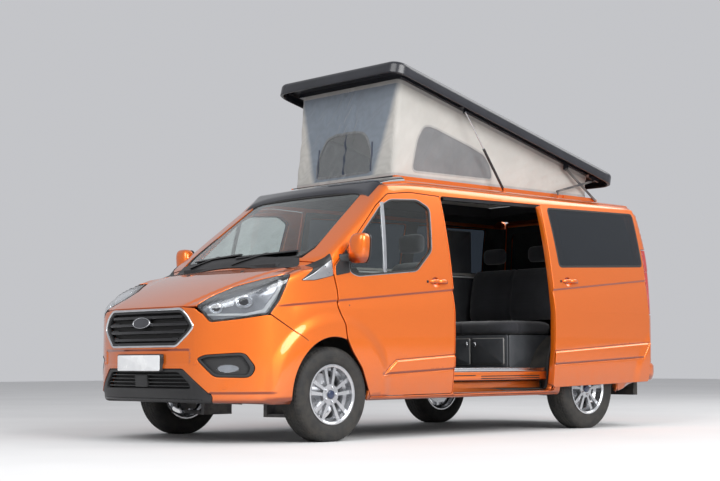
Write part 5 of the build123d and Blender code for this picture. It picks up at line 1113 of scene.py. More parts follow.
def rear_bumper():
    """The rear bumper's skin: its foot rises from the arches to a level line across the back."""
    edge = carried([(-1.856, 0.310), (-1.800, 0.548)], "side", "round", False) + (BACK, 0)
    foot = np.stack(BUMPER_FOOT, 1)
    half = np.concatenate([foot[(foot[:, 0] > 0) & (foot[:, 0] < edge[0, 0] - 0.02)], edge])
    panel("bumper_rear", rounded(both_hands(half), 0.014), "paint", nodes=("rear_bumper",), domain=bumper_surface,
          step=0.024, thick=0.055, edge=0.004)


def tail_end():
    """The rear bumper, the tailgate with a blank plate and a handle strip, and the lamps round the corners."""
    rear_bumper()
    gate = rounded(both_hands(TAILGATE), 0.030)
    window = rounded(TAILGATE_WINDOW, 0.05)
    panel("tailgate_skin", gate, "paint", "tailgate", holes=[window], nodes=("tailgate",), domain="rear",
          step=0.028, thick=0.016)
    panel("tailgate_pressing", grown(gate, -0.030), "paint", "tailgate", holes=[grown(window, 0.004)],
          domain="rear", step=0.06, thick=0.030, inset=0.0165)
    panel("tailgate_lining", grown(gate, -0.055), "lining", "tailgate", holes=[grown(window, 0.002)], domain="rear",
          step=0.06, thick=0.006, inset=0.048)
    plate = oblong(-0.260, 0.800, 0.260, 0.911)
    panel("plate_rear", rounded(plate, 0.008), "white", "tailgate", domain="rear", step=0.05, thick=0.003,
          inset=-0.003, edge=0.001)
    strip = oblong(-0.310, 0.925, 0.310, 0.975)
    panel("tailgate_strip", rounded(strip, 0.015), "plastic", "tailgate", domain="rear", step=0.03, thick=0.006,
          inset=-0.005, edge=0.004)
    lamp = np.concatenate([
        carried([(-2.326, 0.981), (-2.326, 1.559)], "side", "quarter", False),
        carried([(0.805, 1.559), (0.850, 0.981)], "rear", "quarter", False),
    ])
    for name, hand in HANDS:
        nodes = ("tail_lamps",) if hand > 0 else ()
        panel(f"tail_lamp_{name}", rounded(lamp, 0.012), "red", nodes=nodes, domain="quarter", hand=hand,
              step=0.022, thick=0.020, inset=0.001, edge=0.005)


def nose(name, loop, look, holes=(), hand=1, **sizes):
    """A piece of the nose, drawn from the front and wrapped round it."""
    holes = [carried(hole, "front", "wrap") for hole in holes]
    return panel(name, carried(loop, "front", "wrap"), look, holes=holes, domain="wrap", hand=hand, **sizes)


def front_details():
    """Grille, lower intake, fog lamps, blank plate and badge place, sensors."""
    loop = rounded(GRILLE, 0.030)
    inner = grown(loop, -0.017)
    nose("grille_frame", loop, "chrome", [inner], nodes=("grille",), step=0.014, thick=0.022, inset=-0.005,
         edge=0.007)
    nose("grille_lip", inner, "plastic", [grown(loop, -0.034)], step=0.014, thick=0.030, inset=0.004, edge=0.004)
    nose("grille_back", inner, "rubber", step=0.05, thick=0.004, inset=0.044)
    inner = grown(loop, -0.030)
    side_line = inner[inner[:, 0] > 0]
    side_line = side_line[np.argsort(side_line[:, 1])]
    for row in range(4):
        z = 0.716 + 0.054 * row
        half = np.interp([z, z + 0.024], side_line[:, 1], side_line[:, 0]).min() - 0.004
        bar = oblong(-half, z, half, z + 0.024)
        nose(f"grille_slat_{row}", rounded(bar, 0.006), "satin", step=0.02, thick=0.026, inset=0.012, edge=0.008)
    ends = ((0.345, -0.004), (0.470, -0.004), (0.465, 0.004), (0.345, 0.004))
    for name, side in reversed(HANDS):
        for row in range(3):
            z = 0.743 + 0.054 * row
            bar = [(side * y, z + rise) for y, rise in ends]
            nose(f"grille_rib_{row}_{name}", bar, "satin", step=0.02, thick=0.014, inset=0.020, edge=0.003)
    oval = turned() * (0.104, 0.039)
    centre = (0.0, 0.850)
    nose("badge_ring", oval + centre, "chrome", [oval * 0.92 + centre], step=0.008, thick=0.026, inset=-0.007,
         edge=0.003)
    nose("badge_blank", oval * 0.93 + centre, "gloss", step=0.012, thick=0.022, inset=-0.004, edge=0.004)
    loop, mouth = rounded(INTAKE, 0.020), rounded(INTAKE_MOUTH, 0.022)
    nose("intake_frame", grown(loop, -0.003), "plastic", [mouth], nodes=("lower_intake",), step=0.018, thick=0.030,
         inset=0.004, edge=0.006)
    nose("intake_back", grown(mouth, 0.004), "rubber", step=0.05, thick=0.004, inset=0.046)
    for row in range(4):
        z = 0.398 + 0.026 * row
        half = float(np.interp(z, (0.385, 0.425, 0.500), (0.510, 0.494, 0.404)))
        bar = oblong(-half, z, half, z + 0.009)
        nose(f"intake_bar_{row}", bar, "satin", step=0.02, thick=0.020, inset=0.016, edge=0.003)
    nose("intake_block", rounded(oblong(-0.075, 0.392, 0.075, 0.480), 0.01), "plastic", step=0.03, thick=0.024,
         inset=0.010, edge=0.005)
    lip = [(-0.600, 0.300), (0.600, 0.300), (0.585, 0.312), (-0.585, 0.312)]
    nose("intake_lip", rounded(lip, 0.004), "satin", step=0.02, thick=0.010, inset=-0.006, edge=0.004)
    board("plate_front", ((2.470, -0.260, 0.508), (0, 0.520, 0), (0, 0, 0.111)), 0.0155, "white",
          soft_edge=0.0015)
    board("plate_plinth", ((2.446, -0.268, 0.500), (0, 0.536, 0), (0, 0, 0.127)), 0.036, "plastic")
    ring, loop = turned(28), rounded(FOG, 0.030)
    centre, lamp = (0.757, 0.524), turned() * (0.060, 0.027)
    for name, hand in HANDS:
        nodes = ("fog_lamps",) if hand > 0 else ()
        nose(f"fog_bezel_{name}", grown(loop, -0.002), "plastic", [grown(loop, -0.020)], hand, nodes=nodes,
             step=0.014, thick=0.024, inset=-0.001, edge=0.006)
        nose(f"fog_panel_{name}", grown(loop, -0.018), "plastic", [lamp + centre], hand, step=0.014, thick=0.010,
             inset=0.020, edge=0.004)
        nose(f"fog_lens_{name}", lamp + centre, "lens", (), hand, step=0.012, thick=0.003, inset=0.019, edge=0.001)
        nose(f"fog_bowl_{name}", lamp * 0.94 + centre, "chrome", (), hand, step=0.010, thick=0.004, inset=0.034,
             edge=0.001)
        for place, at in (("outer", (0.744, 0.391)), ("inner", (0.556, 0.560))):
            nose(f"sensor_{place}_{name}", ring * 0.011 + at, "paint", (), hand, step=0.006, thick=0.004,
                 inset=-0.002, edge=0.001)


def headlamps():
    """Each lamp: a clear lens, a silver bezel in a dark rim, a projector and a cell in bright steps, a pale light
    guide and a dark blade."""
    lens = lamp_loop(-0.001)
    projector, cell = turned() * (0.058, 0.047), turned() * (0.046, 0.037)
    places = {"projector": (0.845, 0.985), "cell": (0.665, 0.940)}
    guide = [
        (0.600, 0.888), (0.860, 0.886), (0.985, 0.915), (1.085, 1.060), (1.105, 1.150), (1.085, 1.150), (1.062, 1.066),
        (0.968, 0.932), (0.855, 0.903), (0.612, 0.904),
    ]
    blade = [(0.585, 1.010), (0.760, 1.070), (0.980, 1.118), (0.975, 1.130), (0.750, 1.086), (0.578, 1.024)]
    for name, hand in HANDS:
        nodes = ("headlamps",) if hand > 0 else ()
        rings = {part: loop + places[part] for part, loop in (("projector", projector), ("cell", cell))}
        panel(f"lamp_lens_{name}", lens, "lens", nodes=nodes, domain="wrap", hand=hand, step=0.020, thick=0.003,
              inset=0.001, edge=0.002)
        panel(f"lamp_bezel_{name}", lens, "silver", domain="wrap", hand=hand, step=0.018,
              holes=list(rings.values()), thick=0.010, inset=0.036, edge=0.004)
        panel(f"lamp_rim_{name}", lens, "satin", domain="wrap", hand=hand, step=0.018, holes=[lamp_loop(-0.012)],
              thick=0.036, inset=0.005, edge=0.003)
        for piece, loop, look in (("guide", guide, "white"), ("blade", blade, "satin")):
            panel(f"lamp_{piece}_{name}", rounded(loop, 0.006), look, slot="lamp", domain="wrap", hand=hand,
                  step=0.010, thick=0.010, inset=0.024, edge=0.003)
        for part, loop in rings.items():
            centre = np.array(places[part])
            for order, (grow, depth) in enumerate(((1.0, 0.024), (0.80, 0.034), (0.60, 0.046))):
                panel(f"lamp_{part}_step_{order}_{name}", (loop - centre) * grow + centre, "chrome",
                      holes=[(loop - centre) * (grow - 0.22) + centre], domain="wrap", hand=hand, step=0.010,
                      thick=0.012, inset=depth, edge=0.002)
            panel(f"lamp_{part}_eye_{name}", (loop - centre) * 0.52 + centre, "gloss", slot="lamp", domain="wrap",
                  hand=hand, step=0.010, thick=0.006, inset=0.040, edge=0.003)


def shell(name, outer, inner, material, sharp=40):
    """A closed wall between two surfaces on one grid."""
    rows, columns = outer.shape[:2]
    ids = np.arange(rows * columns).reshape(rows, columns)
    rims = [ids[0, ::-1], ids[-1], ids[:, 0], ids[::-1, -1]]
    front = np.stack([ids[:-1, :-1], ids[1:, :-1], ids[1:, 1:], ids[:-1, 1:]], -1).reshape(-1, 4)
    count = rows * columns
    faces = [front, front[:, ::-1] + count]
    faces += [np.stack([r[1:], r[:-1], r[:-1] + count, r[1:] + count], 1) for r in rims]
    points = np.concatenate([outer.reshape(-1, 3), inner.reshape(-1, 3)])
    return closed_mesh(name, points, np.concatenate(faces), material, sharp)


def closed_mesh(name, points, faces, material, sharp):
    """A closed mesh turned outward by the sign of its volume, smooth except at edges sharper than the angle."""
    a, b, c = (points[faces[:, k]] for k in (0, 1, 2))
    volume = np.einsum("ij,ij->i", a, np.cross(b, c)).sum()
    if faces.shape[1] == 4:
        volume += np.einsum("ij,ij->i", a, np.cross(c, points[faces[:, 3]])).sum()
    obj = build(name, points, faces if volume > 0 else faces[:, ::-1], material)
    obj.data.set_sharp_from_angle(angle=math.radians(sharp))
    return obj


def tube(path, sizes, across):
    """Rings of points along a path: at each point a flat profile, scaled by its size and set square to the path."""
    path = np.asarray(path, float)
    run = unit(np.gradient(path, axis=0))
    guide = np.array([0.0, 0.0, 1.0]) if np.abs(run[:, 2]).mean() < 0.8 else np.array([1.0, 0.0, 0.0])
    first = unit(np.cross(run, guide))
    second = np.cross(first, run)
    scale = np.broadcast_to(np.asarray(sizes, float), len(path))[:, None, None]
    return path[:, None] + scale * (across[None, :, :1] * first[:, None] + across[None, :, 1:] * second[:, None])


def loft(name, rings, material, closed=False, sharp=40):
    """A closed skin over rings of equal count, its ends filled with fans unless the rings close on themselves."""
    rows, sides = rings.shape[:2]
    ids = np.arange(rows * sides).reshape(rows, sides)
    if closed:
        ids = np.concatenate([ids, ids[:1]])
    onward = np.roll(ids, -1, 1)
    quads = np.stack([ids[:-1], onward[:-1], onward[1:], ids[1:]], -1).reshape(-1, 4)
    points = rings.reshape(-1, 3)
    if closed:
        return closed_mesh(name, points, quads, material, sharp)
    first, last = rows * sides, rows * sides + 1
    points = np.concatenate([points, [rings[0].mean(0), rings[-1].mean(0)]])
    low = np.stack([np.full(sides, first), onward[0], ids[0]], 1)
    high = np.stack([np.full(sides, last), ids[-1], onward[-1]], 1)
    faces = np.concatenate([quads[:, [0, 1, 2]], quads[:, [0, 2, 3]], low, high])
    return closed_mesh(name, points, faces, material, sharp)


def solid(name, rings, look, body, slot=None, nodes=(), closed=False, sharp=40):
    """A piece made of rings that rides on its body; its look names its material."""
    return settle(loft(name, rings, finish(look), closed, sharp), body, slot or SLOTS[look], *nodes)


def cushion_rings(low, high, corner, crown):
    """A soft block between two corners: superellipse rings, drawn in towards top and bottom by their own curve."""
    count, layers = 56, 19
    shape = squared(count, 0.4)
    level = np.sin(np.linspace(-1, 1, layers) * math.pi / 2)
    draw = (1 - np.abs(level) ** 4) ** 0.25
    half = (high - low) / 2
    reach = np.maximum(half[:2] - corner * (1 - draw[:, None]) * 2.2, 0.004)
    rings = np.empty((layers, count, 3))
    rings[:, :, :2] = shape[None] * reach[:, None, :]
    bulge = crown * np.clip(1 - (shape ** 2).sum(1) * 0.5, 0, 1)
    rings[:, :, 2] = (level * half[2])[:, None] + np.sign(level)[:, None] * bulge[None]
    return rings + (low + high) / 2


def turned_about(points, axis_y, angle):
    """Points turned about a line along Y through (x, z)."""
    x, z = points[..., 0] - axis_y[0], points[..., 2] - axis_y[1]
    result = points.copy()
    result[..., 0] = axis_y[0] + x * math.cos(angle) + z * math.sin(angle)
    result[..., 2] = axis_y[1] - x * math.sin(angle) + z * math.cos(angle)
    return result


def roof_cowl():
    """The gloss cowl between windscreen and tent: the body's top plus a height that rises from a rounded lip.

    Height over the body = lip (1 - exp(-t / 0.014)) + swell sin(pi t / 2), times the root of a circle at each
    side; t runs from the windscreen to the tent."""
    side = np.sin(np.linspace(-math.pi / 2, math.pi / 2, 97))
    t = np.linspace(0, 1, 34) ** 2
    y = 0.742 * side
    edge = 1.878 - 0.046 * (np.abs(y) / 0.70) ** 5
    front = lift(np.stack([y, edge], 1), "front")[0]
    front_x = np.minimum(front[:, 0], 1.05)
    grid_x = front_x[:, None] * (1 - t) + 0.514 * t
    grid_y = np.broadcast_to(y[:, None], grid_x.shape)
    base = lift(np.stack([grid_x.ravel(), grid_y.ravel()], 1), "top")[0].reshape(*grid_x.shape, 3)
    near = np.clip((np.abs(side) - 0.90) / 0.10, 0, 1)[:, None]
    height = (0.020 * (1 - np.exp(-t / 0.014)) + 0.026 * np.sin(t * math.pi / 2))[None] * np.sqrt(1 - near ** 2 + 1e-9)
    outer = base + np.stack([np.zeros_like(height), np.zeros_like(height), height + 0.0015], -1)
    inner = base - (0, 0, 0.004)
    obj = shell("cowl_skin", outer, inner, finish("gloss"), sharp=60)
    settle(obj, "body", "black_paint", "roof_cowl")


LID_FRONT = (0.600, 2.838)
LID_HALF = np.array([2.860 / 2, 0.735])
LID_SLOPE = math.radians(14)


def lid_skin():
    """The lifting roof's skin: rounded outlines scaled towards the middle, set up by a profile of inset and height.

    The profile runs from the ceiling inside, round the lip and over a soft edge to a low crown. A ring of inset d is
    the outline scaled by 1 - d / half its length and 1 - d / half its width; the lid's plane slopes 14 degrees."""
    loop = resample(rounded(np.array(oblong(-1, -1, 1, 1)) * LID_HALF, 0.15), 0.030)
    lip = np.linspace(0, math.pi, 7)
    over = np.linspace(0, math.pi / 2, 9)
    profile = [(d, 0.0585) for d in (0.60, 0.30, 0.10, 0.030, 0.018)] + [(0.0145, 0.054), (0.0135, 0.020)]
    profile += [(0.0055 + 0.008 * math.cos(a), -0.001 - 0.006 * math.sin(a)) for a in lip]
    profile += [(-0.0030, 0.020), (-0.0020, 0.045)]
    profile += [(0.044 - 0.046 * math.cos(a), 0.056 + 0.043 * math.sin(a)) for a in over]
    profile += [(d, 0.100 + 0.010 * min(1, d / 0.5)) for d in (0.060, 0.085)]
    profile += [(d, z + 0.0017 * min(1, d / 0.5)) for d, z in (
        (0.115, 0.1020), (0.130, 0.0985), (0.160, 0.0985), (0.175, 0.1040), (0.30, 0.106), (0.45, 0.109), (0.60, 0.110),
        (0.72, 0.110))]
    rings = np.empty((len(profile), len(loop), 3))
    level, rise = math.cos(LID_SLOPE), math.sin(LID_SLOPE)
    for ring, (inset, height) in zip(rings, profile):
        along = LID_HALF[0] + loop[:, 0] * (1 - inset / LID_HALF[0])
        ring[:, 0] = LID_FRONT[0] - along * level - height * rise
        ring[:, 1] = loop[:, 1] * (1 - inset / LID_HALF[1])
        ring[:, 2] = LID_FRONT[1] - along * rise + height * level
    solid("lid_skin", rings, "lid", "pop_roof", sharp=50)


TENT_LOW = 2.0284
TENT_FRONT, TENT_REAR, TENT_HALF, TENT_CORNER = 0.500, -1.945, 0.594, 0.045
TENT_LEAN = 0.098
CORNER_SAVING = 0.0193


def tent_top(x):
    """The height of the lid's rail over a place along the van."""
    return LID_FRONT[1] - (LID_FRONT[0] - x) * math.tan(LID_SLOPE) + 0.0170


def tent_spine():
    """The tent's foot as a closed line from the middle of the rear round the left side: points, normals, lengths."""
    corners = np.array(oblong(TENT_REAR, TENT_HALF, TENT_FRONT, -TENT_HALF))
    turn = np.linspace(0, math.pi / 2, 9)
    pieces = [np.array([(TENT_REAR, 0.0)])]
    for corner, start in zip(corners, (math.pi, math.pi / 2, 0.0, -math.pi / 2)):
        inward = np.array([np.sign(np.mean((TENT_REAR, TENT_FRONT)) - corner[0]),
                           -np.sign(corner[1])]) * TENT_CORNER
        angle = start - turn
        pieces.append(corner + inward + TENT_CORNER * np.stack([np.cos(angle), np.sin(angle)], 1))
    line = np.concatenate([*pieces, [(TENT_REAR, 0.0)]])
    along = np.concatenate([[0], np.cumsum(np.linalg.norm(np.diff(line, axis=0), axis=1))])
    run = unit(np.gradient(line, along, axis=0))
    return line, np.stack([-run[:, 1], run[:, 0]], 1), along


SPINE_LINE, SPINE_OUT, SPINE_ALONG = tent_spine()
TENT_ROUND = SPINE_ALONG[-1]


def tent_point(flat, inset=0.0):
    """The canvas over (distance round the foot, height): a leaning wall with slack, creases and drawn-in corners.

    The canvas slack goes with the sine of the height's share; creases are sharpened sines that run down from the
    top corners and fade at the hems; everything goes along the wall's own normal."""
    u, z = flat[:, 0], flat[:, 1]
    place = np.stack([np.interp(u, SPINE_ALONG, SPINE_LINE[:, k]) for k in (0, 1)], 1)
    out = unit(np.stack([np.interp(u, SPINE_ALONG, SPINE_OUT[:, k]) for k in (0, 1)], 1))
    x = place[:, 0] - TENT_LEAN * (z - TENT_LOW)
    top = tent_top(x)
    share = np.clip((z - TENT_LOW) / np.maximum(top - TENT_LOW, 0.05), 0, 1)
    hold = np.sin(math.pi * share)
    front_corner = np.minimum(np.abs(u - 3.60), np.abs(u - (TENT_ROUND - 3.60)))
    pull = -bpy.context.scene.van_sizes.canvas_slack * hold
    crease = np.sin(34 * (u + 0.55 * share) + 1.3 * np.sin(5 * u)) * np.sin(9 * share + 2.1 * np.sin(2.3 * u))
    crease = np.sign(crease) * np.abs(crease) ** 1.6
    fine = np.sin(96 * (u + 0.22 * share) + 2.2 * np.sin(17 * share + 3 * u))
    near = np.exp(-(front_corner / 0.16) ** 2)
    front_wall = smooth((x - 0.40) / 0.05)
    folds = np.sin(58 * (u - 3.2) + 26 * share) * np.sin(21 * share + 5 * u)
    wave = 0.0020 * crease * (1 + 1.6 * front_wall) + 0.0005 * fine + near * (0.0085 * folds + 0.0020 * fine)
    depth = pull + wave * smooth(share / 0.06) * smooth((1 - share) / 0.06)
    points = np.stack([x, place[:, 1], z], 1)
    return points + np.stack([out[:, 0], out[:, 1], np.zeros(len(u))], 1) * (depth - inset)[:, None]


def tent_surface(flat, inset=0.0):
    """Points of the canvas and their normals, by small steps along the wall and up it."""
    step = 0.0015
    here = tent_point(flat, inset)
    along = tent_point(flat + (step, 0), inset) - tent_point(flat - (step, 0), inset)
    rise = tent_point(flat + (0, step), inset) - tent_point(flat - (0, step), inset)
    return here, unit(np.cross(rise, along))


def tent_u(x, z, hand=1):
    """Distance round the foot of a point on a side wall: a rounded corner saves a little of the way."""
    u = TENT_HALF + (np.asarray(x) + TENT_LEAN * (np.asarray(z) - TENT_LOW) - TENT_REAR) - CORNER_SAVING
    return u if hand > 0 else TENT_ROUND - u


def lid_line(u, below=0.0):
    """Height of the rail over places round the foot."""
    x = np.interp(u, SPINE_ALONG, SPINE_LINE[:, 0])
    height = tent_top(x)
    for _ in range(4):
        height = tent_top(x - TENT_LEAN * (height - TENT_LOW))
    return height - below


def band(u, low, high):
    """A closed loop between two rows of heights over the same places round the foot."""
    lower, upper = (np.stack(np.broadcast_arrays(u, row), 1) for row in (low, high))
    return np.concatenate([lower, upper[::-1]])


def tent_piece(name, outline, look, step, thick, inset, edge, **more):
    """One piece of cloth that lies on the canvas's own surface."""
    return panel(name, outline, look, domain=tent_surface, step=step, thick=thick, inset=inset, edge=edge, **more)


def tent():
    """The canvas walls with mesh side windows and a clear front window, welts, hems and zips."""
    u = np.linspace(0.004, TENT_ROUND - 0.004, 420)
    side = np.array([(0.285, 2.082), (0.262, 2.200), (0.215, 2.360), (0.150, 2.452), (0.080, 2.470),
                     (-0.020, 2.450), (-0.400, 2.350), (-0.580, 2.292), (-0.648, 2.213), (-0.674, 2.089)])
    windows = [rounded(np.stack([tent_u(side[:, 0], side[:, 1], hand), side[:, 1]], 1), 0.05) for hand in (1, -1)]
    middle = TENT_ROUND / 2
    half = np.array([(0.330, 2.085), (0.318, 2.260), (0.235, 2.405), (0.120, 2.432)])
    screen = rounded(np.concatenate([half[:1] * (-1, 1), half, half[:0:-1] * (-1, 1)]) + (middle, 0), 0.06)
    canvas = tent_piece("tent_walls", band(u, TENT_LOW + 0.002, lid_line(u)), "tent", 0.020, 0.0014, 0.0, 0.0003,
                        holes=[*windows, screen], nodes=("canvas",))
    pieces = []
    for (name, _), loop in zip(HANDS, windows):
        pieces.append(tent_piece(f"tent_mesh_{name}", grown(loop, 0.012), "mesh", 0.020, 0.0010, 0.0016, 0.0002))
        pieces.append(tent_piece(f"tent_welt_{name}", grown(loop, 0.010), "tent_hem", 0.016, 0.0016, -0.0018,
                                 0.0005, holes=[grown(loop, -0.006)]))
    pieces.append(tent_piece("tent_window", grown(screen, 0.012), "vinyl", 0.016, 0.0010, 0.0016, 0.0002))
    pieces.append(tent_piece("tent_window_welt", grown(screen, 0.012), "mesh", 0.014, 0.0016, -0.0018, 0.0005,
                             holes=[grown(screen, -0.008)]))
    for order, (offset, top) in enumerate(((-0.004, 2.425), (0.318, 2.33), (-0.326, 2.33))):
        low, high = middle + offset - 0.008, middle + offset + 0.008
        strip = oblong(low, 2.09, high, top)
        pieces.append(tent_piece(f"tent_zip_{order}", strip, "webbing", 0.010, 0.0014, -0.0022, 0.0005))
    hems = (("foot", TENT_LOW, TENT_LOW + 0.026), ("head", lid_line(u, 0.030), lid_line(u, -0.002)))
    for name, low, high in hems:
        pieces.append(tent_piece(f"tent_hem_{name}", band(u, low, high), "tent_hem", 0.020, 0.0012, -0.0014,
                                 0.0004))
    for piece in (canvas, *pieces):
        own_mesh(piece)


MIRROR_MIDDLE = np.array([1.2505, 1.054, 1.388])


def leaned(points):
    """Points of a mirror moved in below its middle and out above it."""
    points[..., 1] -= 0.012 * np.clip((MIRROR_MIDDLE[2] - points[..., 2]) / 0.11, -1, 1)
    return points


def mirrors():
    """Door mirrors: a rounded painted head with its glass, on a black arm from a black sail with a grey foot."""
    layers, count = 22, 56
    shape = squared(count, 0.55)
    depth = np.sin(np.linspace(-math.pi / 2, math.pi / 2, layers))
    # The head narrows to the front as an ellipse does, and leans out towards its top
    reach = np.where(depth < 0, (1 - np.abs(depth) ** 5) ** 0.2, (1 - np.abs(depth) ** 2.6) ** 0.42)
    reach = np.maximum(reach, 0.03)
    head = np.empty((layers, count, 3))
    head[..., 0] = (1.305 + 0.053 * depth)[:, None]
    head[..., 1] = MIRROR_MIDDLE[1] + reach[:, None] * shape[None, :, 0] * 0.080
    head[..., 2] = MIRROR_MIDDLE[2] + reach[:, None] * shape[None, :, 1] * 0.110
    head = leaned(head)
    glass = leaned(MIRROR_MIDDLE + np.stack([np.zeros(count), shape[:, 0] * 0.069, shape[:, 1] * 0.098], 1))
    rim = (glass - MIRROR_MIDDLE) * (1, 1.13, 1.09) + MIRROR_MIDDLE + (0.0005, 0, 0)
    path = [(1.380, 0.925, 1.318), (1.330, 0.950, 1.322), (1.300, 0.990, 1.324), (1.262, 1.020, 1.324),
            (1.245, 1.050, 1.324)]
    arm = tube(path, 1.0, squared(count, 0.5) * (0.024, 0.030))
    sail = [(1.300, 1.215), (1.436, 1.190), (1.436, 1.262), (1.310, 1.385)]
    foot = [(1.462, 1.186), (1.640, 1.146), (1.772, 1.140), (1.600, 1.258), (1.462, 1.352)]
    grey = [(1.463, 1.188), (1.640, 1.150), (1.762, 1.143), (1.640, 1.200), (1.463, 1.305)]
    foot, grey = (carried(rounded(loop, 0.010), "side", "round") for loop in (foot, grey))
    for name, hand in HANDS:
        body, mirror = f"door_{name}", (1, hand, 1)
        solid(f"mirror_head_{name}", head * mirror, "paint", body, sharp=50)
        plate = np.stack([glass, glass - (0.006, 0, 0)]) * mirror
        solid(f"mirror_glass_{name}", plate, "chrome", body, sharp=30)
        plate = np.stack([rim + (0.010, 0, 0), rim - (0.004, 0, 0)]) * mirror
        solid(f"mirror_rim_{name}", plate, "plastic", body, sharp=30)
        solid(f"mirror_arm_{name}", arm * mirror, "plastic", body)
        panel(f"mirror_sail_{name}", rounded(sail, 0.012), "plastic", body, hand=hand, step=0.02, thick=0.008,
              inset=-0.006, edge=0.003)
        panel(f"pillar_sail_{name}", foot, "plastic", domain="round", hand=hand, step=0.02, thick=0.008,
              inset=-0.003, edge=0.003)
        panel(f"pillar_foot_{name}", grey, "silver", domain="round", hand=hand, step=0.02, thick=0.008,
              inset=-0.0045, edge=0.003)


def handles():
    """Pull handles: a bar that stands off the skin at its middle and meets it at both ends, with a lock barrel."""
    rows = (
        ("door_left", "door_left", HANDLE_PLACES[0], 1, None), ("door_right", "door_right", HANDLE_PLACES[0], -1, None),
        ("sliding", "body", HANDLE_PLACES[1], 1, SLIDE),
    )
    t = np.linspace(-1, 1, 33)
    across = turned(18) * (0.006, 0.015)
    size = 0.75 + 0.25 * (1 - t ** 4)
    for name, body, (x, z), hand, moved in rows:
        flat = np.stack([x - 0.030 + 0.098 * t, np.full(len(t), z) + 0.002], 1)
        _, out = lift(flat, "side", 1, -0.012)
        path = lift(flat, "side")[0] + out * (0.026 * (1 - np.abs(t) ** 4))[:, None]
        rings = tube(path, size, across) * (1, hand, 1)
        if moved is not None:
            rings = rings + moved
        solid(f"handle_{name}", rings, "paint", body)
        loop = turned(24) * 0.011 + (x + 0.092, z + 0.002)
        panel(f"handle_lock_{name}", loop, "satin", body, hand=hand, step=0.006, thick=0.006, inset=-0.004,
              edge=0.002, moved=moved)


def nose_details():
    """Washer jets on the bonnet, and the dark band under the windscreen."""
    for name, hand in HANDS:
        at = lift([(1.800, 0.330)], "top", hand)[0]
        turn = turned_angles(20)
        level = np.sin(np.linspace(-0.4, math.pi / 2, 8))
        rings = np.empty((8, 20, 3))
        wide = np.sqrt(np.maximum(1 - level ** 2, 0.01))
        rings[..., 0] = at[0, 0] + 0.017 * wide[:, None] * np.cos(turn)
        rings[..., 1] = at[0, 1] + 0.013 * wide[:, None] * np.sin(turn)
        rings[..., 2] = at[0, 2] + 0.008 * level[:, None] - 0.35 * (rings[..., 0] - at[0, 0])
        solid(f"washer_jet_{name}", rings, "plastic", "bonnet")
    half = np.array([(1.689, 0.0), (1.689, 0.640), (1.668, 0.738), (1.600, 0.738), (1.565, 0.700), (1.590, 0.500),
                     (1.605, 0.0)])
    loop = np.concatenate([half, half[::-1][1:-1] * (1, -1)])
    panel("scuttle_cover", loop, "plastic", domain="top", step=0.02, thick=0.006, inset=-0.0025, edge=0.002)


def tyre_surface(turn):
    """The tyre's radii and offsets over angles round it and places across it.

    A half profile is smoothed three times and mirrored. Four grooves run round the tread; slots across it repeat,
    slanting, and fade down the shoulders; fine ribs circle the walls."""
    profile = np.array([
        (0.206, 0.078), (0.218, 0.090), (0.240, 0.101), (0.268, 0.1065), (0.290, 0.1055), (0.310, 0.1005),
        (0.324, 0.0930), (0.333, 0.0830), (0.3385, 0.0720), (0.3415, 0.0600), (0.3425, 0.0400), (0.3430, 0.0200),
        (0.3430, 0.0),
    ])
    known, wanted = np.linspace(0, 1, len(profile)), np.linspace(0, 1, 66)
    half = np.stack([np.interp(wanted, known, profile[:, k]) for k in (0, 1)], 1)
    for _ in range(3):
        half[1:-1] = (half[:-2] * 0.25 + half[1:-1] * 0.5 + half[2:] * 0.25)
    radius, offset = np.concatenate([half, half[::-1][1:] * (1, -1)]).T
    on_tread = smooth((radius - 0.330) / 0.006)
    rings_round = sum(np.exp(-((np.abs(offset) - place) / 0.0034) ** 2) for place in (0.018, 0.052))
    wave = np.cos(64 * turn + 90 * np.abs(offset) + 1.1 * np.sign(offset))
    slots = smooth((wave - 0.74) / 0.16) * smooth((np.abs(offset) - 0.022) / 0.004)
    shoulder = smooth((radius - 0.318) / 0.010)
    depth = bpy.context.scene.van_sizes.groove_depth * (rings_round * on_tread) + 0.0050 * slots * shoulder
    wall = smooth((0.300 - radius) / 0.01) * smooth((radius - 0.222) / 0.01)
    ribs = 0.0006 * np.sin(140 * math.pi * radius) * wall
    return radius - depth, offset + np.sign(offset) * ribs


def round_axle(centre, turn, radii, offsets):
    """Points at angles, radii and offsets about a line along Y through the centre."""
    return np.stack(np.broadcast_arrays(
        centre[0] + radii * np.cos(turn), centre[1] + offsets, centre[2] + radii * np.sin(turn)), -1)


def wheel_nuts(name, axle, face, hand):
    """Five six-sided nuts round the hub: rings of twelve points, every second one drawn in."""
    bulge = np.where(np.arange(12) % 2 == 0, 1.0, 0.93)
    points, faces = [], []
    for k in range(5):
        angle = 2 * math.pi * (k + 0.5) / 5
        centre = (axle[0] + 0.054 * math.cos(angle), face, axle[1] + 0.054 * math.sin(angle))
        for size, y in ((0.0105, -0.040), (0.0105, -0.012), (0.0085, -0.009), (0.0010, -0.0085)):
            points.append(round_axle(centre, turned_angles(12), size * bulge, y * hand))
        ids = 48 * k + np.arange(48).reshape(4, 12)
        onward = np.roll(ids, -1, 1)
        faces.append(np.stack([ids[:-1], onward[:-1], onward[1:], ids[1:]], -1).reshape(-1, 4))
    faces = np.concatenate(faces)
    nuts = build(name, np.concatenate(points), faces[:, ::-1] if hand > 0 else faces, finish("bright"))
    nuts.data.set_sharp_from_angle(angle=math.radians(30))
    return nuts


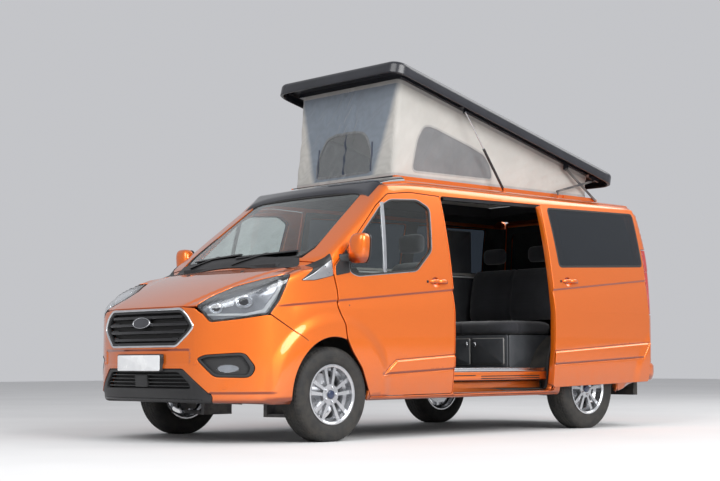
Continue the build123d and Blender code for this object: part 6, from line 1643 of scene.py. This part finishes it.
def wheels():
    """Tyres with grooved treads and ribbed walls, wheel nuts and blank centre caps."""
    turn = turned_angles(256)[:, None]
    reach, side = tyre_surface(turn)
    inner = np.array([(0.2055, -0.070), (0.225, -0.080), (0.300, -0.085), (0.318, -0.040), (0.318, 0.040),
                      (0.300, 0.085), (0.225, 0.080), (0.2055, 0.070)])[::-1]
    cap = ((0.001, 0.0025), (0.018, 0.0022), (0.026, 0.0010), (0.030, -0.001), (0.032, -0.005), (0.032, -0.030))
    for end, axle in (("front", FRONT_AXLE), ("rear", REAR_AXLE)):
        for name, hand in HANDS:
            low, high = (np.array(corner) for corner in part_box(f"tyre_{end}_{name}"))
            centre = (low + high) / 2
            body = f"wheel_{end}_{name}"
            rings = np.concatenate([round_axle(centre, turn, reach, side * hand),
                                    round_axle(centre, turn, inner[:, 0], inner[:, 1] * hand)], 1)
            solid(f"tyre_tread_{end}_{name}", rings, "tread", body, nodes=(f"tyre_{end}_{name}",), closed=True,
                  sharp=38)
            face = float(np.abs(np.array(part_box(f"rim_{end}_{name}"))[:, 1]).max()) * hand
            settle(wheel_nuts(f"wheel_nuts_{end}_{name}", axle, face, hand), body, "steel")
            hub = (axle[0], face, axle[1])
            rings = np.stack([round_axle(hub, turned_angles(48), r, (y - 0.008) * hand) for r, y in cap])
            solid(f"wheel_cap_{end}_{name}", rings, "cap", body)


def mesh_points(mesh):
    """A mesh's points as one array."""
    flat = np.zeros(len(mesh.vertices) * 3)
    mesh.vertices.foreach_get("co", flat)
    return flat.reshape(-1, 3)


def swollen(pad, grow):
    """An even mesh of the pad, blown up by a short cloth simulation: its points, none moved further than grow."""
    remesh = pad.modifiers.new("Even", "REMESH")
    remesh.mode, remesh.voxel_size, remesh.use_smooth_shade = "VOXEL", 0.016, True
    bpy.context.view_layer.objects.active = pad
    bpy.context.view_layer.update()
    bpy.ops.object.select_all(action="DESELECT")
    pad.select_set(True)
    bpy.ops.object.modifier_apply(modifier="Even")
    start = mesh_points(pad.data)
    cloth = pad.modifiers.new("Cloth", "CLOTH")
    settings = cloth.settings
    settings.quality = 4
    settings.mass = 0.35
    settings.use_pressure, settings.uniform_pressure_force = True, 4.0
    settings.tension_stiffness = settings.compression_stiffness = 12
    settings.bending_stiffness = 2.0
    settings.effector_weights.gravity = 0
    cloth.point_cache.frame_start, cloth.point_cache.frame_end = 1, 16
    scene = bpy.context.scene
    for frame_number in range(1, 15):
        scene.frame_set(frame_number)
    shift = mesh_points(pad.evaluated_get(bpy.context.evaluated_depsgraph_get()).data) - start
    pad.modifiers.remove(cloth)
    scene.frame_set(1)
    length = np.linalg.norm(shift, axis=1, keepdims=True)
    return start + shift / np.maximum(length, 1e-9) * np.minimum(length, grow)


def soft(name, low, high, nodes=(), corner=0.04, crown=0.010, lean=None, channels=(), hand=1):
    """A stuffed pad: rings of a soft block, swollen by a simulation, then channelled.

    Channels are (axis, place, half width, depth): the surface is drawn in by depth times a Gaussian across each."""
    grow = bpy.context.scene.van_sizes.pad_swell
    rings = cushion_rings(np.array(low) + grow * 0.6, np.array(high) - grow * 0.6, corner, crown)
    if lean is not None:
        rings = turned_about(rings, *lean)
    if hand < 0:
        rings = rings * (1, -1, 1)
    pad = loft(name, rings, finish("seat"), sharp=180)
    points = swollen(pad, grow)
    out = unit(points - (points.min(0) + points.max(0)) / 2)
    for axis, place, width, depth in channels:
        points = points - out * (depth * np.exp(-((points[:, axis] - place) / width) ** 2))[:, None]
    pad.data.vertices.foreach_set("co", points.astype(np.float32).ravel())
    pad.data.update()
    settle(pad, "body", "seat", *nodes)


def seats():
    """Two front seats and the bench: cushions, backs with side bolsters, and head rests."""
    for name, hand in HANDS:
        soft(f"seat_cushion_{name}", (0.285, 0.190, 0.720), (0.850, 0.670, 0.852),
             ("front_seats",) if hand > 0 else (), 0.05, 0.012, hand=hand,
             channels=((1, hand * 0.300, 0.006, 0.006), (1, hand * 0.560, 0.006, 0.006), (0, 0.660, 0.006, 0.004)))
        soft(f"seat_back_{name}", (0.170, 0.190, 0.800), (0.310, 0.670, 1.400), (), 0.05, 0.0,
             lean=((0.25, 0.80), -0.215), hand=hand,
             channels=((1, hand * 0.300, 0.006, 0.006), (1, hand * 0.560, 0.006, 0.006), (2, 1.12, 0.006, 0.003)))
        soft(f"seat_head_{name}", (0.085, 0.300, 1.430), (0.185, 0.560, 1.600), (), 0.045, 0.008, hand=hand)
    soft("bench_cushion", (-1.500, -0.428, 0.792), (-0.768, 0.638, 0.905), ("bench_seat",), 0.045, 0.010,
         channels=((1, 0.105, 0.006, 0.008), (0, -0.960, 0.006, 0.004)))
    soft("bench_back", (-1.520, -0.428, 0.905), (-1.400, 0.638, 1.425), (), 0.045, 0.0,
         lean=((-1.45, 0.905), -0.17), channels=((1, 0.105, 0.006, 0.010), (2, 1.16, 0.006, 0.004)))
    for order, y in enumerate((-0.160, 0.370)):
        soft(f"bench_head_{order}", (-1.590, y - 0.125, 1.440), (-1.498, y + 0.125, 1.598), (), 0.040, 0.006)


def board(name, corners, thick, look, slot=None, soft_edge=0.004):
    """A flat board: a rounded outline in its own plane, given by an origin and two edges, with a softened rim."""
    origin, first, second = (np.array(part, float) for part in corners)
    out = unit(np.cross(first, second))
    wide, high = np.linalg.norm(first), np.linalg.norm(second)
    loop = resample(rounded(oblong(0, 0, wide, high), min(wide, high, 0.03) * 0.3), 0.02)
    rows = []
    for inset, depth in ((soft_edge, 0.0), (soft_edge * 0.3, soft_edge * 0.3), (0.0, soft_edge), (0.0, thick)):
        ring = loop - inset * outward(loop)
        rows.append(origin + ring[:, :1] * first / wide + ring[:, 1:] * second / high - out * (depth - thick))
    return solid(name, np.stack(rows), look, "body", slot, sharp=50)


def inside_pieces():
    """The cabinet's case, doors, latches, top and end, and the bench's front with its doors, edges and latches."""
    settle(shell("cabinet_case", *case_walls(), finish("board")), "body", "board", "cabinet")
    for order, (low, high) in enumerate(((0.540, 0.900), (0.915, 1.360))):
        for column, (x0, x1) in enumerate(((-0.120, -0.560), (-0.575, -1.015), (-1.030, -1.470))):
            board(f"cabinet_door_{order}_{column}", ((x0, -0.4695, low), (x1 - x0, 0, 0), (0, 0, high - low)),
                  0.014, "board")
            board(f"cabinet_latch_{order}_{column}",
                  ((x0 - 0.040, -0.455, high - 0.060), (-0.060, 0, 0), (0, 0, 0.022)), 0.006, "bright")
    board("cabinet_top", ((-0.095, -0.462, 1.3805), (0, -0.385, 0), (-2.205, 0, 0)), 0.024, "pale_board")
    board("cabinet_strip", ((-0.0985, -0.848, 1.080), (0, 0.385, 0), (0, 0, 0.014)), 0.004, "white", slot="board")
    board("cabinet_end", ((-0.0995, -0.845, 0.520), (0, 0.373, 0), (0, 0, 0.850)), 0.010, "board")
    board("bench_front", ((-0.797, -0.428, 0.512), (0, 1.066, 0), (0, 0, 0.276)), 0.012, "board")
    for order, (y0, y1) in enumerate(((-0.400, 0.215), (0.245, 0.600))):
        board(f"bench_door_{order}", ((-0.786, y0, 0.545), (0, y1 - y0, 0), (0, 0, 0.215)), 0.010, "board")
        board(f"bench_edge_{order}", ((-0.7855, y0 - 0.004, 0.541), (0, y1 - y0 + 0.008, 0), (0, 0, 0.223)), 0.004,
              "pale_board")
        y = y1 - 0.045 if order == 0 else y0 + 0.020
        board(f"bench_latch_{order}", ((-0.7765, y, 0.690), (0, 0.026, 0), (0, 0, 0.045)), 0.006, "bright")
    board("bench_side", ((-0.800, 0.6405, 0.512), (-0.680, 0, 0), (0, 0, 0.276)), 0.010, "board")


def case_walls():
    """The cabinet's outer and inner walls as one open-ended ring along its length."""
    low, high = (np.array(corner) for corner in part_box("cabinet"))
    loop = resample(rounded(oblong(*low[1:], *high[1:]), 0.008), 0.05)
    x = np.linspace(low[0], high[0], 12)
    walls = []
    for inset in (0.0, 0.016):
        ring = loop - inset * outward(loop)
        ring = np.concatenate([ring, ring[:1]])
        walls.append(np.stack(np.broadcast_arrays(x[:, None], ring[None, :, 0], ring[None, :, 1]), -1))
    return walls


def doorway():
    """The doorway's returns, seal, threshold and step with its slots, what shows behind it, and the inner linings."""
    opening = rounded(SIDE_OPENING, 0.040)
    panel("doorway_return", grown(opening, 0.010), "paint", holes=[grown(opening, 0.0005)], step=0.03, thick=0.070,
          inset=0.0195, edge=0.003)
    panel("doorway_seal", grown(opening, 0.004), "rubber", holes=[grown(opening, -0.016)], step=0.03, thick=0.022,
          inset=0.066, edge=0.005)
    board("threshold", ((0.205, 0.886, 0.5125), (0, -0.090, 0), (-1.200, 0, 0)), 0.005, "bright")
    board("threshold_lip", ((0.205, 0.8845, 0.488), (-1.200, 0, 0), (0, 0, 0.028)), 0.004, "bright")
    board("step_face", ((0.205, 0.8842, 0.418), (-1.200, 0, 0), (0, 0, 0.066)), 0.004, "paint")
    for order, (x0, x1, z) in enumerate(((0.190, -0.120, 0.452), (-0.180, -0.900, 0.446), (-0.180, -0.900, 0.428))):
        board(f"step_slot_{order}", ((x0, 0.8885, z), (x1 - x0, 0, 0), (0, 0, 0.008)), 0.003, "rubber")
    board("step_riser", ((0.205, 0.8055, 0.330), (-1.200, 0, 0), (0, 0, 0.080)), 0.004, "paint")
    board("step_tread", ((0.205, 0.945, 0.3235), (0, -0.139, 0), (-1.200, 0, 0)), 0.004, "paint")
    board("step_strip", ((0.195, 0.945, 0.3275), (0, -0.030, 0), (-1.180, 0, 0)), 0.004, "silver",
          slot="bright_metal")
    board("cabinet_tall", ((-0.980, -0.4640, 1.382), (-0.560, 0, 0), (0, 0, 0.385)), 0.012, "board")
    board("cabinet_tall_edge", ((-0.978, -0.4660, 1.382), (-0.566, 0, 0), (0, 0, 0.389)), 0.008, "pale_board")
    board("cabinet_strip_side", ((-0.102, -0.4690, 1.338), (-2.190, 0, 0), (0, 0, 0.014)), 0.020, "white", slot="board")
    windows = [
        carried(grown(rounded(loop, 0.035), 0.004), "side", "round") for loop in (SLIDING_WINDOW, REAR_WINDOW)
    ]
    for name, hand, front in (("right", -1, 0.190), ("left", 1, -1.100)):
        outline = [(-2.740, 0.560), (front, 0.540), (front, 1.862), (-2.740, 1.862)]
        panel(f"lining_{name}", rounded(outline, 0.03), "lining", holes=windows if hand < 0 else windows[1:],
              domain="round", hand=hand, step=0.05, thick=0.006, inset=0.024)


def sill_trims():
    """Raised strips along the foot of each sill."""
    for name, hand in HANDS:
        strip = oblong(1.100, 0.291, -1.060, 0.302)
        panel(f"sill_strip_{name}", strip, "paint", domain="side", hand=hand, step=0.03, thick=0.004, inset=-0.004,
              edge=0.001)


CAD_FINISHES = {
    "roof_panel": "roof", "scuttle": "plastic", "wipers": "plastic",
    "door_track": "satin", "underbody": "underseal", "engine": "steel", "subframe": "steel", "rear_axle": "steel",
    "fuel_tank": "plastic", "exhaust": "steel", "knuckle_left": "steel", "knuckle_right": "steel",
    "dashboard": "plastic", "steering_wheel": "satin", "roof_arms": "steel", "roof_links": "steel",
    "roof_posts": "steel", "strut_tubes": "satin", "strut_rods": "bright", "pop_roof": "lid",
    **{f"rim_{end}_{side}": "alloy" for end in ("front", "rear") for side in ("left", "right")},
}


def dress_cad():
    """The CAD nodes that stay get their material."""
    for cad_node, name in CAD_FINISHES.items():
        obj = bpy.data.objects.get(cad_node)
        if obj is None:
            raise RuntimeError(f"no CAD object {cad_node}")
        obj.data.materials.clear()
        obj.data.materials.append(finish(name))


def stage(sizes):
    """Floor, soft lights and the camera."""
    bpy.ops.mesh.primitive_grid_add(x_subdivisions=8, y_subdivisions=8, size=60)
    floor = bpy.context.object
    floor.name = "studio_floor"
    floor.data.materials.append(surface("Floor", (0.62, 0.62, 0.62), (0.66, 0.66, 0.66), (0.7, 0.8), grain=0.5))
    world = bpy.data.worlds.new("Studio")
    bpy.context.scene.world = world
    world.use_nodes = True
    world.node_tree.nodes["Background"].inputs["Color"].default_value = (0.95, 0.96, 1.0, 1)
    world.node_tree.nodes["Background"].inputs["Strength"].default_value = sizes.light
    for place, size, power in (((9, 3, 8), 8, 620), ((1, 12, 7), 9, 1500), ((-8, 3, 9), 8, 520)):
        light = bpy.data.lights.new("Soft_light", "AREA")
        light.shape, light.size, light.energy = "DISK", size, power
        lamp = bpy.data.objects.new("Soft_light", light)
        lamp.location = place
        lamp.rotation_euler = (Vector((0, 0, 1)) - Vector(place)).to_track_quat("-Z", "Y").to_euler()
        bpy.context.scene.collection.objects.link(lamp)
    data = bpy.data.cameras.new("Camera")
    data.lens, data.sensor_width = 73.51, 36.0
    camera = bpy.data.objects.new("Camera", data)
    yaw, pitch, roll = 0.7533, 0.0819, -0.0032
    look = Vector((-math.sin(yaw) * math.cos(pitch), -math.cos(yaw) * math.cos(pitch), math.sin(pitch)))
    turn = look.to_track_quat("-Z", "Y").to_matrix() @ Matrix.Rotation(roll, 3, "Z")
    camera.matrix_world = Matrix.Translation((8.5513, 8.7968, 0.5722)) @ turn.to_4x4()
    bpy.context.scene.collection.objects.link(camera)
    bpy.context.scene.camera = camera
    bpy.context.scene.view_settings.view_transform = "Standard"


class VanColours(bpy.types.PropertyGroup):
    """Colours of the van's main finishes."""

    paint: bpy.props.FloatVectorProperty(
        name="Body paint", description="Colour of the painted panels", default=(0.98, 0.190, 0.006), size=3,
        min=0.0, max=1.0, subtype="COLOR",
    )
    canvas: bpy.props.FloatVectorProperty(
        name="Tent canvas", description="Colour of the tent's walls", default=(0.47, 0.455, 0.425), size=3,
        min=0.0, max=1.0, subtype="COLOR",
    )


class VanSizes(bpy.types.PropertyGroup):
    """Sizes of the details that Blender adds."""

    groove_depth: bpy.props.FloatProperty(
        name="Tread depth", description="Depth of the grooves in the tyres", default=0.0065, min=0.002, max=0.009,
        unit="LENGTH",
    )
    canvas_slack: bpy.props.FloatProperty(
        name="Canvas slack", description="How far the tent's walls are drawn in at mid height", default=0.006,
        min=0.0, max=0.012, unit="LENGTH",
    )
    pad_swell: bpy.props.FloatProperty(
        name="Pad swell", description="How far a seat pad may swell in its simulation", default=0.012, min=0.004,
        max=0.030, unit="LENGTH",
    )
    light: bpy.props.FloatProperty(
        name="Light", description="Strength of the studio's surroundings", default=0.58, min=0.1, max=2.0,
        subtype="FACTOR",
    )


class VAN_OT_SidePanels(bpy.types.Operator):
    """Quarter panels, sills and pillars of both sides, and the roof's skin."""

    bl_idname = "van.side_panels"
    bl_label = "Side Panels and Roof"

    def execute(self, context):
        side_panels()
        roof_skin()
        return {"FINISHED"}


class VAN_OT_FrontBody(bpy.types.Operator):
    """The painted front end."""

    bl_idname = "van.front_body"
    bl_label = "Wings, Bumper and Bonnet"

    def execute(self, context):
        front_body()
        return {"FINISHED"}


class VAN_OT_Glazing(bpy.types.Operator):
    """Windscreen, side panes and tailgate pane with their seals."""

    bl_idname = "van.glazing"
    bl_label = "Glass"

    def execute(self, context):
        glazing()
        return {"FINISHED"}


class VAN_OT_Doors(bpy.types.Operator):
    """Front doors and the open sliding door."""

    bl_idname = "van.doors"
    bl_label = "Doors"

    def execute(self, context):
        doors()
        return {"FINISHED"}


class VAN_OT_TailEnd(bpy.types.Operator):
    """Tailgate and tail lamps."""

    bl_idname = "van.tail_end"
    bl_label = "Tail End"

    def execute(self, context):
        tail_end()
        return {"FINISHED"}


class VAN_OT_NoseTrim(bpy.types.Operator):
    """Grille, intake, fog lamps, plate and sensors."""

    bl_idname = "van.nose_trim"
    bl_label = "Nose Trim"

    def execute(self, context):
        front_details()
        return {"FINISHED"}


class VAN_OT_Headlamps(bpy.types.Operator):
    """Both headlamps with their cells and guides."""

    bl_idname = "van.headlamps"
    bl_label = "Headlamps"

    def execute(self, context):
        headlamps()
        return {"FINISHED"}


class VAN_OT_RoofCowl(bpy.types.Operator):
    """The gloss cowl over the windscreen and the lifting roof's skin."""

    bl_idname = "van.roof_cowl"
    bl_label = "Cowl and Lid"

    def execute(self, context):
        roof_cowl()
        lid_skin()
        return {"FINISHED"}


class VAN_OT_Tent(bpy.types.Operator):
    """Canvas walls with their windows, hems and zips."""

    bl_idname = "van.tent"
    bl_label = "Tent"

    def execute(self, context):
        tent()
        return {"FINISHED"}


class VAN_OT_Mirrors(bpy.types.Operator):
    """Door mirrors and the pillars' sails."""

    bl_idname = "van.mirrors"
    bl_label = "Mirrors"

    def execute(self, context):
        mirrors()
        return {"FINISHED"}


class VAN_OT_Handles(bpy.types.Operator):
    """Pull handles and locks."""

    bl_idname = "van.handles"
    bl_label = "Handles"

    def execute(self, context):
        handles()
        return {"FINISHED"}


class VAN_OT_BonnetTrim(bpy.types.Operator):
    """Washer jets and scuttle cover."""

    bl_idname = "van.bonnet_trim"
    bl_label = "Bonnet Trim"

    def execute(self, context):
        nose_details()
        return {"FINISHED"}


class VAN_OT_Wheels(bpy.types.Operator):
    """Tyres, nuts and caps."""

    bl_idname = "van.wheels"
    bl_label = "Wheels"

    def execute(self, context):
        wheels()
        return {"FINISHED"}


class VAN_OT_Seats(bpy.types.Operator):
    """Front seats and bench as stuffed pads."""

    bl_idname = "van.seats"
    bl_label = "Seats"

    def execute(self, context):
        seats()
        return {"FINISHED"}


class VAN_OT_Cupboards(bpy.types.Operator):
    """Cabinet and bench fronts."""

    bl_idname = "van.cupboards"
    bl_label = "Cupboards"

    def execute(self, context):
        inside_pieces()
        return {"FINISHED"}


class VAN_OT_Doorway(bpy.types.Operator):
    """Returns, seal, threshold, step, linings and sill strips."""

    bl_idname = "van.doorway"
    bl_label = "Doorway"

    def execute(self, context):
        doorway()
        sill_trims()
        return {"FINISHED"}


class VAN_OT_CadFinishes(bpy.types.Operator):
    """Materials of the CAD pieces that stay."""

    bl_idname = "van.cad_finishes"
    bl_label = "Finishes"

    def execute(self, context):
        dress_cad()
        return {"FINISHED"}


class VAN_OT_Stage(bpy.types.Operator):
    """Floor, lights and camera."""

    bl_idname = "van.stage"
    bl_label = "Stage"

    def execute(self, context):
        stage(context.scene.van_sizes)
        return {"FINISHED"}


class VAN_PT_Build(bpy.types.Panel):
    """The van's pieces, colours and sizes."""

    bl_label = "Camper van"
    bl_idname = "VAN_PT_Build"
    bl_space_type = "VIEW_3D"
    bl_region_type = "UI"
    bl_category = "Camper van"

    def draw(self, context):
        for group in (context.scene.van_colours, context.scene.van_sizes):
            for field in group.__annotations__:
                self.layout.prop(group, field)
        for operator in OPERATORS:
            self.layout.operator(operator.bl_idname)


OPERATORS = (
    VAN_OT_SidePanels, VAN_OT_FrontBody, VAN_OT_Glazing, VAN_OT_Doors, VAN_OT_TailEnd, VAN_OT_NoseTrim,
    VAN_OT_Headlamps, VAN_OT_RoofCowl, VAN_OT_Tent, VAN_OT_Mirrors, VAN_OT_Handles, VAN_OT_BonnetTrim,
    VAN_OT_Wheels, VAN_OT_Seats, VAN_OT_Cupboards, VAN_OT_Doorway, VAN_OT_CadFinishes, VAN_OT_Stage,
)
CLASSES = (VanColours, VanSizes, *OPERATORS, VAN_PT_Build)


def register():
    """Adds the classes and the scene's settings."""
    for item in CLASSES:
        bpy.utils.register_class(item)
    bpy.types.Scene.van_colours = bpy.props.PointerProperty(type=VanColours)
    bpy.types.Scene.van_sizes = bpy.props.PointerProperty(type=VanSizes)


def unregister():
    """Removes what register adds."""
    del bpy.types.Scene.van_sizes
    del bpy.types.Scene.van_colours
    for item in reversed(CLASSES):
        bpy.utils.unregister_class(item)


def main():
    register()
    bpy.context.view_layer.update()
    for operator in OPERATORS:
        group, name = operator.bl_idname.split(".")
        getattr(getattr(bpy.ops, group), name)()


if __name__ == "__main__":
    main()
